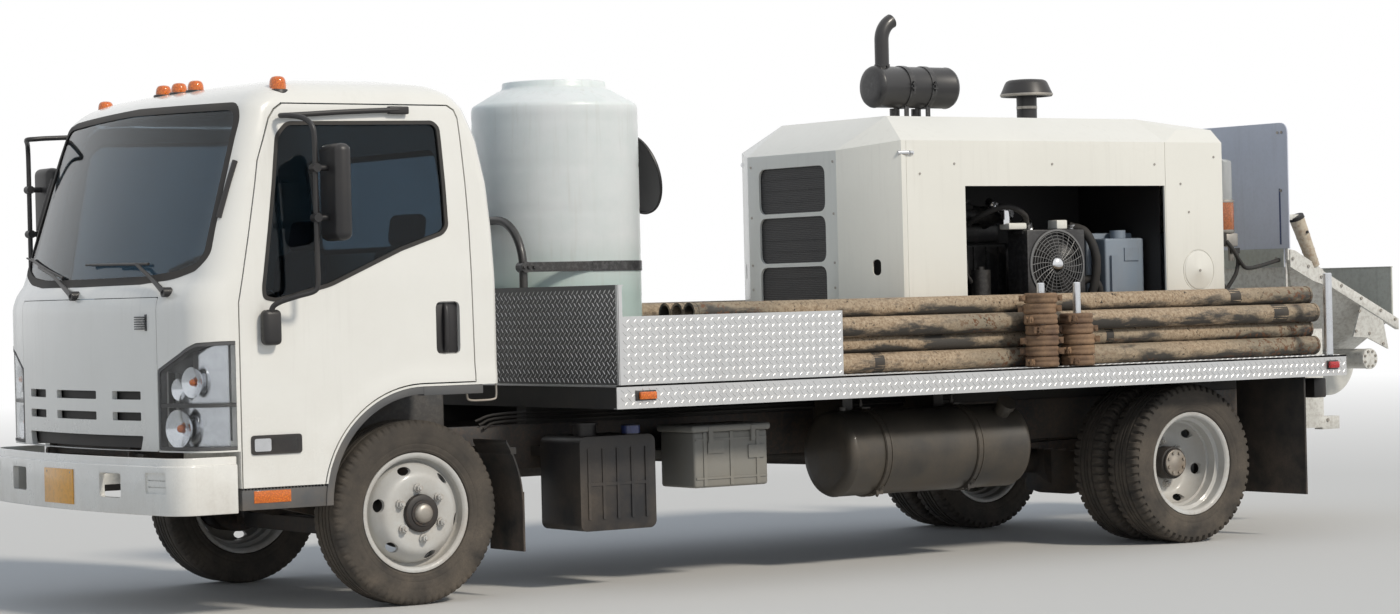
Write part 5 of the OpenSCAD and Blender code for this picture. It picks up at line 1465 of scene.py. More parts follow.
def makeTread(s, deck):
    ahead, left, up = Vector((1, 0, 0)), Vector((0, 1, 0)), Vector((0, 0, 1))
    # The bulkhead sheet carries painted shade, and its lugs a painted highlight
    bm = bmesh.new()
    addBox(bm, at(-895, -1215, 932.4), at(-892, 1215, 1380))
    newPiece("bulkhead_sheet", bm, shadedPlate, smooth=False)
    bm = bmesh.new()
    addTread(bm, at(-892, -1215, 932), left, up, 2430, 448, ahead, s)
    addTread(bm, at(-895, -1215, 932), left, up, 2430, 448, -ahead, s)
    newPiece("bulkhead_lugs", bm, lugPaintedHighlight, smooth=False)
    bm = bmesh.new()
    for y0, y1 in ((-1215, -400), (-344, 344), (400, 1215)):
        addBox(bm, at(-920, y0, 1374), at(-896, y1, 1380))
    for side in (1, -1):
        addBox(bm, at(-2139, 1210 * side, 932.4), at(-896, 1213 * side, 1238))
        addTread(bm, at(-2139, 1213 * side, 932), ahead, up, 1243, 306, left * side, s)
        addTread(bm, at(-2139, 1210 * side, 932), ahead, up, 1243, 306, -left * side, s)
        addBoxes(bm, (-2139, 1190 * side, 1233, -896, 1210 * side, 1238),
                     (-2139, 1190 * side, 932.4, -896, 1209 * side, 938))
        # Bright corner strip
        addBoxes(bm, (-912, 1210 * side, 932.4, -886, 1216.5 * side, 1379.5),
                     (-892, 1196 * side, 932.4, -889.5, 1216.5 * side, 1379.5))
    panels = newPiece("tread_panels_lugged", bm, brightPlate, smooth=False)
    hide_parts("tread_panels")

    bm = bmesh.new()
    back, front, half, top = deck["back"], deck["front"], deck["half"], deck["top"]
    low = top - deck["skirt"]
    addBox(bm, at(back, -half, top - deck["sheet"]), at(front, half, top))
    addTread(bm, at(-2730, -680, top), ahead, left, 980, 1360, up, s)
    for y, width in ((-1190, 520), (690, 500)):
        addTread(bm, at(-2730, y, top), ahead, left, 1830, width, up, s)
    for y in (-1206, 1040):
        addTread(bm, at(-5420, y, top), ahead, left, 2690, 166, up, s)
    for side in (1, -1):
        addBox(bm, at(back, 1211 * side, low), at(front, half * side, top))
        addTread(bm, at(back, half * side, low + 3), ahead, up, front - back, 103, left * side, s)
        addBox(bm, at(back, 1190 * side, low), at(front, 1211 * side, low + 5))
    addBox(bm, at(-5422, -1210, low), at(-5416, 1210, top - deck["sheet"]))
    addTread(bm, at(-5422, -1210, low + 3), left, up, 2420, 100, -ahead, s)
    plates = newPiece("deck_lugged", bm, brightPlate, smooth=False)
    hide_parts("deck")
    # Members under the deck, painted near black as painted shade
    bm = bmesh.new()
    addBoxes(bm, (-880, -1210, 826, -873.8, 1210, 924), (-5416, -1204, 918, -880, 1204, 923.8))
    for side in (1, -1):
        addBoxes(bm, (-5400, 345 * side, 745.3, -880, 420 * side, 847.4),
                     (-5416, 1204 * side, 832, -880, 1210.5 * side, 923.8))
    for k in range(deck["beams"]):
        x = -1072 - k * deck["beamStep"]
        addBox(bm, at(x - 25, -1203, 848), at(x + 25, 1203, 918))
    newPiece("deck_members", bm, underDeckShadeBlack, "chassis", smooth=False, slotName="satin_black")


makeTread(treadSet, deckSet)


# Water tank, moulded in pale plastic with a band of water behind the wall

tankSet = {"radius": 402, "waterTop": 1500, "centreX": -1341}


def makeTankPlastic(s):
    mat, tree, shader = newMaterial("milky tank plastic", 0.34, 0.0, 0.15)
    place = objectCoords(tree)
    split = tree.nodes.new("ShaderNodeSeparateXYZ")
    join(tree, place, split.inputs[0])
    wave = noiseNode(tree, place, 1.3, 3)
    level = mathNode(tree, "ADD", split.outputs["Z"], rampNode(tree, wave, 0, 1, -0.03, 0.03))
    water = rampNode(tree, level, s["waterTop"] / 1000 + 0.12, s["waterTop"] / 1000 - 0.16)
    cloud = noiseNode(tree, place, 5, 7, 0.6)
    pale = mixColour(tree, rampNode(tree, cloud, 0.3, 0.75), (0.80, 0.845, 0.83), (0.70, 0.77, 0.75))
    base = mixColour(tree, mathNode(tree, "MULTIPLY", water, 0.75), pale, (0.42, 0.60, 0.53))
    runs = useGroup(tree, streakGroup, Amount=0.35, Spacing=34.0)
    base = mixColour(tree, runs.outputs["Streaks"], base, (0.50, 0.50, 0.42))
    low = mathNode(tree, "MULTIPLY", rampNode(tree, split.outputs["Z"], 1.25, 0.95), 0.5)
    base = mixColour(tree, mathNode(tree, "MULTIPLY", low, rampNode(tree, cloud, 0.4, 0.6)), base,
                     (0.30, 0.26, 0.19))
    join(tree, base, shader.inputs["Base Color"])
    shader.inputs["Subsurface Weight"].default_value = 0.35
    shader.inputs["Subsurface Radius"].default_value = (0.09, 0.11, 0.10)
    shader.inputs["Subsurface Scale"].default_value = 0.6
    join(tree, rampNode(tree, cloud, 0.3, 0.8, 0.30, 0.48), shader.inputs["Roughness"])
    addBump(tree, shader, noiseNode(tree, place, 26, 4), 0.08, 0.003)
    return mat


tankPlastic = makeTankPlastic(tankSet)


def makeTank(s):
    r = s["radius"]
    profile = [(0.1, 940), (0.1, 932.6), (r - 26, 932.6), (r - 9, 940), (r - 1, 958)]
    for z in range(1000, 2220, 24):
        rib = 1.6 if (z // 24) % 9 == 0 else 0
        profile.append((r - 0.5 - rib, z))
    profile += [(r - 1, 2236), (r - 5, 2250), (r - 16, 2260), (278, 2323), (264, 2328), (255, 2334),
                (250, 2343), (249.5, 2360), (247, 2366), (240, 2368), (226, 2367), (221, 2362), (219, 2325),
                (r - 24, 2246), (r - 9, 2226), (r - 8, 960), (r - 22, 944), (r - 30, 940)]
    tank = newPiece("water_tank_moulded", turned(profile, 128, "z", at(s["centreX"], 0, 0)), tankPlastic)
    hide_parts("water_tank")


makeTank(tankSet)


def makeHoop(s):
    # Bent tube in front of the tank and the strap that it holds, with clamp bolts
    # The arch of the tube: two legs, two quarter bends of 230 mm and a straight top
    points = [at(-917, 372, z) for z in (933, 1100, 1300, 1460)]
    bend = [(142 + 230 * math.cos(math.radians(a)), 1470 + 230 * math.sin(math.radians(a)))
            for a in range(9, 90, 9)]
    points += [at(-917, y, z) for y, z in bend] + [at(-917, y, 1700) for y in (142, 0, -142)]
    points += [at(-917, -y, z) for y, z in bend[::-1]] + [at(-917, -372, z) for z in (1460, 1300, 1100, 933)]
    parts = [sweep(points, 0.020, 18)]
    for side in (1, -1):
        plate = bmesh.new()
        addBox(plate, at(-955, 330 * side, 932.6), at(-897.5, 414 * side, 940))
        addRod(plate, at(-917, 345 * side, 1475), at(-917, 404 * side, 1475), 0.026, 18)
        addBox(plate, at(-1290, 395 * side, 1452), at(-917, 401 * side, 1498))
        for x in (-905, -929, -960):
            addRod(plate, at(x, 390 * side, 1475), at(x, 412 * side, 1475), 0.009, 6)
        parts.append(plate)
    strap = bmesh.new()
    rows = []
    for k in range(121):
        a = math.radians(82 + 196 * k / 120)
        rows.append([strap.verts.new(at(s["centreX"] + r * math.cos(a), r * math.sin(a), z))
                     for r, z in ((402.4, 1451), (406.6, 1451), (406.6, 1499), (402.4, 1499))])
    closeLoops(strap, rows)
    bmesh.ops.recalc_face_normals(strap, faces=strap.faces)
    parts.append(strap)
    hoop = newPiece("tank_hoop_bent", joinMeshes(parts), satinBlack)
    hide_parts("tank_hoop")


makeHoop(tankSet)
print("deck, tread plate and tank made")


# Hood: folded sheet panels over the engine and the pump

hoodSet = {"wall": 12, "fold": 0.007, "discX": -4896, "discZ": 1392, "perforation": 95.0}


def hullSolid(points):
    bm = bmesh.new()
    for p in points:
        bm.verts.new(at(*p))
    bmesh.ops.convex_hull(bm, input=bm.verts)
    loose = [v for v in bm.verts if not v.link_faces]
    bmesh.ops.delete(bm, geom=loose, context="VERTS")
    bmesh.ops.dissolve_limit(bm, angle_limit=math.radians(0.5), verts=bm.verts, edges=bm.edges)
    bmesh.ops.recalc_face_normals(bm, faces=bm.faces)
    return rawSolid(bm)


def hoodForm(t):
    low = 1060 if t == 0 else 1040
    def ring(x, half, sideTop, roofHalf, roofZ):
        side = [(-x, half - t, low), (-x, half - t, sideTop - t / 2), (-x, roofHalf - t / 2, roofZ - t)]
        return side + [(a, -b, c) for a, b, c in side]
    front = hullSolid(ring(2748 + t, 380, 2028, 380, 2029) + ring(2926 + t / 2, 680, 2065, 680, 2066)
                      + ring(3021, 680, 2066, 444, 2200) + ring(4680, 680, 2066, 444, 2200))
    slope = hullSolid(ring(4679, 680, 2066, 444, 2200) + ring(4830, 680, 2066, 600, 2138)
                      + ring(5079.5 - t, 680, 2066, 600, 2138))
    return combine(front, slope, "UNION")


def makePerforated(s):
    mat, tree, shader = newMaterial("perforated grille sheet", 0.5, 0.3)
    split = tree.nodes.new("ShaderNodeSeparateXYZ")
    join(tree, objectCoords(tree), split.inputs[0])
    rows = mathNode(tree, "MULTIPLY", split.outputs["Z"], s["perforation"] * 1.1547)
    odd = mathNode(tree, "MULTIPLY", mathNode(tree, "MODULO", mathNode(tree, "FLOOR", rows), 2), 0.5)
    cols = mathNode(tree, "ADD", mathNode(tree, "MULTIPLY", mathNode(tree, "ADD", split.outputs["Y"], 5),
                                          s["perforation"]), odd)
    u = mathNode(tree, "SUBTRACT", mathNode(tree, "FRACT", cols), 0.5)
    v = mathNode(tree, "SUBTRACT", mathNode(tree, "FRACT", rows), 0.5)
    far = mathNode(tree, "SQRT", mathNode(tree, "ADD", mathNode(tree, "MULTIPLY", u, u),
                                          mathNode(tree, "MULTIPLY", v, v)))
    sheet = rampNode(tree, far, 0.32, 0.40)
    dirt = useGroup(tree, dirtGroup, Height=1.9, Amount=0.4, Scale=8.0)
    steel = mixColour(tree, dirt.outputs["Dust"], (0.055, 0.055, 0.058), (0.14, 0.12, 0.10))
    # The holes are painted near black: painted shade seen through the sheet
    join(tree, mixColour(tree, sheet, (0.004, 0.004, 0.004), steel), shader.inputs["Base Color"])
    addBump(tree, shader, sheet, 0.6, 0.002)
    return mat


perforated = makePerforated(hoodSet)


def makeHood(s):
    hood = hoodForm(0)
    mod = hood.modifiers.new("folds", "BEVEL")
    mod.width, mod.segments, mod.limit_method, mod.angle_limit = s["fold"], 3, "ANGLE", math.radians(8)
    bakeModifiers(hood)
    combine(hood, hoodForm(s["wall"]))
    combine(hood, boxSolid((-4667, -900, 1120), (-3327, 900, 1839)))
    for z in (1340, 1592, 1845):
        outline = roundOutline(rectangle(-283, 283, z - 116, z + 116), 52)
        combine(hood, prismSolid(outline, -2900, -2700, "x"))
    for side in (1, -1):
        # Slot in the slanted corner and thin seams between the panels
        slot = bmesh.new()
        addBox(slot, at(-2872, 520 * side, 1401), at(-2828, 600 * side, 1481),
               Matrix.Rotation(math.radians(-59.3 * side), 4, "Z"), at(-2850, 560 * side, 1441))
        slot = rawSolid(slot)
        mod = slot.modifiers.new("round", "BEVEL")
        mod.width, mod.segments = 0.02, 4
        combine(hood, bakeModifiers(slot))
        combine(hood, boxSolid((-4676, 676 * side, 1000), (-4673, 690 * side, 2300)))
        combine(hood, boxSolid((-2957.5, 677.5 * side, 1000), (-2955.5, 690 * side, 2063)))
        combine(hood, rawSolid(turned([(107, 676), (107, 684), (110, 684), (110, 676)], 48, "y",
                                      at(s["discX"], 0, s["discZ"]), side < 0)))
    finishPiece(hood, "hood_folded", hoodPaint, "chassis", 18)
    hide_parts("hood")

    plates = []
    for z in (1340, 1592, 1845):
        plates.append(meshOf(roundedBlock((-2766.5, -296, z - 123), (-2761.5, 296, z + 123), 0.002, 1)))
        for k in (-1, 0, 1):
            rib = bmesh.new()
            addBox(rib, at(-2761.5, -284, z + k * 58 - 1.5), at(-2759.5, 284, z + k * 58 + 1.5))
            plates.append(rib)
    grilles = newPiece("hood_grilles_perforated", joinMeshes(plates), perforated)
    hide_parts("hood_grilles")
    back = bmesh.new()
    addBox(back, at(-2790, -360, 1090), at(-2786, 360, 2000))
    newPiece("grille_shade", back, gapBlack)

    # Round covers, screws and corner latches
    discs, screws, latches = [], bmesh.new(), bmesh.new()
    for side in (1, -1):
        discs.append(turned([(0.1, 690.5), (18, 690), (24, 687), (92, 685), (98, 683), (100, 680),
                             (0.1, 680)], 56, "y", at(s["discX"], 0, s["discZ"]), side < 0))
        addRod(screws, at(s["discX"], 689 * side, s["discZ"]), at(s["discX"], 694 * side, s["discZ"]), 0.008,
               6)
        for x, z in ((-4780, 1848), (-4835, 1700), (-5020, 1990), (-5020, 1180), (-3040, 1900),
                     (-3040, 1180), (-4735, 1180), (-3260, 1950), (-4600, 1950), (-3900, 1950)):
            addRod(screws, at(x, 679 * side, z), at(x, 682.5 * side, z), 0.0065, 10)
        addRods(latches, (-2918, 664 * side, 2004, -2968, 684 * side, 2004, 0.013, 16),
                         (-2972, 686 * side, 2004, -2990, 686 * side, 2004, 0.011, 16))
        addBox(latches, at(-3002, 679 * side, 1995), at(-2956, 685 * side, 2013))
    for z in (1345, 1470, 1715, 1975):
        for y in (-352, 352):
            addRod(screws, at(-2748.5, y, z), at(-2745, y, z), 0.0065, 10)
    newPiece("hood_covers", joinMeshes(discs), hoodPaint)
    newPiece("hood_screws", screws, bareSteel)
    newPiece("hood_latches", latches, chrome)


makeHood(hoodSet)
print("hood made")


# Engine bay: dark sheets of painted shade, the engine with its pipes and hoses, the cooler and the oil tank

baySet = {"hose": 0.021, "rings": (30, 47, 64, 81, 98, 115, 132, 149, 165), "fanX": -4020, "fanY": 590,
          "fanZ": 1438}
oilTank = paint("shaded oil tank paint", (0.22, 0.27, 0.33), 0.45, dust=0.4, dustHeight=1.9, wear=0.05,
                streaks=0.3, coat=0.2)
# The engine painted near black, darker than its cast grey: painted shade inside the bay, with real dust on it
engineInShade = paint("engine black in painted bay shade", (0.018, 0.018, 0.019), 0.42, dust=0.5, dustHeight=2.0,
                   dustColour=(0.07, 0.055, 0.04), wear=0.2, under=(0.2, 0.19, 0.18), streaks=0.1, coat=0.1,
                   bump=0.3)


def makeEngineBay(s):
    # Black sheets round the bay: painted shade inside the opening
    bayShade = bmesh.new()
    addBoxes(bayShade, (-4662, -3, 1064, -3000, 3, 1990), (-4662, -440, 1984, -3000, 440, 1990),
                     (-4668, -640, 1068, -4662, 640, 1984), (-4662, -660, 1064, -3000, 660, 1068))
    newPiece("bay_painted_shade", bayShade, gapBlack)

    block = [meshOf(roundedBlock(a, b, w, 3)) for a, b, w in (
        ((-3950, -250, 1080), (-3180, 250, 1560), 0.02), ((-3930, -215, 1560), (-3200, 215, 1660), 0.015),
        ((-3900, -120, 1660), (-3240, 120, 1760), 0.03), ((-3150, -330, 1100), (-3000, 330, 1900), 0.01),
        ((-4246, -150, 1250), (-3950, 150, 1560), 0.06), ((-3980, 200, 1060.5), (-3120, 280, 1120), 0.006),
        ((-3980, -280, 1060.5), (-3120, -200, 1120), 0.006))]
    extra = bmesh.new()
    for k in range(9):
        addBox(extra, at(-3900 + k * 82, 214, 1180), at(-3880 + k * 82, 262, 1540))
    for k in range(4):
        addRods(extra, (-3830 + k * 170, 150, 1640, -3830 + k * 170, 320, 1700, 0.030, 18),
                       (-3830 + k * 170, 60, 1756, -3830 + k * 170, 60, 1790, 0.024, 14))
    addRods(extra, (-3880, 320, 1705, -3240, 320, 1705, 0.044, 20),
                   (-3420, 300, 1320, -3250, 300, 1320, 0.072, 24),
                   (-3185, 300, 1320, -3160, 300, 1320, 0.050, 24),
                   (-3700, 330, 1240, -3700, 330, 1420, 0.052, 24),
                   (-3700, 330, 1420, -3700, 330, 1436, 0.020, 12),
                   (-3560, 300, 1500, -3480, 340, 1570, 0.046, 20))
    addBox(extra, at(-3620, 262, 1380), at(-3520, 330, 1470))
    engine = newPiece("pump_engine_block", joinMeshes(block + [mirrored(extra)]), engineInShade)
    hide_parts("pump_engine")
    tank = [meshOf(roundedBlock(a, b, w, 3)) for a, b, w in (
        ((-4950, -420, 1060.5), (-4350, 420, 1600), 0.012), ((-4640, 419, 1075), (-4372, 540, 1570), 0.012))]
    plate = bmesh.new()
    addBoxes(plate, (-4600, 540, 1452, -4500, 546, 1520), (-4440, 540, 1200, -4400, 556, 1480))
    addRod(plate, at(-4520, 470, 1570), at(-4520, 470, 1612), 0.042, 24)
    newPiece("oil_tank", joinMeshes(tank + [plate]), oilTank)

    # Fixed hoses between the engine, the cooler and the pumps
    runs = (((-3420, 300, 1380), (-3400, 420, 1430), (-3390, 470, 1560), (-3420, 440, 1700),
             (-3520, 380, 1752), (-3640, 330, 1740)), ((-3560, 340, 1240), (-3480, 470, 1230),
                                                       (-3400, 520, 1290), (-3380, 500, 1440),
                                                       (-3430, 400, 1580), (-3480, 330, 1640)),
            ((-3900, 470, 1640), (-3840, 520, 1700), (-3740, 500, 1740), (-3640, 420, 1700),
             (-3600, 320, 1640)), ((-4180, 480, 1636), (-4240, 540, 1600), (-4290, 560, 1460),
                                   (-4280, 520, 1270), (-4220, 420, 1150)),
            ((-4215, 470, 1330), (-4290, 520, 1360), (-4340, 520, 1290), (-4330, 440, 1180),
             (-4260, 380, 1110)), ((-3360, 380, 1110), (-3350, 480, 1200), (-3370, 540, 1330),
                                   (-3450, 500, 1400), (-3560, 420, 1360)),)
    for k, corners in enumerate(runs):
        tube = hose(corners, s["hose"] * (1, 0.85, 0.7, 1.1, 1, 0.6)[k], 14, 9,
                    ripple=lambda n, a: 0.0006 * math.sin(n * 1.9))
        newPiece("bay_hose_%d" % (k + 1), mirrored(tube), rubberBlack)
    fittings = bmesh.new()
    for a, b, r in (((-3905, 470, 1622), (-3880, 490, 1660), 30), ((-4190, 480, 1622), (-4186, 486, 1650),
                                                                   30),
                    ((-3840, 400, 1700), (-3700, 450, 1745), 27), ((-3700, 450, 1745), (-3650, 470, 1765),
                                                                   21),
                    ((-3760, 470, 1650), (-3760, 470, 1720), 24), ((-3420, 300, 1352), (-3420, 300, 1384),
                                                                   28),
                    ((-3560, 300, 1200), (-3560, 345, 1244), 24)):
        addRod(fittings, at(*a), at(*b), r / 1000, 18)
        addRod(fittings, at(*a), at(*[(p * 2 + q) / 3 for p, q in zip(a, b)]), r * 1.22 / 1000, 6)
    newPiece("bay_fittings", fittings, chrome)
    white = [meshOf(roundedBlock((-4110, 470, 1622), (-4040, 545, 1668), 0.005, 2)),
             meshOf(roundedBlock((-3860, 440, 1622), (-3740, 520, 1656), 0.008, 2))]
    newPiece("bay_boxes", joinMeshes(white), hoodPaint)
    # A red lamp and a valve wheel that show in the dark
    red = bmesh.new()
    for x, z in ((-3440, 1690), (-3470, 1330)):
        addRod(red, at(x, 430, z), at(x, 452, z), 0.024, 20, 0.018)
    newPiece("bay_caps", red, redLens)


makeEngineBay(baySet)


guardWire = paint("grey guard wire", (0.20, 0.20, 0.20), 0.4, dust=0.2, metallic=0.4)


def makeCooler(s):
    x, y, z = s["fanX"], s["fanY"], s["fanZ"]
    box = roundedBlock((x - 194, y - 189, z - 219), (x + 194, y - 31, z + 181), 0.006, 2)
    bore = bmesh.new()
    addRod(bore, at(x, y - 96, z), at(x, y + 20, z), 0.178, 72)
    combine(box, rawSolid(bore))
    inner = bmesh.new()
    addRod(inner, at(x, y - 100, z), at(x, y - 40, z), 0.014, 24)
    addBox(inner, at(x - 180, y - 189, 1060.5), at(x + 180, y - 61, z - 219))
    for k in range(23):
        addBox(inner, at(x - 178, y - 97.5, z - 176 + k * 16), at(x + 178, y - 95.5, z - 173 + k * 16))
    for dx in (-194, 190):
        for dz in (-200, 162):
            addBox(inner, at(x + dx - 6, y - 150, z + dz), at(x + dx + 10, y - 60, z + dz + 12))
    body, rings = [box, rawSolid(inner)], []
    for r in s["rings"]:
        ring = [at(x, 0, z) + Vector((r / 1000 * math.cos(a), (y - 24 - r * r * 0.0002) / 1000,
                                      r / 1000 * math.sin(a))) for a in [2 * math.pi * k / 48
                                                                         for k in range(48)]]
        rings.append(rawSolid(sweep(ring, 0.0019, 6, closed=True)))
    for k in range(24):
        a = math.radians(15 * k)
        arm = [at(x, 0, z) + Vector((r / 1000 * math.cos(a + 0.25 * (1 - r / 172)),
                                     (y - 22 - r * r * 0.0002) / 1000,
                                     r / 1000 * math.sin(a + 0.25 * (1 - r / 172))))
               for r in (24, 70, 120, 174)]
        rings.append(rawSolid(sweep(curvePoints(arm, 2), 0.0019, 6)))
    rim = turned([(172, y - 30), (181, y - 30), (183, y - 26), (181, y - 23), (172, y - 23)], 64, "y",
                 at(x, 0, z))
    rings.append(rawSolid(rim))
    newPiece("fan_guard", joinPieces(rings), guardWire)
    piece = newPiece("cooler_cased", joinPieces(body), satinBlack)
    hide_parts("cooler")
    hub = turned([(0.1, y - 2), (16, y - 3), (29, y - 8), (38, y - 18), (39, y - 27), (0.1, y - 27)], 36,
                 "y", at(x, 0, z))
    newPiece("cooler_hub", hub, chrome)
    # Curved blades on a round hub
    fan = turned([(14.1, y - 85), (36, y - 85), (40, y - 80), (40, y - 46), (36, y - 42), (14.1, y - 42)], 36)
    blades = bmesh.new()
    for k in range(8):
        a0 = 2 * math.pi * k / 8
        rows = []
        for j in range(7):
            r = 0.034 + 0.124 * j / 6
            row = []
            for i in range(5):
                t = i / 4 - 0.5
                a = a0 + t * (0.5 + 0.12 * j / 6) + 0.05 * j / 6
                row.append((r * math.cos(a), (y - 64 + 34 * t * (1 - 0.3 * j / 6)) / 1000, r * math.sin(a)))
            rows.append(row)
        for dy in (0.0, 0.0022):
            grid = [[blades.verts.new((p[0], p[1] + dy, p[2])) for p in row] for row in rows]
            for one, two in zip(grid, grid[1:]):
                for i in range(4):
                    blades.faces.new((one[i], one[i + 1], two[i + 1], two[i]))
    fan = placeAt(joinMeshes([fan, blades]), at(x, 0, z))
    piece = newPiece("cooler_fan_curved", fan, blackPlastic, "cooler_fan")
    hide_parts("cooler_fan")


makeCooler(baySet)
print("engine bay made")


# Exhaust and air intake on the roof

exhaustSet = {"mufflerY": 110, "mufflerZ": 2370, "stackX": -3262, "intakeX": -4240, "intakeY": 90}


def makeExhaust(s):
    x, y, z = s["stackX"], s["mufflerY"], s["mufflerZ"]
    middle = at(0, y, z)
    parts = [turned([(0.1, -3700), (60, -3700), (88, -3697), (101, -3689), (107.5, -3676), (108.5, -3670),
                     (106.5, -3664), (106.5, -3215), (108.5, -3210), (107.5, -3203), (101, -3191),
                     (88, -3183), (60, -3180), (0.1, -3180)], 72, "x", middle)]
    for bandX in (-3520, -3380):
        band = turned([(106.8, bandX - 17), (111.2, bandX - 16), (111.8, bandX), (111.2, bandX + 16),
                       (106.8, bandX + 17)], 64, "x", middle)
        parts.append(band)
        foot = bmesh.new()
        addBox(foot, at(bandX - 15, y - 58, 2200.4), at(bandX + 15, y + 58, 2208))
        for dy in (-44, 44):
            addBox(foot, at(bandX - 12, y + dy - 5, 2206), at(bandX + 12, y + dy + 5, 2288))
            addRod(foot, at(bandX, y + dy * 1.12, 2208), at(bandX, y + dy * 1.12, 2219), 0.010, 6)
        addBoxes(foot, (bandX - 15, y + 108, z - 14, bandX + 15, y + 121, z - 7),
                       (bandX - 15, y + 108, z + 7, bandX + 15, y + 121, z + 14))
        addRods(foot, (bandX, y + 115, z - 26, bandX, y + 115, z + 26, 0.005, 8),
                      (bandX, y + 115, z + 14, bandX, y + 115, z + 22, 0.009, 6),
                      (bandX + 20, y - 30, 2208, bandX + 20, y - 30, 2262, 0.026, 16))
        parts.append(foot)
    stack = [at(x, y, v) for v in (2440, 2500, 2560, 2600)]
    stack += [at(x - 110 * (1 - math.cos(math.radians(a))), y, 2610 + 110 * math.sin(math.radians(a)))
              for a in range(0, 69, 6)]
    outer, inner = [sweep(stack, r, 28, cap=False) for r in (0.037, 0.0345)]
    bmesh.ops.reverse_faces(inner, faces=inner.faces)
    parts += [outer, inner]
    end = stack[-1]
    side = Vector((0, 1, 0))
    up = (end - stack[-2]).normalized().cross(side)
    ring = [end + (side * math.cos(a) + up * math.sin(a)) * 0.0358 for a in [2 * math.pi * k / 28
                                                                             for k in range(28)]]
    parts.append(sweep(ring, 0.0018, 6, closed=True))
    collar = bmesh.new()
    addRods(collar, (x, y, 2462, x, y, 2486, 0.0405, 32), (x, y - 50, 2474, x, y + 50, 2474, 0.006, 8))
    parts.append(collar)
    piece = newPiece("muffler_banded", joinMeshes(parts), satinBlack)
    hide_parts("muffler")

    x, y = s["intakeX"], s["intakeY"]
    cap = turned([(0.1, 2427), (60, 2426), (92, 2423), (106, 2416), (114, 2404), (128, 2372), (138, 2350),
                  (139.5, 2342), (134, 2335), (118, 2335), (112, 2345), (60, 2345), (54, 2340), (53.5, 2214),
                  (58, 2212), (62, 2206), (62, 2200.4), (0.1, 2200.4)], 64, "z", at(x, y, 0))
    piece = newPiece("air_intake_turned", cap, blackPlastic)
    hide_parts("air_intake")
    ring = turned([(139.9, 2350), (140.4, 2343), (136, 2336), (138, 2350)], 64, "z", at(x, y, 0))
    newPiece("intake_ring", ring, bareSteel)
    clamp = bmesh.new()
    addRod(clamp, at(x, y, 2270), at(x, y, 2284), 0.0555, 36)
    newPiece("intake_clamp", clamp, bareSteel)


makeExhaust(exhaustSet)
print("exhaust and intake made")


# Delivery lines: muddy steel tubes with turned end collars, slightly bent by use

lineSet = {"radius": 48, "bore": 38, "back": -5424, "front": -1462, "outerY": 985, "lowZ": 982.3,
           "acrossStep": 100.3, "upStep": 86.86, "rows": 4, "columns": 3, "bend": 2.4, "facets": 22}


def makeLineMud():
    mat, tree, shader = newMaterial("muddy line steel", 0.8)
    place = objectCoords(tree)
    stretch = tree.nodes.new("ShaderNodeMapping")
    stretch.inputs["Scale"].default_value = (0.3, 1, 1)
    join(tree, place, stretch.inputs["Vector"])
    cloud = noiseNode(tree, stretch.outputs[0], 8, 9, 0.66)
    broad = noiseNode(tree, stretch.outputs[0], 2.6, 3)
    fine = noiseNode(tree, place, 75, 6, 0.65)
    split = tree.nodes.new("ShaderNodeSeparateXYZ")
    join(tree, tree.nodes.new("ShaderNodeNewGeometry").outputs["Normal"], split.inputs[0])
    # Mud in clouds, with upward faces painted lighter and downward faces darker: painted light from above
    mudAndTopLight = mathNode(tree, "ADD", cloud, rampNode(tree, split.outputs["Z"], -1, 1, -0.08, 0.14))
    tan = mixColour(tree, rampNode(tree, fine, 0.35, 0.62), (0.24, 0.165, 0.10), (0.46, 0.36, 0.25))
    tan = mixColour(tree, rampNode(tree, broad, 0.42, 0.6), tan, (0.24, 0.205, 0.15))
    base = mixColour(tree, rampNode(tree, mudAndTopLight, 0.435, 0.545), (0.045, 0.040, 0.034), tan)
    rust = mathNode(tree, "MULTIPLY", rampNode(tree, noiseNode(tree, place, 34, 7, 0.7), 0.53, 0.57),
                    rampNode(tree, broad, 0.50, 0.57))
    base = mixColour(tree, rust, base, (0.135, 0.062, 0.030))
    flakes = mathNode(tree, "MULTIPLY", rampNode(tree, noiseNode(tree, place, 48, 5, 0.7), 0.60, 0.63),
                      rampNode(tree, cloud, 0.45, 0.55))
    base = mixColour(tree, flakes, base, (0.03, 0.024, 0.02))
    join(tree, base, shader.inputs["Base Color"])
    join(tree, rampNode(tree, cloud, 0.35, 0.6, 0.6, 0.92), shader.inputs["Roughness"])
    addBump(tree, shader, mathNode(tree, "ADD", mathNode(tree, "MULTIPLY", mudAndTopLight, 2), fine), 0.35, 0.004)
    return mat


lineMud = makeLineMud()
rustyIron = paint("rusty coupling iron", (0.10, 0.055, 0.035), 0.7, dust=1.0, dustHeight=2.6,
                  dustColour=(0.44, 0.28, 0.16), wear=0.5, under=(0.24, 0.13, 0.07), bump=0.5, variation=0.7)
# Near black bands on some lines: painted shadows of the stakes and couplings
shadowBandBlack = paint("painted shadow bands", (0.02, 0.019, 0.018), 0.6, dust=0.5, dustHeight=2.2,
                  dustColour=(0.16, 0.12, 0.08))


def linePlaces(s):
    # Row, column, and the place across and up, of each line in the two packed stacks
    for side in (1, -1):
        for row in range(s["rows"]):
            for column in range(s["columns"]):
                y = s["outerY"] - (column + (row % 2) / 2) * s["acrossStep"]
                yield row, column, y * side, s["lowZ"] + row * s["upStep"]


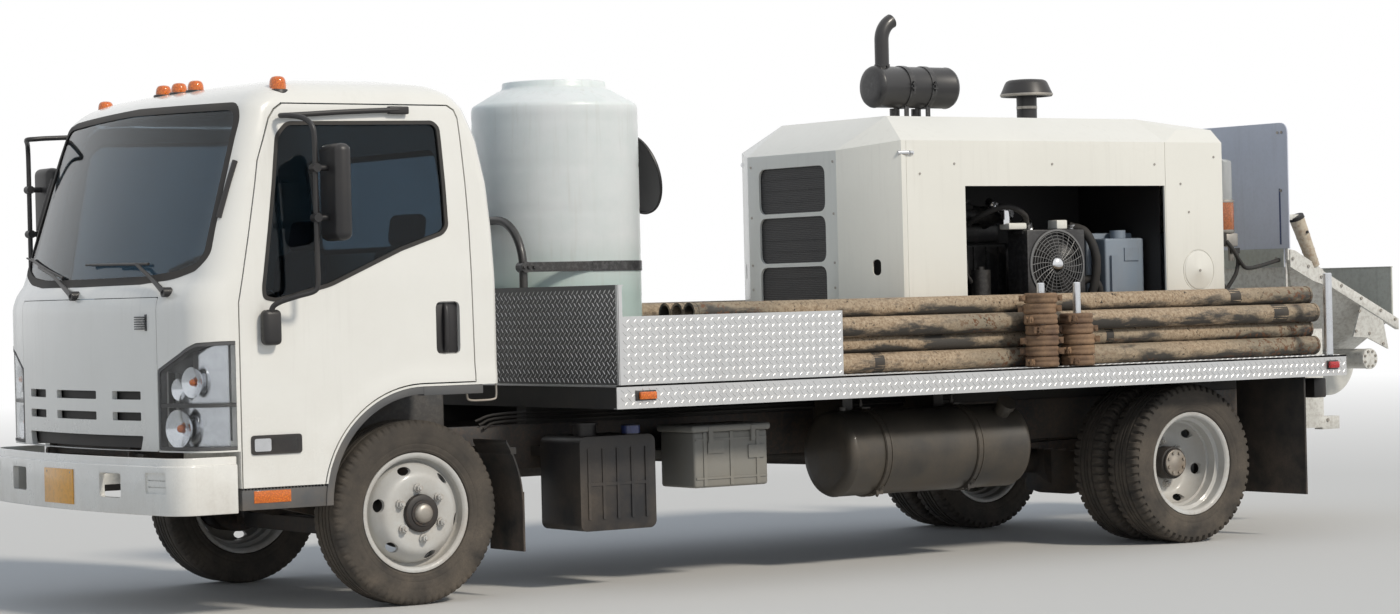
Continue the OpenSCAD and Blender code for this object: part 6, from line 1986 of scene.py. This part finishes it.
def makeLines(s):
    rng = random.Random(11)
    length = s["front"] - s["back"]
    ends = [(0, 50), (13, 50), (14, 46.8), (26, 46.8), (28, 49.2), (66, 49.2), (68, 50), (74, 50),
            (78, 48.2), (110, s["radius"])]
    plain = [(d, s["radius"]) for d in range(300, int(length) - 200, 210)]
    stations = ends + plain + [(length - d, r) for d, r in ends[::-1]]
    tubes, shadowBands = [], []
    for row, column, y, z in linePlaces(s):
        by, bz, wave = rng.uniform(-1, 1), rng.uniform(-1, 1), rng.uniform(0, 3)
        lift = 3 if row == 3 else 0

        def middle(d):
            t = d / length
            sway = math.sin(math.pi * t) * s["bend"]
            return at(s["back"] + d, y + by * sway * math.sin(wave + 3 * t),
                      z + bz * sway * math.cos(wave + 2 * t) + lift * (1 - t) ** 4)

        bm = bmesh.new()
        rows = []
        for d, r in stations + [(d, s["bore"]) for d in (length, length - 60, length / 2, 60, 0)]:
            c = middle(d)
            rows.append([bm.verts.new(c + Vector((0, math.cos(a), math.sin(a))) * r / 1000)
                         for a in [2 * math.pi * k / s["facets"] for k in range(s["facets"])]])
        closeLoops(bm, rows, True)
        bmesh.ops.recalc_face_normals(bm, faces=bm.faces)
        tubes.append(bm)
        # Dark bands round some lines, painted shadows of the stakes and couplings
        where = {(3, 0): (515, 590), (2, 0): (225, 330), (3, 1): (2210, 2270), (1, 0): (1400, 1450),
                 (0, 0): (2900, 2960), (2, 1): (880, 950)}.get((row, column))
        if where:
            shadowBands.append(sweep([middle(d) for d in (where[0], where[0] + 6, where[1] - 4, where[1])], 0.0486,
                               24, ripple=lambda n, a: -0.0004 * (1 + math.sin(a * 5 + n))))
    lines = newPiece("delivery_lines_muddy", joinMeshes(tubes), lineMud)
    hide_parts("delivery_lines")
    newPiece("line_painted_shadows", joinMeshes(shadowBands), shadowBandBlack)


makeLines(lineSet)


def makeCouplings():
    parts = []
    rng = random.Random(5)
    for s, (cx, count) in enumerate(((-3423, 7), (-3655, 5))):
        for k in range(count):
            ring = turned([(54, 0.5), (74, 0.5), (80, 4), (83.6, 11), (82.4, 20), (80.5, 23), (80.5, 29),
                           (82.4, 32), (83.6, 41), (80, 48), (74, 51.2), (54, 51.2), (54, 40), (62, 39),
                           (62, 13), (54, 12)], 36, "z")
            for a in (-8, 172):
                ear = bmesh.new()
                for y0, y1 in ((-17, -6.5), (6.5, 17)):
                    addBox(ear, (0.079, y0 / 1000, 0.011), (0.1065, y1 / 1000, 0.041))
                addRod(ear, (0.094, -0.023, 0.026), (0.094, 0.023, 0.026), 0.0055, 8)
                addRod(ear, (0.094, 0.0165, 0.026), (0.094, 0.0235, 0.026), 0.0095, 6)
                addRod(ear, (0.094, -0.0225, 0.026), (0.094, -0.0165, 0.026), 0.0095, 6)
                bmesh.ops.rotate(ear, cent=(0, 0, 0), matrix=Matrix.Rotation(math.radians(a), 3, "Z"),
                                 verts=ear.verts)
                ring = joinMeshes([ring, ear])
            turn = (20, 46, -14, -36)[(k * 3 + s) % 4]
            bmesh.ops.rotate(ring, cent=(0, 0, 0), matrix=Matrix.Rotation(math.radians(turn), 3, "Z"),
                             verts=ring.verts)
            place = at(cx + rng.uniform(-5, 5), 1127 + rng.uniform(-5, 5), 932.3 + k * 52)
            parts.append(placeAt(ring, place))
    piece = newPiece("couplings_clamped", mirrored(joinMeshes(parts)), rustyIron)
    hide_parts("couplings")
    bm = bmesh.new()
    for side in (1, -1):
        for x, y, r, top in ((-3423, 1127, 0.020, 1345), (-3655, 1127, 0.020, 1345),
                             (-5320, 1195, 0.023, 1362)):
            addRods(bm, (x, y * side, 932.3, x, y * side, top - 4, r, 28),
                        (x, y * side, top - 4, x, y * side, top, r, 28, r - 0.004),
                        (x, y * side, 932.3, x, y * side, 938, r + 0.0155 if y < 1150 else r, 28))
    stakes = newPiece("stakes_round", bm, makeChrome("drawn aluminium tube", (0.72, 0.74, 0.77), 0.24),
                      "chassis", slotName="aluminium")
    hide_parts("stakes")


makeCouplings()
print("lines and couplings made")


# Behind the hood: grease unit, splash guard and hopper

rearSet = {"hose": 0.011, "greaseX": -5190, "greaseY": 560, "slotY": 575, "slotLow": 1523, "slotHigh": 1826}
# A pale sheet painted blue grey and bright: painted sky shade on its forward face, with painted light passing
# through the sheet
guardSheetPaintedShade = paint("pale splash sheet in painted sky shade", (0.62, 0.65, 0.74), 0.34, dustHeight=2.1,
                   dustColour=(0.40, 0.39, 0.36), wear=0.05, streaks=0.15, coat=0.1, variation=0.1)
cementPlate = paint("cement stained plate", (0.56, 0.58, 0.52), 0.6, dust=0.7, dustHeight=1.9,
                    dustColour=(0.47, 0.45, 0.39), wear=0.2, under=(0.18, 0.12, 0.08), streaks=0.5,
                    bump=0.25, variation=0.25)
hopperPaint = paint("hopper white paint", (0.74, 0.73, 0.68), 0.4, dust=0.55, dustHeight=1.75,
                    dustColour=(0.36, 0.35, 0.32), wear=0.3, under=(0.20, 0.14, 0.10), streaks=0.3,
                    coat=0.15, bump=0.1)
strutTan = paint("worn tan strut", (0.68, 0.60, 0.47), 0.6, dustHeight=2.4, dustColour=(0.26, 0.19, 0.12),
                 wear=0.5, under=(0.25, 0.11, 0.05), streaks=0.3, bump=0.3, variation=0.35)


def makeClearPlastic():
    mat, tree, shader = newMaterial("hazy clear plastic", 0.3, 0.0, 0.2)
    shader.inputs["Transmission Weight"].default_value = 0.72
    tone = noiseNode(tree, objectCoords(tree), 14, 5)
    join(tree, mixColour(tree, tone, (0.72, 0.74, 0.74), (0.86, 0.87, 0.86)), shader.inputs["Base Color"])
    return mat


clearPlastic = makeClearPlastic()


def makeGreaseUnit(s):
    def potPart(profile):
        return turned(profile, 48, "z", at(s["greaseX"], s["greaseY"], 0))

    amber = potPart([(0.1, 1606), (60, 1606), (61.5, 1610), (61.5, 1748), (60, 1752), (0.1, 1752)])
    unit = newPiece("grease_reservoir", amber, makeLens("amber grease pot", (0.52, 0.16, 0.045)), "chassis",
                    slotName="amber_plastic")
    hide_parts("grease_unit")
    newPiece("grease_cylinder", potPart([(50, 1766), (53.5, 1766), (53.5, 1962), (50, 1974), (30, 1982),
                                         (0.1, 1984), (0.1, 1981), (29, 1979), (47, 1971), (50, 1960)]),
             clearPlastic)
    metal = [potPart([(0.1, 1752), (62, 1752), (62.5, 1757), (61, 1766), (0.1, 1766)]),
             potPart([(0.1, 1588), (58, 1588), (62, 1594), (62, 1606), (0.1, 1606)]),
             meshOf(roundedBlock((-5252, 508, 1516), (-5168, 612, 1588), 0.008, 2))]
    rods = bmesh.new()
    for a in (35, 155, 275):
        x, y = s["greaseX"] + 57 * math.cos(math.radians(a)), s["greaseY"] + 57 * math.sin(math.radians(a))
        addRod(rods, at(x, y, 1600), at(x, y, 1757), 0.004, 8)
    addBox(rods, at(-5150, 541, 1461), at(-5080.5, 579, 1559))
    addRods(rods, (-5210, 596, 1440, -5210, 596, 1520, 0.016, 14),
                  (-5165, 570, 1470, -5165, 570, 1520, 0.013, 6))
    newPiece("grease_metal", joinMeshes(metal + [rods]), bareSteel)
    dark = [meshOf(roundedBlock((-5166, 520, 1518), (-5122, 616, 1592), 0.010, 2))]
    bm = bmesh.new()
    addBoxes(bm, (-5256, 590, 1478, -5196, 618, 1508), (-5136, 572, 1622, -5132, 590, 1740))
    dark.append(bm)
    for corners in (((-5240, 604, 1488), (-5246, 612, 1440), (-5228, 612, 1370), (-5180, 600, 1300),
                     (-5135, 580, 1240), (-5100, 560, 1200)), ((-5082, 590, 1372), (-5130, 600, 1330),
                                                               (-5185, 600, 1262), (-5240, 580, 1210),
                                                               (-5330, 565, 1150), (-5440, 560, 1068)),
                    ((-5165, 612, 1545), (-5185, 640, 1500), (-5230, 640, 1440), (-5300, 620, 1400),
                     (-5420, 600, 1410), (-5600, 560, 1440))):
        dark.append(hose(corners, s["hose"], 12))
    newPiece("grease_hoses", joinMeshes(dark), rubberBlack, "chassis", slotName="black_plastic")


makeGreaseUnit(rearSet)


def makeSplashGuard(s):
    outline = roundOutline(rectangle(-640, 640, 1500, 2183), 60)
    outline = [(-640, 1500), (640, 1500)] + [p for p in outline if p[1] > 1800]
    sheet = prismSolid(outline, -5609.6, -5601.8, "x")
    sheet = bevelEdges(sheet, 0.0015, 1, 40)
    piece = newPiece("splash_sheet", joinPieces([sheet, boxSolid((-5609.6, -598, 1400.4),
                                                                 (-5601.8, 598, 1500))]), guardSheetPaintedShade)
    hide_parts("splash_guard")
    strips, bolts = bmesh.new(), bmesh.new()
    for side in (1, -1):
        y = s["slotY"] * side
        addBox(strips, at(-5610.6, y - 6, s["slotLow"]), at(-5600.8, y + 6, s["slotHigh"]))
        for yy, z in ((y + 12 * side, 1815), (600 * side, 2130), (570 * side, 2130), (540 * side, 1450),
                      (200 * side, 1450)):
            addRods(bolts, (-5602, yy, z, -5596, yy, z, 0.008, 6), (-5615, yy, z, -5609, yy, z, 0.008, 6))
    newPiece("splash_strips", strips, paint("dark blue strip", (0.035, 0.055, 0.15), 0.4, dust=0.2,
                                            streaks=0.1, coat=0.4), "chassis", slotName="black_plastic")
    newPiece("splash_bolts", bolts, bareSteel)
    plate = bmesh.new()
    addBox(plate, at(-5601.6, -596, 1402), at(-5598.6, 596, 1501))
    newPiece("hopper_front_strip", plate, cementPlate)


makeSplashGuard(rearSet)


def makeHopperDetails():
    # Bolted flanges, gussets, the tan strut sleeves and the stained rear sheet
    bolts, white, tan, caps = bmesh.new(), [], [], bmesh.new()
    for side in (1, -1):
        gusset = prismSolid([(-5622, 1400), (-5622, 1496), (-5664, 1488), (-5800, 1420), (-5872, 1380),
                             (-5868, 1300), (-5790, 1322)], 618 * side, 623.5 * side)
        white.append(bevelEdges(gusset, 0.001, 1))
        for x, z in ((-5640, 1446), (-5756, 1402), (-5852, 1342), (-6010, 1292), (-6160, 1220),
                     (-6310, 1150), (-6420, 1098)):
            y = 623 if x > -5860 else 617
            addRod(bolts, at(x, y * side, z), at(x, (y + 7) * side, z), 0.009, 6)
        for k in range(8):
            a = math.radians(22.5 + 45 * k)
            x, z = agitatorAxis[0] + 43 * math.cos(a), agitatorAxis[1] + 43 * math.sin(a)
            addRod(bolts, at(x, 619 * side, z), at(x, 627 * side, z), 0.007, 6)
        for x, z in ((-6150, 1150), (-6120, 1040), (-6225, 1025), (-6330, 965)):
            addRod(bolts, at(x, 611 * side, z), at(x, 618 * side, z), 0.009, 6)
        for z in (560, 640, 930):
            addRod(bolts, at(-5700 if z > 600 else -5900, 599 * side, z),
                   at(-5700 if z > 600 else -5900, 606 * side, z), 0.010, 6)
        foot, head = at(-5822, 602 * side, 1402), at(-5700, 602 * side, 1660)
        sleeve = bmesh.new()
        addRod(sleeve, foot, head, 0.031, 32, 0.041)
        for t in (0.10, 0.32, 0.62):
            p, q = foot.lerp(head, t), foot.lerp(head, t + 0.03)
            addRod(sleeve, p, q, 0.0325 + 0.01 * t, 32)
        tan.append(sleeve)
        addRod(caps, head, head + (head - foot).normalized() * 0.018, 0.044, 32, 0.042)
        addRod(caps, foot.lerp(head, 0.72) + Vector((0, 0.039 * side, 0)),
               foot.lerp(head, 0.72) + Vector((0, 0.047 * side, 0)), 0.008, 6)
    flange = bmesh.new()
    for x0, x1, z0, z1 in ((-6441, -6426, 1386, 1392), (-6441, -6426, 1086, 1092)):
        addBox(flange, at(x0, -590, z0), at(x1, 590, z1))
    rear = [meshOf(roundedBlock((-6439.8, -589, 1089), (-6428.6, 589, 1386.5), 0.002, 1)), flange]
    newPiece("hopper_rear_cover", joinMeshes(rear), cementPlate)
    newPiece("hopper_gussets", joinPieces(white), hopperPaint)
    newPiece("hopper_bolts", bolts, bareSteel)
    newPiece("hopper_strut_sleeves", joinMeshes(tan), strutTan)
    newPiece("hopper_strut_caps", caps, gapBlack)


makeHopperDetails()
dressNode("hopper", hopperPaint, 0.002, 2)
print("rear end made")


# Lamps at the sides and the back

def makeTailLamps():
    shell = [bevelEdges(boxSolid((-5424, 838 * side, 708), (-5335, 1069 * side, 810)), 0.008, 2)
             for side in (1, -1)]
    shell += blocksEachSide(((-5360, 1217.5, 860, -5280, 1222, 906), (-1080, 1217.5, 860, -970, 1222, 906),
                             (-5430, 756, 838, -5422.5, 964, 916)), 0.002, 2)
    extra = bmesh.new()
    for side in (1, -1):
        addBox(extra, at(-5400, 900 * side, 810), at(-5360, 930 * side, 826))
        addRod(extra, at(-5345, 1000 * side, 770), at(-5333, 1000 * side, 770), 0.012, 12)
    route = ((-5340, 1000, 770), (-5300, 1000, 800), (-5252, 1000, 790), (-5226, 1000, 700),
             (-5215, 1000, 600), (-5190, 1000, 530), (-5151, 1000, 505))
    hoses = [hose(onSide(side, route), 0.008, 10) for side in (1, -1)]
    piece = newPiece("lamp_housings", joinMeshes([joinPieces(shell), extra] + hoses), blackPlastic)
    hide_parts("tail_lamps")
    red = blocksEachSide(((-5354, 1221.5, 866, -5286, 1240, 900), (-5448.5, 762, 844, -5429, 888, 910)),
                         0.005, 3)
    newPiece("red_lamps", joinPieces(red), redLens)
    amber = blocksEachSide(((-1074, 1221.5, 866, -986, 1240, 900), (-5448.5, 892, 844, -5429, 958, 910)),
                           0.005, 3)
    newPiece("amber_lamps", joinPieces(amber), amberLens)


makeTailLamps()


# Tanks, the battery box and thin pipes under the deck

fuelSet = {"y": 790, "z": 545, "back": -3470, "front": -2340, "straps": (-3131, -2566)}


def makeUnderDeck(s):
    middle = at(0, s["y"], s["z"])
    end = [(150, 0), (186, 6), (200, 18), (207.5, 34), (207.8, 40), (206.5, 46)]
    tank = turned([(0.1, s["back"])] + [(r, s["back"] + d) for r, d in end]
                  + [(r, s["front"] - d) for r, d in end[::-1]] + [(0.1, s["front"])], 72, "x", middle)
    straps = []
    for x in s["straps"]:
        straps.append(turned(rectangle(206.6, 212.5, x - 22, x + 22), 72, "x", middle))
        extra = bmesh.new()
        for k in (-1, 1):
            edge = turned([(212.5, x + 15 * k - 4), (216, x + 15 * k - 3), (216, x + 15 * k + 3),
                           (212.5, x + 15 * k + 4)], 72, "x", middle)
            straps.append(edge)
        addBox(extra, at(x - 20, 878, 345), at(x + 20, 912, 378))
        addRods(extra, (x, 886, 336, x, 930, 392, 0.007, 10), (x, 920, 379, x, 930, 392, 0.012, 6))
        addBoxes(extra, (x - 30, 425.3, 585, x + 30, 670, 825), (x - 24, 760, 752, x + 24, 820, 764))
        addRods(extra, (x, 775, 764, x, 775, 800, 0.006, 8), (x, 775, 770, x, 775, 782, 0.011, 6))
        straps.append(extra)
    neck = bmesh.new()
    addRods(neck, (-3330, 905, 700, -3330, 950, 745, 0.040, 32), (-3330, 948, 743, -3330, 966, 761, 0.047,
                                                                  32),
            (-2440, 790, 748, -2440, 790, 768, 0.022, 16))
    piece = newPiece("fuel_tank_rolled", joinMeshes([tank, neck] + straps), tankBlack)
    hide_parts("fuel_tank")

    box = [meshOf(roundedBlock((-1899, 641, 431), (-1481, 924, 691), 0.014, 3)),
           meshOf(roundedBlock((-1914, 631, 689), (-1466, 934, 721.5), 0.012, 3))]
    bits = bmesh.new()
    for x in (-1840, -1690, -1540):
        addBox(bits, at(x - 9, 922, 440), at(x + 9, 929, 688))
    addBox(bits, at(-1880, 425.3, 561), at(-1500, 645, 599))
    for x in (-1810, -1570):
        addBox(bits, at(x - 12, 926, 640), at(x + 12, 937, 712))
    for z in (470, 650):
        addBox(bits, at(-1890, 920, z), at(-1490, 928, z + 9))
    for x, z in ((-1830, 560), (-1600, 590)):
        addBox(bits, at(x - 45, 921, z), at(x + 45, 931, z + 60))
    piece = newPiece("battery_box_ribbed", joinMeshes(box + [bits]), boxGrey)
    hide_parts("battery_box")

    pipes = []
    for k, (yy, zz) in enumerate(((432, 800), (432, 782), (440, 764))):
        for side in (1, -1):
            route = ((-600 - k * 20, yy, zz - 30), (-760, yy, zz), (-1400, yy, zz), (-2400, yy, zz),
                     (-3300, yy, zz), (-3420 - k * 15, yy, zz - 20))
            pipes.append(hose(onSide(side, route), 0.006, 8, 5))
    route = ((-3120, 425, 610), (-3180, 520, 560), (-3300, 560, 500), (-3440, 520, 520), (-3520, 425, 600))
    pipes += [hose(onSide(side, route), 0.010, 10) for side in (1, -1)]
    newPiece("frame_pipes", joinMeshes(pipes), underDeckShadeBlack, "chassis", slotName="rubber_black")
    loop = ((-232, 996, 958), (-232, 996, 905), (-246, 996, 889), (-300, 996, 886), (-366, 996, 889),
            (-380, 996, 905), (-380, 996, 958))
    loop = [hose(onSide(side, loop), 0.005, 10, 6) for side in (1, -1)]
    newPiece("cab_rear_loop", joinMeshes(loop), bareSteel, "cab")
    ribs = bmesh.new()
    for k in range(5):
        addBox(ribs, at(-1236 + k * 78, 898, 318), at(-1222 + k * 78, 905, 640))
    addBox(ribs, at(-1240, 898, 470), at(-908, 904, 484))
    addRods(ribs, (-1000, 740, 694, -1000, 740, 742, 0.055, 28), (-1000, 740, 742, -1000, 740, 752, 0.062,
                                                                  28))
    newPiece("fluid_tank_ribs", ribs, blackPlastic)
    cap = turned([(0.1, 741), (36, 741), (43, 735), (43.5, 700), (0.1, 700)], 32, "z", at(-1180, 850, 0))
    newPiece("fluid_cap", cap, paint("dark blue cap", (0.02, 0.04, 0.16), 0.35, dust=0.3, streaks=0.2,
                                     coat=0.4), "chassis", slotName="black_plastic")


makeUnderDeck(fuelSet)
print("lamps, tanks and pipes made")


# Seats and steering wheel

seatSet = {"places": ((-560, "right"), (420, "left")), "recline": -8.6, "pivot": (-205, 1240)}


def makeSeats(s):
    # Rows hold two opposite corners, with Y from the seat's middle, and the edge's radius
    cushion = (((-180, -150, 1118), (288, 150, 1206), 0.036), ((-170, -226, 1112), (276, -140, 1214), 0.038),
               ((-170, 140, 1112), (276, 226, 1214), 0.038))
    back = (((-246, -146, 1222), (-178, 146, 1590), 0.032), ((-240, -222, 1222), (-164, -136, 1570), 0.036),
            ((-240, 136, 1222), (-164, 222, 1570), 0.036), ((-248, -130, 1585), (-176, 130, 1730), 0.034))
    rails = bmesh.new()
    for y0, word in s["places"]:
        lean = (Matrix.Rotation(math.radians(s["recline"]), 4, "Y"), (s["pivot"][0], y0, s["pivot"][1]))
        for name, rows, turn in (("seat_cushion_", cushion, ()), ("seat_back_", back, lean)):
            blocks = [roundedBlock((a[0], a[1] + y0, a[2]), (b[0], b[1] + y0, b[2]), r, 5, *turn)
                      for a, b, r in rows]
            pad = newPiece(name + word, joinPieces(blocks), seatCloth, "cab")
        addBox(rails, at(-170, y0 - 190, 1086), at(270, y0 + 190, 1114))
        for side in (-1, 1):
            addBox(rails, at(-240, y0 + 205 * side - 8, 1110), at(-180, y0 + 205 * side + 8, 1300))
    piece = newPiece("seat_frames", rails, blackPlastic, "cab")
    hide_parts("seats")


makeSeats(seatSet)


def makeWheelCover():
    # Thick rim, boss and spokes over the plain steering wheel
    centre = at(540, 430, 1370)
    turn = Matrix.Translation(centre) @ Matrix.Rotation(math.radians(-42), 4, "Y")
    rim = sweep([(0.213 * math.cos(a), 0.213 * math.sin(a), 0) for a in [2 * math.pi * k / 64
                                                                         for k in range(64)]], 0.0165, 14,
                closed=True)
    boss = turned([(0.1, 18), (45, 18), (66, 8), (70, -20), (0.1, -20)], 32, "z")
    spokes = bmesh.new()
    for a in (0, 180, 270):
        addBox(spokes, (0.05, -0.018, -0.008), (0.206, 0.018, 0.006),
               Matrix.Rotation(math.radians(a), 4, "Z"), (0, 0, 0))
    bm = joinMeshes([rim, boss, spokes])
    bmesh.ops.transform(bm, matrix=turn, verts=bm.verts)
    newPiece("steering_wheel_cover", bm, blackPlastic, "cab")


makeWheelCover()
print("cab inside made")


# Floor, light and world

lightSet = {
    "sunStrength": 2.3,
    "sunColour": (1.0, 0.93, 0.82),
    "sunSoftness": 9.0,  # degrees
    "sunFrom": (-0.25, 1.0, 0.85),  # direction towards the light
    "skyStrength": 0.5,
    "skyColour": (0.74, 0.85, 1.0),
    "floorColour": (0.62, 0.61, 0.59),
    "floorReach": 120,
}


def makeStage(s):
    sun = bpy.data.lights.new("warm key", "SUN")
    sun.energy = s["sunStrength"]
    sun.color = s["sunColour"]
    sun.angle = math.radians(s["sunSoftness"])
    lamp = bpy.data.objects.new("warm key", sun)
    lamp.rotation_mode = "QUATERNION"
    lamp.rotation_quaternion = Vector(s["sunFrom"]).to_track_quat("Z", "Y")
    bpy.context.scene.collection.objects.link(lamp)

    world = bpy.data.worlds.new("pale room")
    bpy.context.scene.world = world
    world.use_nodes = True
    tree = world.node_tree
    tree.nodes.clear()
    out = tree.nodes.new("ShaderNodeOutputWorld")
    light = tree.nodes.new("ShaderNodeBackground")
    light.inputs["Color"].default_value = (*s["skyColour"], 1)
    light.inputs["Strength"].default_value = s["skyStrength"]
    seen = tree.nodes.new("ShaderNodeBackground")
    seen.inputs["Color"].default_value = (1, 1, 1, 1)
    path = tree.nodes.new("ShaderNodeLightPath")
    direct = mathNode(tree, "MAXIMUM", path.outputs["Is Camera Ray"],
                      mathNode(tree, "MAXIMUM", path.outputs["Is Glossy Ray"],
                               path.outputs["Is Transmission Ray"]))
    mix = tree.nodes.new("ShaderNodeMixShader")
    join(tree, direct, mix.inputs[0])
    join(tree, light.outputs[0], mix.inputs[1])
    join(tree, seen.outputs[0], mix.inputs[2])
    join(tree, mix.outputs[0], out.inputs[0])

    bm = bmesh.new()
    bmesh.ops.create_circle(bm, cap_ends=True, segments=96, radius=s["floorReach"])
    mat, tree, shader = newMaterial("pale floor", 0.9)
    shader.inputs["Base Color"].default_value = (*s["floorColour"], 1)
    length = tree.nodes.new("ShaderNodeVectorMath")
    length.operation = "LENGTH"
    join(tree, objectCoords(tree), length.inputs[0])
    far = rampNode(tree, length.outputs["Value"], 7, 30)
    path = tree.nodes.new("ShaderNodeLightPath")
    white = tree.nodes.new("ShaderNodeEmission")
    mix = tree.nodes.new("ShaderNodeMixShader")
    join(tree, mathNode(tree, "MULTIPLY", far, path.outputs["Is Camera Ray"]), mix.inputs[0])
    join(tree, shader.outputs[0], mix.inputs[1])
    join(tree, white.outputs[0], mix.inputs[2])
    join(tree, mix.outputs[0], tree.nodes["Material Output"].inputs[0])
    floor = newPiece("floor", bm, mat, None, smooth=False)


makeStage(lightSet)
bpy.context.scene.view_settings.view_transform = "Standard"
print("stage and light set")
